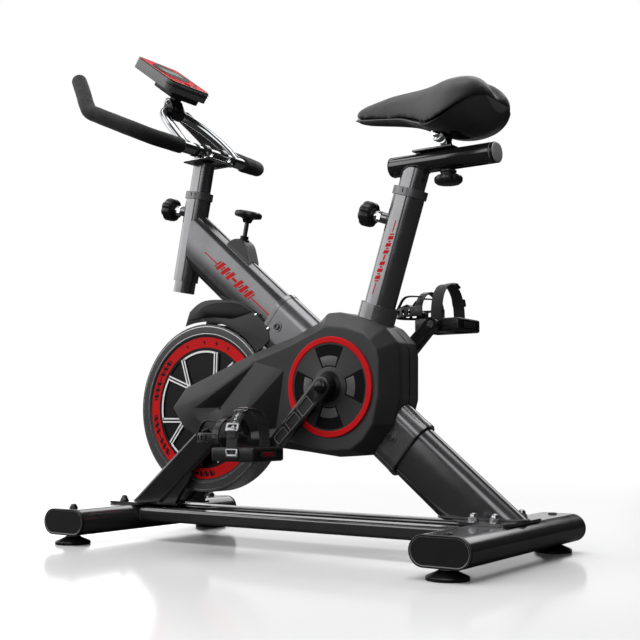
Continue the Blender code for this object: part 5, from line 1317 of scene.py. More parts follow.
WIN_R, APEX_R = 0.1190, 0.0600
windows = []
for s in (-1, 1):
    for k in range(5):
        mid = 98 + 72 * k
        half = 22.0
        loop = [polar(WIN_R - 0.0050, mid - half + 2 * half * i / 16) for i in range(17)]
        loop += [polar(APEX_R + 0.0035, mid + 27), polar(0.040, mid + 18), polar(0.040, mid - 18), polar(APEX_R + 0.0035, mid - 27)]
        windows.append(prism(f"w{s}{k}", [loop], 0.0060, side(s * (FACE_Y + 0.0005))))
        vee = 134 + 72 * k
        loop = [polar(WIN_R, vee - 8.6 + 17.2 * i / 6) for i in range(7)] + [polar(APEX_R + 0.020, vee)]
        windows.append(prism(f"v{s}{k}", [loop], 0.0060, side(s * (FACE_Y + 0.0005))))
wheel = cut(wheel, *windows)
wheel.data.materials.clear()
skin(wheel, M["iron"], M["tread"], M["wheel_black"])
for p in wheel.data.polygons:
    c = wheel.matrix_world @ p.center
    r = math.hypot(c.x - WHEEL.x, c.z - WHEEL.z)
    if r > R - 0.0016 and abs(c.y) < W:
        p.material_index = 1
    elif r < 0.1480:
        p.material_index = 2
    else:
        p.material_index = 0
put(shade(wheel, 30), "flywheel", None, "flywheel")

for s in (-1, 1):
    side_tag = "left" if s < 0 else "right"
    trims = []

    def flat(name, loops, y, mat, thick=0.0003):
        o = prism(name, loops, thick, side(s * (y + thick / 2)))
        skin(o, mat)
        trims.append(o)

    def ring(name, r0, r1, y, mat, thick=0.0003):
        flat(name, [circle(r1, 144, WHEEL.x, WHEEL.z), circle(r0, 144, WHEEL.x, WHEEL.z)], y, mat, thick)

    ring("rr", 0.1250, 0.1466, FACE_Y, M["red"], 0.0005)
    ring("rs", 0.1535, 0.1548, W, M["silver"], 0.0003)
    ring("ro", R - 0.0060, R - 0.0044, W, M["silver"], 0.0003)
    # printed marks round the red ring, in place of a name
    marks = [(o, w, lo, hi) for o, w, lo, hi in PATTERN]
    for g, a_mid in enumerate((205.0, 152.0, 262.0, 20.0, 330.0)):
        span = 40.0 if g < 4 else 34.0
        for i, (o, w, lo, hi) in enumerate(marks):
            a = a_mid + span / 2 - o * span
            a2 = a - w * span
            r0, r1 = 0.1305 + 0.0115 * lo, 0.1305 + 0.0115 * hi
            lean = 1.6
            loop = [polar(r0, a + lean * lo), polar(r1, a + lean * hi), polar(r1, a2 + lean * hi), polar(r0, a2 + lean * lo)]
            flat(f"m{g}_{i}", [loop], FACE_Y + 0.0005, M["black_print"], 0.0002)
    for a in (62.0, 76.0, 90.0, 110.0):
        for dx, dr, w_a, h_r in ((0.0, 0.0, 2.6, 0.0024), (0.0, 0.0, 0.9, 0.0085)):
            r_c = 0.1360
            loop = [polar(r_c - h_r / 2, a - w_a / 2), polar(r_c + h_r / 2, a - w_a / 2 + 0.6), polar(r_c + h_r / 2, a + w_a / 2 + 0.6), polar(r_c - h_r / 2, a + w_a / 2)]
            flat(f"p{int(a)}_{w_a}", [loop], FACE_Y + (0.0005 if w_a > 1 else 0.0007), M["black_print"], 0.0002)
    # white outlines of the windows and spokes
    for k in range(5):
        mid = 98 + 72 * k
        flat(f"arc{k}", [arc_band(WIN_R - 0.0044, WIN_R - 0.0003, mid - 22.6, mid + 22.6, 24)], FACE_Y, M["white_print"], 0.0004)
        vee = 134 + 72 * k
        apex = Vector(polar(APEX_R, vee))
        for e in (-1, 1):
            far = Vector(polar(WIN_R - 0.0006, vee + e * 13.2))
            d = (far - apex).normalized()
            nrm = Vector((-d.y, d.x))
            for off, w in ((-0.0033, 0.0031), (0.0033, 0.0031)):
                p, q = apex + nrm * off, far + nrm * off
                a, b = p + nrm * w / 2, q + nrm * w / 2
                c, d2 = q - nrm * w / 2, p - nrm * w / 2
                flat(f"s{k}{e}{off}", [[tuple(a), tuple(b), tuple(c), tuple(d2)]], FACE_Y, M["white_print"], 0.0004 + (0.00005 if off > 0 else 0))
    put(merge(f"flywheel_print_{side_tag}", trims), "flywheel", None)

# ================================================================ crank discs and arms
CX, CZ = CRANK.x, CRANK.z


def around(r, deg, k=1):
    a = math.radians(deg)
    return (CX + r * math.cos(a), CZ + r * math.sin(a))


def sector(r0, r1, mid, half0, half1, steps=14):
    out = [around(r1, mid - half1 + 2 * half1 * i / steps) for i in range(steps + 1)]
    out += [around(r0, mid + half0 - 2 * half0 * i / steps) for i in range(steps + 1)]
    return out


BASE_DEG = math.degrees(CRANK_ANGLE)
for s, tag in ((-1, "left"), (1, "right")):
    y0 = COVER_FACE + 0.0004
    prof = [
        (0.0102, y0), (0.0920, y0), (0.0936, y0 + 0.0006), (0.0940, y0 + 0.0014), (0.0936, y0 + 0.0036), (0.0926, y0 + 0.0042),
        (0.0838, y0 + 0.0042), (0.0828, y0 + 0.0036), (0.0822, y0 + 0.0026), (0.0400, y0 + 0.0030), (0.0330, y0 + 0.0042),
        (0.0290, y0 + 0.0056), (0.0272, y0 + 0.0070), (0.0225, y0 + 0.0082), (0.0205, y0 + 0.0096), (0.0200, ARM_IN - 0.0012),
        (0.0192, ARM_IN - 0.0004), (0.0102, ARM_IN - 0.0004),
    ]
    disc = lathe(f"{tag}_disc_body", prof, (CX, 0, CZ), (0, s, 0), 144, ring=True)
    cutters = []
    for k in range(4):
        mid = BASE_DEG + 45 + 90 * k
        cutters.append(prism(f"dw{k}", [sector(0.0375, 0.0795, mid, 24, 24)], 0.0040, side(s * (y0 + 0.0034))))
    disc = cut(disc, *cutters)
    skin(disc, M["grey"], M["red"], M["grey_dark"])
    mw = disc.matrix_world.copy()
    for p in disc.data.polygons:
        c = mw @ p.center
        r = math.hypot(c.x - CX, c.z - CZ)
        if r > 0.0824:
            p.material_index = 1
        elif r < 0.0290:
            p.material_index = 2
    parts = [shade(disc, 30)]
    for k in range(4):
        mid = BASE_DEG + 45 + 90 * k
        fl = prism(f"df{k}", [sector(0.0380, 0.0790, mid, 23.6, 23.6)], 0.0003, side(s * (y0 + 0.0016)))
        skin(fl, M["well_black"])
        parts.append(fl)
        st = prism(f"ds{k}", [sector(0.0400, 0.0580, mid, 20.0, 20.0, 12)], 0.0014, side(s * (y0 + 0.0022)))
        skin(st, M["step_grey"])
        parts.append(soften(st, 0.0005, 2, 40))
    disc = merge(f"{tag}_crank_rosette", parts)
    disc.data.shade_smooth()
    disc.data.set_sharp_from_angle(angle=math.radians(28))
    if s < 0:
        put(disc, "crank", None, "left_crank_disc")
    else:
        put(disc, "crank", None)


def tapered(c0, r0, c1, r1, n=24):
    c0, c1 = Vector(c0), Vector(c1)
    d = c1 - c0
    base = math.atan2(d.y, d.x)
    spread = math.acos((r0 - r1) / d.length)
    out = []
    for i in range(n + 1):
        a = base + spread + (2 * math.pi - 2 * spread) * i / n
        out.append((c0.x + r0 * math.cos(a), c0.y + r0 * math.sin(a)))
    for i in range(n + 1):
        a = base - spread + 2 * spread * i / n
        out.append((c1.x + r1 * math.cos(a), c1.y + r1 * math.sin(a)))
    return out


PEDAL_AT = {}
for s, tag, angle in ((-1, "left", CRANK_ANGLE), (1, "right", CRANK_ANGLE + math.pi)):
    px, pz = CX + CRANK_LEN * math.cos(angle), CZ + CRANK_LEN * math.sin(angle)
    PEDAL_AT[tag] = Vector((px, 0, pz))
    arm = prism(f"{tag}_arm", [tapered((CX, CZ), 0.0185, (px, pz), 0.0135, 32)], ARM_OUT - ARM_IN, side(s * (ARM_IN + ARM_OUT) / 2))
    along = Vector((math.cos(angle), 0, math.sin(angle)))
    across = Vector((-math.sin(angle), 0, math.cos(angle)))
    out = Vector((0, s, 0))
    pockets, frames_ = [], []
    c0 = Vector((CX, s * ARM_OUT, CZ))
    for d0, d1 in ((0.034, 0.066), (0.074, 0.104), (0.112, 0.142)):
        mid = c0 + along * (d0 + d1) / 2
        half_w = 0.0185 + (0.0135 - 0.0185) * ((d0 + d1) / 2 / CRANK_LEN) - 0.0066
        m = axes(mid, out, along)
        pockets.append(prism(f"pk{d0}", [rounded(d1 - d0, 2 * half_w, 0.0028, 5)], 0.0050, m))
        fr = prism(f"pf{d0}", [rounded(d1 - d0 + 0.0012, 2 * half_w + 0.0012, 0.0033, 5), rounded(d1 - d0 - 0.0006, 2 * half_w - 0.0006, 0.0026, 5)], 0.0003, m @ at(0, 0, 0.00015))
        skin(fr, M["grey_light"])
        frames_.append(fr)
        fl = prism(f"pfl{d0}", [rounded(d1 - d0 - 0.0004, 2 * half_w - 0.0004, 0.0026, 5)], 0.0003, m @ at(0, 0, -0.0022))
        skin(fl, M["plastic"])
        frames_.append(fl)
    arm = cut(
        arm, *pockets,
        rod("ab", (CX, s * (ARM_IN - 0.02), CZ), (CX, s * (ARM_OUT - 0.001), CZ), 0.0100, 40),
        rod("as", (px, s * (ARM_IN - 0.02), pz), (px, s * (ARM_OUT + 0.02), pz), 0.0073, 32),
    )
    arm = soften(arm, 0.0013, 3, 40)
    # The crank arms use the darker paint copy: painted shade.
    skin(arm, M["paint_deep"])
    cap = lathe(
        f"{tag}_arm_cap",
        [(0, 0.0056), (0.0048, 0.0055), (0.0088, 0.0049), (0.0112, 0.0036), (0.0122, 0.0018), (0.0125, 0.0000), (0.0132, -0.0003),
         (0.0140, 0.0006), (0.0148, 0.0006), (0.0152, -0.0004), (0, -0.0006)],
        (CX, s * ARM_OUT, CZ), (0, s, 0), 72,
    )
    skin(cap, M["screen_black"])
    arm = merge(f"{tag}_crank_arm", [shade(arm, 30), cap] + frames_)
    arm.data.shade_smooth()
    arm.data.set_sharp_from_angle(angle=math.radians(30))
    put(arm, "crank", None, f"{tag}_crank")

# ================================================================ pedals
PEDAL_IN, PEDAL_OUT = 0.1140, 0.2080
PEDAL_L, PEDAL_T = 0.0980, 0.0260


def strap_band(name, pts, width, thick, normal_axis):
    """A flat band through points, with rounded edges. normal_axis is not used."""
    sec = rounded(thick, width, thick * 0.42, 4)
    return sweep(name, pts, sec, fixed_up=None)


def ribbon(name, pts, width, thick, wide_dir):
    """A band along a path whose width stays along wide_dir."""
    path = [Vector(p) for p in pts]
    wide = Vector(wide_dir).normalized()
    sec = rounded(thick, width, min(thick, width) * 0.45, 5)
    bm = bmesh.new()
    rows = []
    n = len(path)
    for i, p in enumerate(path):
        t = (path[min(i + 1, n - 1)] - path[max(i - 1, 0)]).normalized()
        w = (wide - wide.dot(t) * t).normalized()
        u = t.cross(w)
        rows.append([bm.verts.new(p + u * a + w * b) for a, b in sec])
    m = len(sec)
    for a, b in zip(rows, rows[1:]):
        for j in range(m):
            bm.faces.new((a[j], a[(j + 1) % m], b[(j + 1) % m], b[j]))
    bm.faces.new(rows[0])
    bm.faces.new(rows[-1])
    return from_bm(name, bm)


for s, tag in ((-1, "left"), (1, "right")):
    px, pz = PEDAL_AT[tag].x, PEDAL_AT[tag].z
    mid = s * (PEDAL_IN + PEDAL_OUT) / 2
    width = PEDAL_OUT - PEDAL_IN
    body = block(f"{tag}_pb", (PEDAL_L, width, PEDAL_T), at(px, mid, pz))
    body = soften(body, 0.0045, 4, 40)
    tools = []
    for i in (-1, 1):
        tools.append(prism(f"pw{i}", [rounded(0.0270, width - 0.026, 0.004, 5)], 0.06, at(px + i * 0.0275, mid, pz)))
    for e in (-1, 1):
        # reflector seats in the front and rear edges, toothed treads beside them
        tools.append(block(f"rs{e}", (0.0040, 0.0480, 0.0130), at(px + e * (PEDAL_L / 2), mid, pz)))
        for j in range(13):
            yy = mid + (j - 6) * 0.0068
            tools.append(block(f"tt{e}{j}", (0.0120, 0.0030, 0.0030), at(px + e * (PEDAL_L / 2 - 0.0055), yy, pz + PEDAL_T / 2)))
            tools.append(block(f"tb{e}{j}", (0.0120, 0.0030, 0.0030), at(px + e * (PEDAL_L / 2 - 0.0055), yy, pz - PEDAL_T / 2)))
    tools.append(rod("pbore", (px, s * (PEDAL_IN - 0.02), pz), (px, s * (PEDAL_OUT - 0.0094), pz), 0.0066, 32))
    body = cut(body, *tools)
    skin(body, M["plastic_gloss"])
    parts = [shade(body, 32)]
    for e in (-1, 1):
        seat = block(f"rf{e}", (0.0030, 0.0470, 0.0120), at(px + e * (PEDAL_L / 2 - 0.0014), mid, pz))
        seat = soften(seat, 0.0006, 2, 40)
        skin(seat, M["plastic_gloss"])
        parts.append(seat)
        if s < 0 and e > 0:
            rf = block("rflens", (0.0014, 0.0300, 0.0075), at(px + e * (PEDAL_L / 2 + 0.00005 - 0.0006), mid, pz))
            rf = soften(rf, 0.0004, 2, 40)
            skin(rf, M["reflector"])
            parts.append(rf)
    dust = lathe(
        f"{tag}_pd", [(0, 0.0012), (0.0060, 0.0011), (0.0088, 0.0004), (0.0094, -0.0008), (0, -0.0010)],
        (px, s * PEDAL_OUT, pz), (0, s, 0), 48,
    )
    skin(dust, M["plastic_gloss"])
    parts.append(dust)
    cross = []
    for i in (-1, 1):
        for j in (-1, 0, 1):
            b = block(f"pr{i}{j}", (0.0270, 0.0032, PEDAL_T - 0.004), at(px + i * 0.0275, mid + j * 0.0180, pz))
            b = soften(b, 0.0008, 2, 40)
            skin(b, M["plastic_gloss"])
            cross.append(b)
    body = merge(f"{tag}_pedal_platform", parts + cross)
    body.data.shade_smooth()
    body.data.set_sharp_from_angle(angle=math.radians(30))
    put(body, f"{tag}_pedal", None, f"{tag}_pedal_body")

    nose = px - PEDAL_L / 2
    hoop1 = [(nose + 0.018 - 0.0802 * math.sin(math.pi * i / 40), mid - s * 0.0467 * math.cos(math.pi * i / 40), pz + 0.0290) for i in range(41)]
    band = ribbon(f"{tag}_cg1", hoop1, 0.0200, 0.0034, (0, 0, 1))
    slots = []
    for i in range(5, 36, 3):
        c = Vector(hoop1[i])
        t = (Vector(hoop1[i + 1]) - Vector(hoop1[i - 1])).normalized()
        slots.append(prism(f"sl{i}", [rounded(0.0085, 0.0100, 0.0020, 3)], 0.02, axes(c, t.cross(Vector((0, 0, 1))), t)))
    band = cut(band, *slots)
    front = prism(
        f"{tag}_cg2",
        [[(nose - 0.0035, pz - 0.0090), (nose - 0.0006, pz - 0.0090), (nose - 0.0006, pz + 0.0130), (nose - 0.004, pz + 0.0300),
          (nose - 0.0350, pz + 0.0480), (nose - 0.0610, pz + 0.0390), (nose - 0.0600, pz + 0.0355), (nose - 0.0350, pz + 0.0440),
          (nose - 0.0075, pz + 0.0275)]],
        0.030, side(mid),
    )
    hoop2 = [(nose + 0.0100, mid - s * 0.0467 * math.cos(math.pi * i / 32), pz + 0.0290 + 0.0402 * math.sin(math.pi * i / 32)) for i in range(33)]
    arch = ribbon(f"{tag}_cg3", hoop2, 0.0160, 0.0034, (1, 0, 0))
    rib = []
    for j, k in enumerate((-0.42, 0.42)):
        a = math.pi * (0.5 + k * 0.55)
        p_top = Vector((nose + 0.0100, mid - s * 0.0467 * math.cos(a), pz + 0.0290 + 0.0402 * math.sin(a)))
        b = math.pi * (0.5 + k * 0.42)
        p_low = Vector((nose + 0.018 - 0.0802 * math.sin(b), mid - s * 0.0467 * math.cos(b), pz + 0.0370))
        mid_p = (p_top + p_low) / 2 + Vector((-0.010, 0, 0.012))
        rib.append(ribbon(f"{tag}_rb{j}", smooth_path([p_top, mid_p, p_low], 8), 0.0085, 0.0030, (0, 1, 0)))
    skin(band, M["plastic_gloss"])
    pieces = [shade(band, 35)]
    for o in [front, arch] + rib:
        o = soften(o, 0.0007, 2, 40) if o is front else o
        skin(o, M["plastic_gloss"])
        pieces.append(o)
    cage = merge(f"{tag}_cage", pieces)
    cage.data.shade_smooth()
    cage.data.set_sharp_from_angle(angle=math.radians(32))
    put(cage, f"{tag}_pedal", None, f"{tag}_toe_cage")

    half_w = width / 2 + 0.0006
    pts = []
    for i in range(49):
        a = math.pi * i / 48
        pts.append((px + 0.0020, mid - s * (half_w + 0.0011) * math.cos(a), pz + 0.0080 + 0.0751 * max(math.sin(a), 0) ** 0.75))
    strap = ribbon(f"{tag}_band", pts, 0.0250, 0.0021, (1, 0, 0))
    skin(strap, M["strap"])
    pieces = [strap]
    # over-strap, holes and two buckles on the outer side
    sub = pts[26:46]
    over = []
    for i, p in enumerate(sub):
        c = Vector(p)
        t = (Vector(sub[min(i + 1, len(sub) - 1)]) - Vector(sub[max(i - 1, 0)])).normalized()
        nrm = t.cross(Vector((1, 0, 0))) * (1 if s > 0 else -1)
        outward = nrm if nrm.dot(c - Vector((px, mid, pz + 0.02))) > 0 else -nrm
        over.append(c + outward * 0.0021)
    o = ribbon(f"{tag}_over", over, 0.0190, 0.0016, (1, 0, 0))
    skin(o, M["strap"])
    pieces.append(o)
    for i in range(3, len(over) - 3, 2):
        c = Vector(over[i])
        t = (Vector(over[i + 1]) - Vector(over[i - 1])).normalized()
        nrm = t.cross(Vector((1, 0, 0)))
        eye = lathe(f"{tag}_eye{i}", [(0.0016, 0.0011), (0.0028, 0.0011), (0.0028, 0.0007), (0.0016, 0.0007)], c, nrm if nrm.dot(c - Vector((px, mid, pz + 0.02))) > 0 else -nrm, 20, ring=True)
        skin(eye, M["zinc"])
        pieces.append(eye)
    for idx, (w_b, h_b) in ((4, (0.0300, 0.0190)), (15, (0.0300, 0.0160))):
        c = Vector(over[idx])
        t = (Vector(over[idx + 1]) - Vector(over[idx - 1])).normalized()
        nrm = t.cross(Vector((1, 0, 0)))
        if nrm.dot(c - Vector((px, mid, pz + 0.02))) < 0:
            nrm = -nrm
        m = axes(c + nrm * 0.0016, nrm, (1, 0, 0))
        bk = prism(f"{tag}_bk{idx}", [rounded(w_b, h_b, 0.0028, 5), rounded(w_b - 0.0100, h_b * 0.34, 0.0016, 4, 0, h_b * 0.10)], 0.0022, m)
        bk = soften(bk, 0.0006, 2, 40)
        skin(bk, M["buckle"])
        pieces.append(bk)
        lever = block(f"{tag}_bl{idx}", (w_b - 0.0110, h_b * 0.30, 0.0022), m @ at(0, -h_b * 0.30, 0.0018))
        lever = soften(lever, 0.0007, 2, 40)
        skin(lever, M["buckle"])
        pieces.append(lever)
    m = axes((px + 0.0020, s * (PEDAL_OUT + 0.0022), pz + 0.0020), (0, s, 0), (1, 0, 0))
    bk = prism(f"{tag}_bside", [rounded(0.0290, 0.0170, 0.0028, 5), rounded(0.0180, 0.0055, 0.0014, 4, 0, 0.0012)], 0.0020, m)
    bk = soften(bk, 0.0006, 2, 40)
    skin(bk, M["buckle"])
    pieces.append(bk)
    st = merge(f"{tag}_strap", pieces)
    st.data.shade_smooth()
    st.data.set_sharp_from_angle(angle=math.radians(35))
    put(st, f"{tag}_pedal", None, f"{tag}_toe_strap")


# ================================================================ fender and brake
def on_wheel(angle, r):
    a = math.radians(angle)
    return (WHEEL.x + r * math.cos(a), WHEEL.z + r * math.sin(a))


def dense(points, steps=5):
    """A smooth closed-side curve through points in the plane, ends kept."""
    return [(p.x, p.y) for p in smooth_path([Vector((a, b, 0)) for a, b in points], steps)]


guard_r = WHEEL_R + 0.0045
lower = [on_wheel(106 - 68 * i / 60, guard_r) for i in range(61)]
up_pts = [(-0.0660, 0.4060), (-0.0700, 0.4300), (-0.1018, 0.4600), (-0.1400, 0.4830), (-0.1833, 0.4940), (-0.2300, 0.4960),
          (-0.2560, 0.4890), (-0.2780, 0.4740)]
upper = up_pts[:2] + dense(up_pts[1:], 6)[1:]
fender = prism("fender_body", [lower + upper], 0.0640, side())
inner_low = [on_wheel(120 - 90 * i / 60, guard_r - 0.02) for i in range(61)]
inner_up = [(-0.0500, 0.3950), (-0.0740, 0.4270), (-0.1040, 0.4565), (-0.1410, 0.4795), (-0.1840, 0.4905), (-0.2290, 0.4925),
            (-0.2540, 0.4860), (-0.2740, 0.4722), (-0.2960, 0.4500)]
fender = cut(
    fender,
    prism("fc", [inner_low + inner_up], 0.0586, side()),
    bar_between("fb", on_spine(-0.36), on_spine(-0.0729), SPINE_N, BEAM_H + 0.0010, BEAM_W + 0.0010, steps=24),
    bar_between("fn", on_spine(-0.0733), on_spine(0.10), SPINE_N, NODE_H + 0.0028, NODE_W + 0.0028, steps=24),
)
fender = soften(fender, 0.0009, 3, 50)
skin(fender, M["grey"])
parts = [shade(fender, 30)]
panel = [(-0.2770, 0.4560), (-0.2411, 0.4821), (-0.2030, 0.4890), (-0.1497, 0.4849), (-0.1091, 0.4650), (-0.1600, 0.4546), (-0.1839, 0.4567),
         (-0.2216, 0.4598), (-0.2573, 0.4575)]
for s in (-1, 1):
    top = dense(panel[:5], 6)
    low = dense(panel[4:] + [panel[0]], 5)
    loop = top + low[1:-1]
    pn = prism(f"fp{s}", [loop], 0.0012, side(s * 0.0324))
    pn = soften(pn, 0.0004, 2, 40)
    skin(pn, M["grey_dark"])
    parts.append(pn)
    for x, z in ((-0.1003, 0.4583), (-0.0697, 0.4285)):
        sc = lathe(
            f"fs{s}{x}", [(0, 0.0016), (0.0016, 0.00158), (0.0030, 0.0012), (0.0036, 0.0005), (0.0036, -0.0004), (0, -0.0006)],
            (x, s * 0.0320, z), (0, s, 0), 36,
        )
        skin(sc, M["chrome"])
        parts.append(sc)
fender = merge("fender_guard", parts)
fender.data.shade_smooth()
fender.data.set_sharp_from_angle(angle=math.radians(30))
put(fender, "frame", None, "flywheel_fender")

outline = [
    (-0.1990, on_spine(-0.1990).z), (-0.1990, 0.6000), (-0.1935, 0.6120), (-0.1850, 0.6190), (-0.1740, 0.6228), (-0.1640, 0.6228),
    (-0.1530, 0.6190), (-0.1430, 0.6100), (-0.1370, 0.5960), (-0.1310, 0.5730), (-0.1290, on_spine(-0.1290).z),
]
loop = [outline[0]] + dense(outline[1:-1], 6) + [outline[-1]]
housing = prism("housing", [loop], 0.0340, side())
housing = soften(housing, 0.0030, 4, 50)
housing = cut(
    housing,
    bar_between("hb", on_spine(-0.36), on_spine(0.0), SPINE_N, BEAM_H + 0.0008, BEAM_W + 0.0008, steps=24),
    rod("hr", BRAKE_FOOT, BRAKE_TOP + BRAKE * 0.05, 0.0068, 32),
)
skin(housing, M["grey"], M["grey_light"])
mw = housing.matrix_world.copy()
m3 = mw.to_3x3()
for p in housing.data.polygons:
    c, nrm = mw @ p.center, m3 @ p.normal
    if nrm.x > 0.62 and abs(c.y) < 0.0165:
        p.material_index = 1
put(shade(housing, 30), "frame", None, "brake_housing")
gland = lathe(
    "brake_gland", [(0.0068, -0.0030), (0.0115, -0.0030), (0.0115, 0.0008), (0.0100, 0.0020), (0.0088, 0.0032), (0.0088, 0.0080), (0.0078, 0.0090), (0.0068, 0.0090)],
    BRAKE_FOOT + BRAKE * ((0.6205 - BRAKE_FOOT.z) / BRAKE.z), BRAKE, 40, ring=True,
)
put(shade(gland, 30), "frame", M["plastic"])

STEM_LOW = BRAKE_FOOT + BRAKE * 0.0190
L = (BRAKE_TOP - STEM_LOW).length
knob = lathe(
    "brake_knob_grip",
    [(0, L + 0.0172), (0.0120, L + 0.0171), (0.0200, L + 0.0168), (0.0252, L + 0.0158), (0.0280, L + 0.0138), (0.0290, L + 0.0110),
     (0.0290, L + 0.0080), (0.0282, L + 0.0056), (0.0262, L + 0.0036), (0.0200, L + 0.0024), (0.0130, L + 0.0012), (0.0108, L - 0.0010),
     (0.0096, L - 0.0050), (0.0082, L - 0.0075), (0, L - 0.0080)],
    STEM_LOW, BRAKE, 96, wave=fluted(6, 0.10, range(3, 9)),
)
skin(knob, M["knob"])
knob_cap = lathe("brake_knob_cap", [(0, L + 0.0176), (0.0090, L + 0.0175), (0.0100, L + 0.0170), (0.0100, L + 0.0160), (0, L + 0.0160)], STEM_LOW, BRAKE, 48)
skin(knob_cap, M["red"])
thread = [(0, 0.0)]
z = 0.0
while z < 0.060:
    thread += [(0.0062, z), (0.0057, z + 0.0005)]
    z += 0.0011
thread += [(0.0048, 0.0620), (0.0048, L - 0.0070), (0, L - 0.0070)]
stem = lathe("brake_stem", thread, STEM_LOW, BRAKE, 32)
skin(stem, M["zinc_dark"])
knob = merge("resistance_knob_grip", [knob, knob_cap, stem])
put(shade(knob, 35), "resistance_knob", None, "resistance_knob")

# ================================================================ handlebar: post, deck, clamp, bar, grips
HP_TOP = 0.7960
post = bar_between("post", on_head(0.5210), on_head(HP_TOP), HEAD_F, HPOST_L, HPOST_S, steps=28, inner=(HPOST_L - 0.005, HPOST_S - 0.005))
cradle = block("cr", (0.0400, 0.0760, 0.0150), at(BAR_X, 0, HP_TOP + 0.0095))
cradle = soften(cradle, 0.002, 2, 40)
post = join(post, cradle)
post = cut(
    post, rod("pc", (BAR_X, -0.06, BAR_Z), (BAR_X, 0.06, BAR_Z), BAR_R + GAP, 64),
    block("ps", (0.0100, 0.06, 0.05), axes(on_head(0.600), HEAD, HEAD_F)),
)
# The bar post uses the lighter paint copy: painted reflection.
skin(post, M["paint_light"])
deck = prism("deck", [rounded(0.0700, 0.0940, 0.010, 8)], 0.0040, at(-0.2580, 0, HP_TOP + 0.0015))
deck = cut(deck, block("dk", (0.036, 0.072, 0.02), at(BAR_X, 0, HP_TOP + 0.0095)))
deck = soften(deck, 0.0009, 3, 40)
skin(deck, M["silver"])
post = merge("handlebar_post_skin", [shade(post, 30), deck])
post.data.shade_smooth()
post.data.set_sharp_from_angle(angle=math.radians(30))
put(post, "handlebar", None, "handlebar_post")

clamp_loop = [(BAR_X + (BAR_R + 0.0042) * math.cos(math.radians(a)), BAR_Z + 0.0006 + (BAR_R + 0.0042) * math.sin(math.radians(a))) for a in range(0, 181, 4)]
clamp = prism("cl", [clamp_loop], 0.0700, side())
clamp = cut(
    clamp, rod("cb", (BAR_X, -0.06, BAR_Z), (BAR_X, 0.06, BAR_Z), BAR_R + GAP, 64),
    block("cw", (0.0400, 0.0420, 0.0300), at(BAR_X + 0.0090, 0, BAR_Z + 0.0150)),
)
# The bar clamp uses the darker paint copy: painted shade.
put(shade(clamp, 30, 0.0006, 2, 45), "handlebar", M["paint_deep"], "handlebar_clamp")
screws = []
for s in (-1, 1):
    for dx in (-0.0220, 0.0225):
        screws.append(dome_nut(f"cn{s}{dx}", (BAR_X + dx, s * 0.0290, HP_TOP + 0.0036), (0, 0, 1), 0.0056, 0.0076))
    screws.append(socket_screw(f"cs{s}", (BAR_X - 0.0005, s * 0.0275, BAR_Z + 0.0166), (0, 0, 1), 0.0046, 0.0024, 0.0024))
put(shade(merge("clamp_screws", screws), 28), "handlebar", None)

BAR_POINTS = [
    (BAR_X, 0.000, BAR_Z), (BAR_X, 0.060, BAR_Z), (-0.2464, 0.1000, BAR_Z), (-0.2490, 0.1400, 0.8145), (-0.2600, 0.1720, 0.8190),
    (-0.2870, 0.1950, 0.8320), (-0.3350, 0.2040, 0.8538), (-0.3790, 0.2075, 0.8738), (-0.4050, 0.2060, 0.8868),
    (-0.4235, 0.1990, 0.9065), (-0.4490, 0.1850, 0.9380), (-0.4827, 0.1671, 0.9771),
]
half = smooth_path(BAR_POINTS, 8)
full = [Vector((p.x, -p.y, p.z)) for p in half[:0:-1]] + half
bar = tube("bar_tube", full, BAR_R, 40, up=(0, 0, 1))
skin(bar, M["bar_chrome"])
LOOP_POINTS = [
    (-0.2500, 0.0823, 0.8180), (-0.2629, 0.0823, 0.8342), (-0.2900, 0.0770, 0.8620), (-0.3180, 0.0665, 0.8880),
    (-0.3420, 0.0500, 0.9090), (-0.3570, 0.0270, 0.9225), (-0.3610, 0.0000, 0.9260),
]
arc = smooth_path(LOOP_POINTS, 8)
loop_path = [Vector((p.x, -p.y, p.z)) for p in arc] + arc[-2::-1]
aero = tube("loop_tube", loop_path, 0.0105, 36, up=(0, 0, 1))
skin(aero, M["bar_chrome"])
parts = [bar, aero]
for s in (-1, 1):
    a = Vector((-0.2512, s * 0.0823, 0.8195))
    d = (Vector((-0.2629, s * 0.0823, 0.8342)) - a).normalized()
    w = lathe(f"lw{s}", [(0.0104, -0.0020), (0.0128, -0.0012), (0.0132, 0.0004), (0.0124, 0.0020), (0.0104, 0.0032)], a, d, 40, ring=True)
    skin(w, M["bar_chrome"])
    parts.append(w)
bar = merge("bar_and_loop", parts)
bar.data.shade_smooth()
bar.data.set_sharp_from_angle(angle=math.radians(50))
put(bar, "handlebar", None, "handlebar")


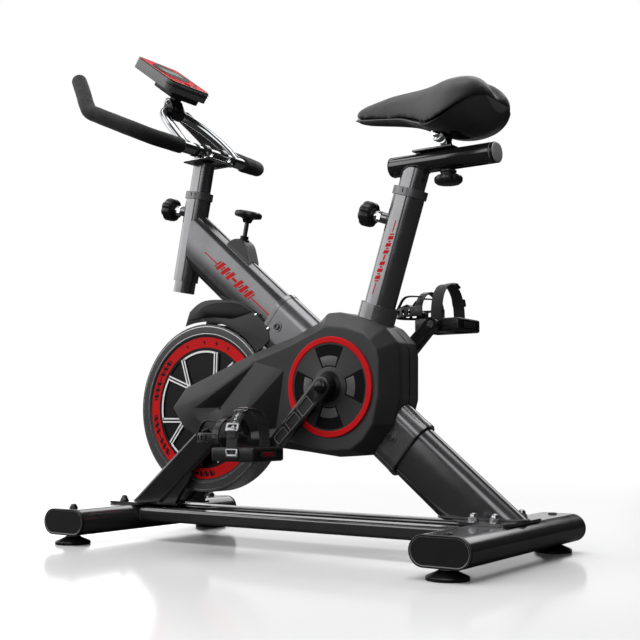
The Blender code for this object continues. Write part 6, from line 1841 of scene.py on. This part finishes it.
def foam_grip(name, s):
    """A foam sleeve with rounded ends, made from the bar's own line."""
    pts = [Vector((p.x, s * p.y, p.z)) for p in half if p.y >= 0.0995]
    end = pts[-1] + (pts[-1] - pts[-2]).normalized() * 0.0040
    pts = pts + [end]
    lengths = [0.0]
    for a, b in zip(pts, pts[1:]):
        lengths.append(lengths[-1] + (b - a).length)
    total = lengths[-1]

    def at_len(d):
        for i in range(len(pts) - 1):
            if lengths[i + 1] >= d:
                k = (d - lengths[i]) / max(lengths[i + 1] - lengths[i], 1e-9)
                return pts[i].lerp(pts[i + 1], k)
        return pts[-1]

    path, radii = [], []
    e = 0.0085
    for k in range(9):
        a = math.pi / 2 * k / 8
        path.append(at_len(0.0030 * (1 - math.cos(a)) + 1e-6))
        radii.append(GRIP_R - 0.0034 * (1 - math.sin(a)))
    steps = 150
    for k in range(1, steps):
        path.append(at_len(0.0030 + (total - 0.0030 - e) * k / steps))
        radii.append(GRIP_R)
    for k in range(13):
        a = math.pi / 2 * k / 12.4
        path.append(at_len(total - e + e * math.sin(a)))
        radii.append(GRIP_R - e + e * math.cos(a))
    sec = circle(1.0, 48)
    g = sweep(name, path, sec, scale=lambda i, n: radii[i], up=(0, 0, 1))
    for v in g.data.vertices:
        nse = noise.noise(Vector(v.co) * 55.0) * 0.00035 + noise.noise(Vector(v.co) * 210.0) * 0.00010
        ref = min(path, key=lambda p: (p - v.co).length_squared)
        d = (v.co - ref)
        if d.length > 0.006:
            v.co += d.normalized() * (nse - 0.00030)
    return g


for s, tag in ((-1, "left"), (1, "right")):
    g = foam_grip(f"{tag}_foam", s)
    put(shade(g, 60, weighted=False), "handlebar", M["foam"], f"{tag}_grip")
rings = []
for s in (-1, 1):
    r = lathe(f"br{s}", [(BAR_R, -0.0042), (BAR_R + 0.0016, -0.0036), (BAR_R + 0.0018, 0.0), (BAR_R + 0.0016, 0.0036), (BAR_R, 0.0042)], (BAR_X, s * 0.0590, BAR_Z), (0, 1, 0), 48, ring=True)
    skin(r, M["rubber_gloss"])
    rings.append(r)
put(shade(merge("bar_bands", rings), 40), "handlebar", None)

# ================================================================ monitor
MON_C = Vector((-0.3593, 0, 1.0118))
MON_N = unit(0.588, 0.809)
MON_U = unit(-0.809, 0.588)
MON_W, MON_L, MON_T = 0.1300, 0.1290, 0.0250
TILT_P = Vector((-0.360687, 0, 0.947585))


def mon(u, v, h):
    """A point on the monitor: u up its face, v across it, h out of it."""
    return MON_C + MON_U * u + Vector((0, 1, 0)) * v + MON_N * h


def mon_axes(u, v, h):
    return axes(mon(u, v, h), MON_N, MON_U)


BTN = MON_C - MON_U * 0.0480
parts = []
shell = prism("ms", [rounded(MON_L, MON_W, 0.014, 10)], MON_T - 0.0024, mon_axes(0, 0, -0.0024 - (MON_T - 0.0024) / 2))
shell = cut(shell, rod("mb", BTN - MON_N * 0.0060, BTN + MON_N * 0.0200, 0.0083, 48))
shell = soften(shell, 0.0012, 3, 40)
skin(shell, M["mon_grey"])
parts.append(shade(shell, 30))
bezel = prism("mz", [rounded(MON_L - 0.0006, MON_W - 0.0006, 0.0138, 10), rounded(MON_L - 0.0070, MON_W - 0.0070, 0.0110, 10)], 0.0024, mon_axes(0, 0, -0.0012))
bezel = soften(bezel, 0.0009, 3, 40)
skin(bezel, M["plastic_gloss"])
parts.append(bezel)
face = prism("mf", [rounded(MON_L - 0.0074, MON_W - 0.0074, 0.0110, 10)], 0.0020, mon_axes(0, 0, -0.0016))
face = cut(face, rod("mb2", BTN - MON_N * 0.0060, BTN + MON_N * 0.0200, 0.0083, 48))
skin(face, M["mon_red"])
parts.append(face)


def lens_loop(u0, u1, w, bulge=0.5, n=20):
    """A lens: two arcs that meet at the top and bottom."""
    out = []
    for i in range(n + 1):
        t = i / n
        out.append((u0 + (u1 - u0) * t, w * math.sin(math.pi * t) ** bulge))
    for i in range(1, n):
        t = 1 - i / n
        out.append((u0 + (u1 - u0) * t, -w * math.sin(math.pi * t) ** bulge))
    return out


lens = prism("ml", [lens_loop(-0.0330, 0.0550, 0.0510, 0.62)], 0.0009, mon_axes(0, 0, -0.0002))
skin(lens, M["mon_black"])
parts.append(lens)
lcd = prism("mc", [rounded(0.0300, 0.0640, 0.0030, 5)], 0.0004, mon_axes(0.0120, 0, 0.0004))
skin(lcd, M["mon_glass"])
parts.append(lcd)
for k in range(5):
    a = (k - 2) * 0.0145
    t = prism(f"mt{k}", [rounded(0.0016, 0.0090, 0.0006, 3)], 0.0003, mon_axes(-0.0120, a, 0.0004))
    skin(t, M["grey_light"])
    parts.append(t)
for sgn in (-1, 1):
    sw = prism(f"mw{sgn}", [[(-0.0560, sgn * 0.0200), (-0.0300, sgn * 0.0460), (0.0000, sgn * 0.0500), (-0.0250, sgn * 0.0420), (-0.0470, sgn * 0.0180)]], 0.0004, mon_axes(0, 0, -0.0005))
    skin(sw, M["mon_black"])
    parts.append(sw)
# light two-layer strip round the rider's edge
for k, (h, w) in enumerate(((-0.0052, 0.0034), (-0.0105, 0.0026))):
    rim = []
    outline = rounded(MON_L + 0.0008, MON_W + 0.0008, 0.0146, 10)
    pts = [(u, v) for u, v in outline if u < -MON_L / 2 + 0.0300]
    pts.sort(key=lambda q: math.atan2(q[1], -(q[0] + MON_L / 2 - 0.030)))
    path = [mon(u, v, h) for u, v in pts]
    st = sweep(f"mstrip{k}", path, rounded(0.0014, w, 0.0006, 3), fixed_up=MON_N)
    bm = bmesh.new()
    bm.from_mesh(st.data)
    bm.to_mesh(st.data)
    bm.free()
    skin(st, M["grey_light"] if k == 0 else M["plastic_gloss"])
    parts.append(st)
back = block("mk", (0.0640, 0.0860, 0.0160), mon_axes(-0.0300, 0, -MON_T - 0.0040))
back = soften(back, 0.0040, 4, 40)
skin(back, M["plastic"])
parts.append(back)
lug = rod("mlug", TILT_P + Vector((0, -0.010, 0)), TILT_P + Vector((0, 0.010, 0)), 0.0085, 40)
web = block("mweb", (0.0150, 0.0200, 0.0180), axes(TILT_P + MON_N * 0.0090, MON_N, MON_U))
lug = join(lug, web)
skin(lug, M["plastic"])
parts.append(shade(lug, 30, 0.0006, 2, 45))
monitor = merge("monitor_case", parts)
monitor.data.shade_smooth()
monitor.data.set_sharp_from_angle(angle=math.radians(30))
put(monitor, "monitor", None, "monitor_housing")
btn = lathe("monitor_key", [(0, 0.0028), (0.0030, 0.0027), (0.0058, 0.0022), (0.0074, 0.0014), (0.0080, 0.0004), (0.0080, -0.0040), (0, -0.0040)], BTN, MON_N, 48)
put(shade(btn, 30), "monitor_button", M["red"], "monitor_button")

br = rod("brk", (-0.3607, -0.0200, 0.9262), (-0.3607, 0.0200, 0.9262), 0.0160, 48)
cheeks = [prism(f"bc{s}", [tapered((-0.3595, 0.9270), 0.0150, (TILT_P.x, TILT_P.z), 0.0085, 20)], 0.0090, side(s * 0.0150)) for s in (-1, 1)]
br = join(br, *cheeks)
fine_loop = tube("bl", loop_path, 0.0105 + GAP, 36, up=(0, 0, 1))
br = cut(br, fine_loop, rod("lc", TILT_P + Vector((0, -0.0104, 0)), TILT_P + Vector((0, 0.0104, 0)), 0.0105, 40))
skin(br, M["plastic_gloss"])
br = shade(br, 30, 0.0009, 3, 45)
pieces = [br]
for s in (-1, 1):
    n_ = dome_nut(f"bn{s}", (TILT_P.x, s * 0.0194, TILT_P.z), (0, s, 0), 0.0052, 0.0050, M["zinc"])
    pieces.append(n_)
    n2 = socket_screw(f"bs{s}", (-0.3535, s * 0.0198, 0.9330), (0, s, 0), 0.0040, 0.0018, 0.0020)
    pieces.append(n2)
br = merge("monitor_clamp", pieces)
br.data.shade_smooth()
br.data.set_sharp_from_angle(angle=math.radians(30))
put(br, "handlebar", None, "monitor_bracket")

# ================================================================ seat post, slider, carriage, knob
SP_TOP, SP_LOW = 0.7160, 0.4060
post = bar_between("sp0", on_seat(SP_LOW), on_seat(SP_TOP), SEAT_F, SPOST_L, SPOST_S, steps=28, inner=(SPOST_L - 0.005, SPOST_S - 0.005))
# The seat post uses the lighter paint copy: painted reflection.
skin(post, M["paint_light"])
slider = prism("sl0", [oval(SLIDER_W, SLIDER_H, 32)], SLIDER_X1 - 0.0100 - SLIDER_X0, axes(((SLIDER_X0 + SLIDER_X1 - 0.0100) / 2, 0, SLIDER_Z), (1, 0, 0), (0, 1, 0)))
slider = cut(
    slider,
    prism("sh", [oval(SLIDER_W - 0.006, SLIDER_H - 0.006, 24)], SLIDER_X1 - 0.283, axes(((0.283 + SLIDER_X1) / 2 + 0.001, 0, SLIDER_Z), (1, 0, 0), (0, 1, 0))),
    prism("sslot", [oval(0.1025, 0.0130, 12)], 0.09, at(0.3510, 0, SLIDER_Z)),
    bar_between("spin", on_seat(0.60), on_seat(SP_TOP), SEAT_F, SPOST_L, SPOST_S, steps=28),
)
# The slider uses the darker paint copy: painted shade.
skin(slider, M["paint_slider"])
cap = prism("sc0", [oval(SLIDER_W, SLIDER_H, 32)], 0.0100, axes((SLIDER_X1 - 0.0050, 0, SLIDER_Z), (1, 0, 0), (0, 1, 0)))
cap = soften(cap, 0.0030, 4, 50)
skin(cap, M["cap_light"])
band_of(cap, M["plastic_gloss"], lambda c, n, w=cap.matrix_world.copy(): abs((w.to_3x3() @ n).x) < 0.2 and (w @ c).x < SLIDER_X1 - 0.002)
nose_cap = prism("sc1", [oval(SLIDER_W + 0.0006, SLIDER_H + 0.0006, 32)], 0.0030, axes((SLIDER_X0 + 0.0017, 0, SLIDER_Z), (1, 0, 0), (0, 1, 0)))
nose_cap = soften(nose_cap, 0.0010, 3, 50)
skin(nose_cap, M["plastic_gloss"])
post = merge("seat_post_and_slider", [shade(post, 30), shade(slider, 30, 0.0005, 2, 50), cap, nose_cap])
post.data.shade_smooth()
post.data.set_sharp_from_angle(angle=math.radians(30))
put(post, "seat_post", None, "seat_post")
# weld between post and slider
bead = []
for u, v in oval(SPOST_L, SPOST_S, 20):
    base = on_seat(0.690) + SEAT_F * u + Vector((0, 1, 0)) * v
    flat_half = (SLIDER_W - SLIDER_H) / 2
    zz = SLIDER_Z - math.sqrt(max((SLIDER_H / 2) ** 2 - max(abs(v) - flat_half, 0.0) ** 2, 0.0)) + 0.0004
    bead.append(base + SEAT * ((zz - base.z) / SEAT.z))
bead.append(bead[0])
put(shade(sweep("slider_weld", bead, circle(0.0018, 10)), 60), "seat_post", M["paint_dark"])

SL_TOP = SLIDER_Z + SLIDER_H / 2
CAR_X0, CAR_X1 = 0.2560, 0.3380
car = block("car", (CAR_X1 - CAR_X0, 0.0420, 0.0042), at((CAR_X0 + CAR_X1) / 2, 0, SL_TOP + 0.0026))
car = soften(car, 0.0012, 3, 40)
skin(car, M["zinc_light"])
stem = rod("cst", (KNOB_X, 0, SL_TOP + 0.003), (KNOB_X, 0, 0.6910), 0.0055, 32)
skin(stem, M["zinc"])
tower = prism("ctw", [[(CLAMP_X - 0.017, SL_TOP + 0.004), (CLAMP_X + 0.017, SL_TOP + 0.004), (CLAMP_X + 0.0130, CLAMP_Z), (CLAMP_X - 0.0130, CLAMP_Z)]], 0.0240, side())
hub = rod("chb", (CLAMP_X, -0.0120, CLAMP_Z), (CLAMP_X, 0.0120, CLAMP_Z), 0.0120, 48)
tower = join(tower, hub)
tower = cut(tower, rod("cbb", (CLAMP_X, -0.04, CLAMP_Z), (CLAMP_X, 0.04, CLAMP_Z), 0.0047, 32))
tower = soften(tower, 0.0012, 3, 45)
skin(tower, M["chrome"])
car = merge("carriage", [car, stem, shade(tower, 30)])
car.data.shade_smooth()
car.data.set_sharp_from_angle(angle=math.radians(30))
put(car, "saddle_carriage", None, "saddle_carriage")

kn = lathe(
    "slk",
    [(0.0060, 0.7040), (0.0142, 0.7040), (0.0150, 0.7035), (0.0154, 0.7020), (0.0148, 0.7000), (0.0136, 0.6985), (0.0138, 0.6970),
     (0.0165, 0.6957), (0.0215, 0.6945), (0.0246, 0.6929), (0.0260, 0.6903), (0.0263, 0.6865), (0.0258, 0.6835), (0.0240, 0.6807),
     (0.0210, 0.6789), (0.0150, 0.6779), (0.0080, 0.6776), (0, 0.6775), (0, 0.6905), (0.0060, 0.6905)],
    (KNOB_X, 0, 0), (0, 0, 1), 96, ring=True, wave=fluted(8, 0.07, range(8, 14)),
)
put(shade(kn, 35), "slider_lock_knob", M["knob"], "slider_lock_knob")

# ================================================================ saddle
parts = []
for s in (-1, 1):
    ear = prism(f"ear{s}", [tapered((CLAMP_X, CLAMP_Z), 0.0130, (CLAMP_X, CLAMP_Z + 0.0130), 0.0100, 24)], 0.0060, side(s * 0.0160))
    ear = soften(ear, 0.0010, 3, 45)
    skin(ear, M["chrome"])
    parts.append(ear)
    tooth = lathe(
        f"tw{s}", [(0.0045, 0.0), (0.0108, 0.0), (0.0110, -0.0006), (0.0110, -0.0016), (0.0045, -0.0016)], (CLAMP_X, s * 0.0208, CLAMP_Z), (0, s, 0), 48, ring=True
    )
    skin(tooth, M["zinc"])
    parts.append(tooth)
    nt = dome_nut(f"snt{s}", (CLAMP_X, s * 0.0190, CLAMP_Z), (0, s, 0), 0.0092, 0.0070)
    parts.append(nt)
bolt = rod("sbolt", (CLAMP_X, -0.0230, CLAMP_Z), (CLAMP_X, 0.0230, CLAMP_Z), 0.0043, 32)
skin(bolt, M["zinc"])
parts.append(bolt)
yoke = block("syoke", (0.0700, 0.0560, 0.0050), at(CLAMP_X, 0, 0.7925))
yoke = soften(yoke, 0.0010, 3, 45)
skin(yoke, M["zinc"])
parts.append(yoke)
br = merge("saddle_clamp", parts)
br.data.shade_smooth()
br.data.set_sharp_from_angle(angle=math.radians(30))
put(br, "saddle", None, "saddle_bracket")

STATIONS = [
    (0.1245, 0.0060, 0.8282, 0.8378, 0.8320, 0.8272),
    (0.1290, 0.0140, 0.8256, 0.8468, 0.8310, 0.8250),
    (0.1450, 0.0205, 0.8217, 0.8535, 0.8275, 0.8212),
    (0.1750, 0.0250, 0.8169, 0.8590, 0.8230, 0.8165),
    (0.2100, 0.0300, 0.8114, 0.8640, 0.8180, 0.8110),
    (0.2450, 0.0385, 0.8040, 0.8650, 0.8120, 0.8035),
    (0.2800, 0.0530, 0.7895, 0.8645, 0.8060, 0.7850),
    (0.3100, 0.0710, 0.7785, 0.8660, 0.8040, 0.7720),
    (0.3400, 0.0890, 0.7785, 0.8690, 0.8040, 0.7650),
    (0.3700, 0.0990, 0.7870, 0.8680, 0.8040, 0.7640),
    (0.3950, 0.0940, 0.8000, 0.8630, 0.8060, 0.7700),
    (0.4130, 0.0760, 0.8140, 0.8510, 0.8110, 0.7840),
    (0.4220, 0.0500, 0.8225, 0.8365, 0.8170, 0.7980),
]


def stations(steps):
    """The saddle's sections, spline-filled between the stations."""
    rows = [Vector(s[:3]) for s in STATIONS], [Vector(s[3:6]) for s in STATIONS]
    a, b = smooth_path(rows[0], steps), smooth_path(rows[1], steps)
    return [(p.x, max(p.y, 0.004), p.z, q.x, q.y, q.z) for p, q in zip(a, b)]


def smoothstep(a, b, x):
    t = min(max((x - a) / (b - a), 0.0), 1.0)
    return t * t * (3 - 2 * t)


def loft(name, sections):
    bm = bmesh.new()
    rings_ = [[bm.verts.new(p) for p in sec] for sec in sections]
    n = len(rings_[0])
    for a, b in zip(rings_, rings_[1:]):
        for i in range(n):
            bm.faces.new((a[i], a[(i + 1) % n], b[(i + 1) % n], b[i]))
    bm.faces.new(rings_[0])
    bm.faces.new(rings_[-1])
    return from_bm(name, bm)


def channel_depth(x, y):
    """The pressure channel along the middle, opening into a cleft at the back."""
    wide = 0.0085 + 0.010 * smoothstep(0.36, 0.425, x)
    along = smoothstep(0.205, 0.255, x)
    deep = 0.0024 * along + 0.0165 * smoothstep(0.365, 0.418, x)
    return deep * math.exp(-(y / wide) ** 2)


rows = []
for x, w, rim, crown, under, bottom in stations(5):
    ring_ = []
    w_, rim_ = w - 0.0016, rim
    for i in range(41):
        a = math.pi * i / 40
        yy = -w_ * math.cos(a)
        zz = rim_ + (crown - 0.0014 - rim_) * math.sin(a) ** 0.62
        zz -= channel_depth(x, yy) * min(1.0, (zz - rim_) / 0.02 if zz > rim_ else 0.0)
        ring_.append((x, yy, zz))
    for k in range(1, 12):
        t = 1 - 2 * k / 12
        ring_.append((x, w_ * t * 0.985, under + (rim_ - under) * abs(t) ** 5 + 0.0006))
    rows.append(ring_)
pad = loft("saddle_pad", rows)


def swell(obj, voxel, pressure, cap, fixed):
    """Cloth pressure on a remeshed copy, its movement capped, then baked. fixed(co) is the share held in place."""
    mod = obj.modifiers.new("voxels", "REMESH")
    mod.mode = "VOXEL"
    mod.voxel_size = voxel
    obj = baked(obj, 0)
    before = [v.co.copy() for v in obj.data.vertices]
    scene = bpy.context.scene
    grp = obj.vertex_groups.new(name="pin")
    for v in obj.data.vertices:
        grp.add([v.index], fixed(v.co), "REPLACE")
    cloth = obj.modifiers.new("cloth", "CLOTH")
    cloth.settings.use_pressure = True
    cloth.settings.uniform_pressure_force = pressure
    cloth.settings.quality = 6
    cloth.settings.mass = 0.3
    cloth.settings.tension_stiffness = 15
    cloth.settings.compression_stiffness = 15
    cloth.settings.bending_stiffness = 0.8
    cloth.settings.vertex_group_mass = "pin"
    cloth.settings.effector_weights.gravity = 0
    cloth.collision_settings.use_self_collision = False
    cloth.point_cache.frame_start = 1
    cloth.point_cache.frame_end = 20
    for f in range(1, 21):
        scene.frame_set(f)
    obj = baked(obj, 0)
    scene.frame_set(1)
    for v, co in zip(obj.data.vertices, before):
        move = v.co - co
        if move.length > cap:
            move = move.normalized() * cap
        v.co = co + move * (1.0 - 0.9 * fixed(co))
    mod = obj.modifiers.new("even", "CORRECTIVE_SMOOTH")
    mod.factor = 0.5
    mod.iterations = 6
    mod.use_only_smooth = True
    mod = obj.modifiers.new("sub", "SUBSURF")
    mod.levels = mod.render_levels = 1
    return baked(obj, 0)


def pinned(co):
    """The underside and the rim stay where the shell holds them."""
    best = min(STATIONS, key=lambda s: abs(s[0] - co.x))
    return 1.0 - smoothstep(best[2] - 0.002, best[2] + 0.012, co.z)


pad = swell(pad, 0.0040, 4.0, 0.0030, pinned)
bm = bmesh.new()
bm.from_mesh(pad.data)
bm.verts.ensure_lookup_table()
for v in bm.verts:
    x, y, z = v.co
    if z > 0.825:
        # sewn seams: a shallow groove each side of the channel
        side_line = 0.0215 + 0.030 * smoothstep(0.25, 0.36, x)
        g = math.exp(-((abs(y) - side_line) / 0.0022) ** 2) * smoothstep(0.175, 0.20, x) * (1 - smoothstep(0.385, 0.40, x))
        v.co.z -= 0.0009 * g
bm.to_mesh(pad.data)
bm.free()
skin(pad, M["vinyl"])
put(shade(pad, 70, weighted=False), "saddle", None, "saddle_cushion")

rows = []
for x, w, rim, crown, under, bottom in stations(5):
    w2 = max(w - 0.0028, 0.003)
    inner = under - 0.0006
    top = min(rim - 0.0018, inner)
    drop = top - bottom
    ring_ = [(x, w2, top), (x, 0.5 * w2, inner), (x, -0.5 * w2, inner), (x, -w2, top)]
    for i in range(1, 16):
        t = i / 16
        ang = math.pi * t
        yy = -w2 * math.cos(ang)
        flat_ = math.sin(ang) ** 2.6
        ring_.append((x, yy, top - drop * flat_))
    rows.append(ring_)
base = loft("saddle_shell", rows)
well = prism("sw", [rounded(0.0980, 0.0660, 0.008, 5)], 0.05, at(CLAMP_X, 0, 0.7954 - 0.025))
base = cut(base, well)
skin(base, M["saddle_shell"])
put(shade(base, 40), "saddle", None, "saddle_base")

# piping along the saddle's lower edge
lip = [(x, w - 0.0006, rim - 0.0004) for x, w, rim, crown, under, bottom in stations(5) if 0.1285 < x < 0.300]
loop = [Vector((x, -w, z)) for x, w, z in lip[::-1]] + [Vector((x, w, z)) for x, w, z in lip]
put(shade(sweep("saddle_piping", loop, circle(0.0011, 10), up=(0, 0, 1)), 80, weighted=False), "saddle", M["piping"])

# ================================================================ CAD nodes that stay, with their own finishes
KEEP = {
    "drive_belt": "belt", "drive_pulley": "plastic", "flywheel_pulley": "zinc", "flywheel_axle": "zinc", "crank_axle": "zinc",
    "bottom_bracket": "zinc", "brake_pad": "felt", "left_pedal_spindle": "zinc", "right_pedal_spindle": "zinc",
}
for node_name, key in KEEP.items():
    obj = NODES[node_name]
    obj.data.materials.clear()
    obj.data.materials.append(M[key])
    for p in obj.data.polygons:
        p.use_smooth = True
    obj.data.set_sharp_from_angle(angle=math.radians(35))

# ================================================================ floor, light, camera
floor = bpy.data.meshes.new("floor")
bm = bmesh.new()
bmesh.ops.create_grid(bm, x_segments=1, y_segments=1, size=14.0)
bm.to_mesh(floor)
bm.free()
floor = link("studio_floor", floor)
fm = bpy.data.materials.new("studio_floor")
tree, nodes, links, bsdf = wires(fm)
bsdf.inputs["Base Color"].default_value = (0.88, 0.88, 0.885, 1)
bsdf.inputs["Roughness"].default_value = 0.13
bsdf.inputs["Specular IOR Level"].default_value = 0.45
pos = new_node(tree, "ShaderNodeTexCoord").outputs["Object"]
away = new_node(tree, "ShaderNodeVectorMath")
away.operation = "LENGTH"
links.new(pos, away.inputs[0])
glow = nodes.new("ShaderNodeEmission")
glow.inputs["Color"].default_value = (1, 1, 1, 1)
glow.inputs["Strength"].default_value = 1.0
fade = mapped(tree, away.outputs["Value"], 0.75, 2.6, 0.0, 1.0, smooth=True)
far_mix = nodes.new("ShaderNodeMixShader")
links.new(fade, far_mix.inputs[0])
links.new(bsdf.outputs[0], far_mix.inputs[1])
links.new(glow.outputs[0], far_mix.inputs[2])
dim = nodes.new("ShaderNodeBsdfDiffuse")
dim.inputs["Color"].default_value = (0.045, 0.045, 0.045, 1)
path_kind = nodes.new("ShaderNodeLightPath")
seen = nodes.new("ShaderNodeMixShader")
links.new(path_kind.outputs["Is Camera Ray"], seen.inputs[0])
links.new(dim.outputs[0], seen.inputs[1])
links.new(far_mix.outputs[0], seen.inputs[2])
links.new(seen.outputs[0], nodes["Material Output"].inputs["Surface"])
floor.data.materials.append(fm)
floor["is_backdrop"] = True

world = bpy.data.worlds.new("studio")
bpy.context.scene.world = world
world.use_nodes = True
wt = world.node_tree
wt.nodes.clear()
outn = wt.nodes.new("ShaderNodeOutputWorld")
coord = wt.nodes.new("ShaderNodeTexCoord")
sep = wt.nodes.new("ShaderNodeSeparateXYZ")
wt.links.new(coord.outputs["Generated"], sep.inputs[0])
sx, sy, sz = sep.outputs


def w_math(op, a, b=None):
    return maths(wt, op, a, b)


def w_step(source, a, b, lo=0.0, hi=1.0):
    return mapped(wt, source, a, b, lo, hi, smooth=True)


flat_len = w_math("SQRT", w_math("ADD", w_math("MULTIPLY", sx, sx), w_math("MULTIPLY", sy, sy)))
flat_len = w_math("MAXIMUM", flat_len, 0.001)


def facing(deg, half, soft):
    """1 inside a sector of the horizon round an azimuth measured from +X."""
    a = math.radians(deg)
    dot = w_math("ADD", w_math("MULTIPLY", sx, math.cos(a)), w_math("MULTIPLY", sy, math.sin(a)))
    dot = w_math("DIVIDE", dot, flat_len)
    return w_step(dot, math.cos(math.radians(half + soft)), math.cos(math.radians(half)))


def height(z0, z1, soft=0.06):
    return w_math("MULTIPLY", w_step(sz, z0 - soft, z0), w_step(sz, z1, z1 + soft, 1.0, 0.0))


def panel(deg, half, soft, z0, z1, strength, zsoft=0.06):
    return w_math("MULTIPLY", w_math("MULTIPLY", facing(deg, half, soft), height(z0, z1, zsoft)), strength)


total = w_step(sz, -0.2, 1.0, 0.03, 0.16)
total = w_math("MULTIPLY", total, w_math("SUBTRACT", 1.0, w_math("MULTIPLY", facing(40, 70, 25), 0.8)))
for args in (
    (215, 31, 3, 0.165, 0.52, 2.10, 0.14),   # front left
    (158, 24, 5, 0.04, 0.45, 1.05, 0.10),    # front
    (281, 17, 4, 0.13, 0.52, 2.00, 0.13),    # camera side
    (98, 24, 8, 0.44, 0.70, 2.2, 0.05),      # high at the back
    (176, 34, 8, 0.70, 0.80, 2.2, 0.04),     # high strip at the front
    (125, 15, 8, 0.01, 0.15, 0.8, 0.03),     # low strip at the back, for the flat tops
):
    total = w_math("ADD", total, panel(*args))
overhead = w_math("MULTIPLY", w_step(sz, 0.90, 0.955), 3.0)
total = w_math("ADD", total, overhead)
env = wt.nodes.new("ShaderNodeBackground")
env.inputs["Color"].default_value = (1, 1, 1, 1)
wt.links.new(total, env.inputs["Strength"])
white = wt.nodes.new("ShaderNodeBackground")
white.inputs["Color"].default_value = (1, 1, 1, 1)
white.inputs["Strength"].default_value = 1.0
lp = wt.nodes.new("ShaderNodeLightPath")
mix = wt.nodes.new("ShaderNodeMixShader")
wt.links.new(lp.outputs["Is Camera Ray"], mix.inputs[0])
wt.links.new(env.outputs[0], mix.inputs[1])
wt.links.new(white.outputs[0], mix.inputs[2])
wt.links.new(mix.outputs[0], outn.inputs["Surface"])


def area(name, loc, target, size, power, size_y=None, spread=180.0):
    light = bpy.data.lights.new(name, "AREA")
    light.shape = "RECTANGLE"
    light.size = size
    light.size_y = size_y or size
    light.energy = power
    light.spread = math.radians(spread)
    obj = bpy.data.objects.new(name, light)
    COLL.objects.link(obj)
    obj.location = loc
    d = Vector(target) - Vector(loc)
    obj.rotation_euler = d.to_track_quat("-Z", "Y").to_euler()
    obj.visible_glossy = False
    return obj


area("key_top", (0.1, -0.2, 2.8), (0.0, 0.0, 0.4), 2.6, 40, 2.2)
area("key_left", (-1.9, -2.3, 1.7), (0.0, 0.0, 0.55), 1.3, 13, 1.7)
area("fill_right", (2.3, -2.4, 1.5), (0.0, 0.0, 0.45), 1.4, 9, 1.4)
area("rim_back", (-0.6, 2.6, 1.6), (0.0, 0.0, 0.5), 1.8, 7, 1.2)

scene = bpy.context.scene
scene.view_settings.view_transform = "Standard"
scene.view_settings.look = "None"
scene.view_settings.exposure = 0.0
cam_data = bpy.data.cameras.new("camera")
cam_data.sensor_width = 36.0
cam_data.lens = 59.54
cam_data.clip_end = 60.0
cam = bpy.data.objects.new("camera", cam_data)
COLL.objects.link(cam)
cam.location = (1.212 + X0, -1.707, 0.250)
az, pitch = math.radians(34.6), math.radians(5.33)
look = Vector((-math.sin(az) * math.cos(pitch), math.cos(az) * math.cos(pitch), math.sin(pitch)))
cam.rotation_euler = look.to_track_quat("-Z", "Y").to_euler()
scene.camera = cam

# ================================================================ sizes and finish
lo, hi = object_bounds()
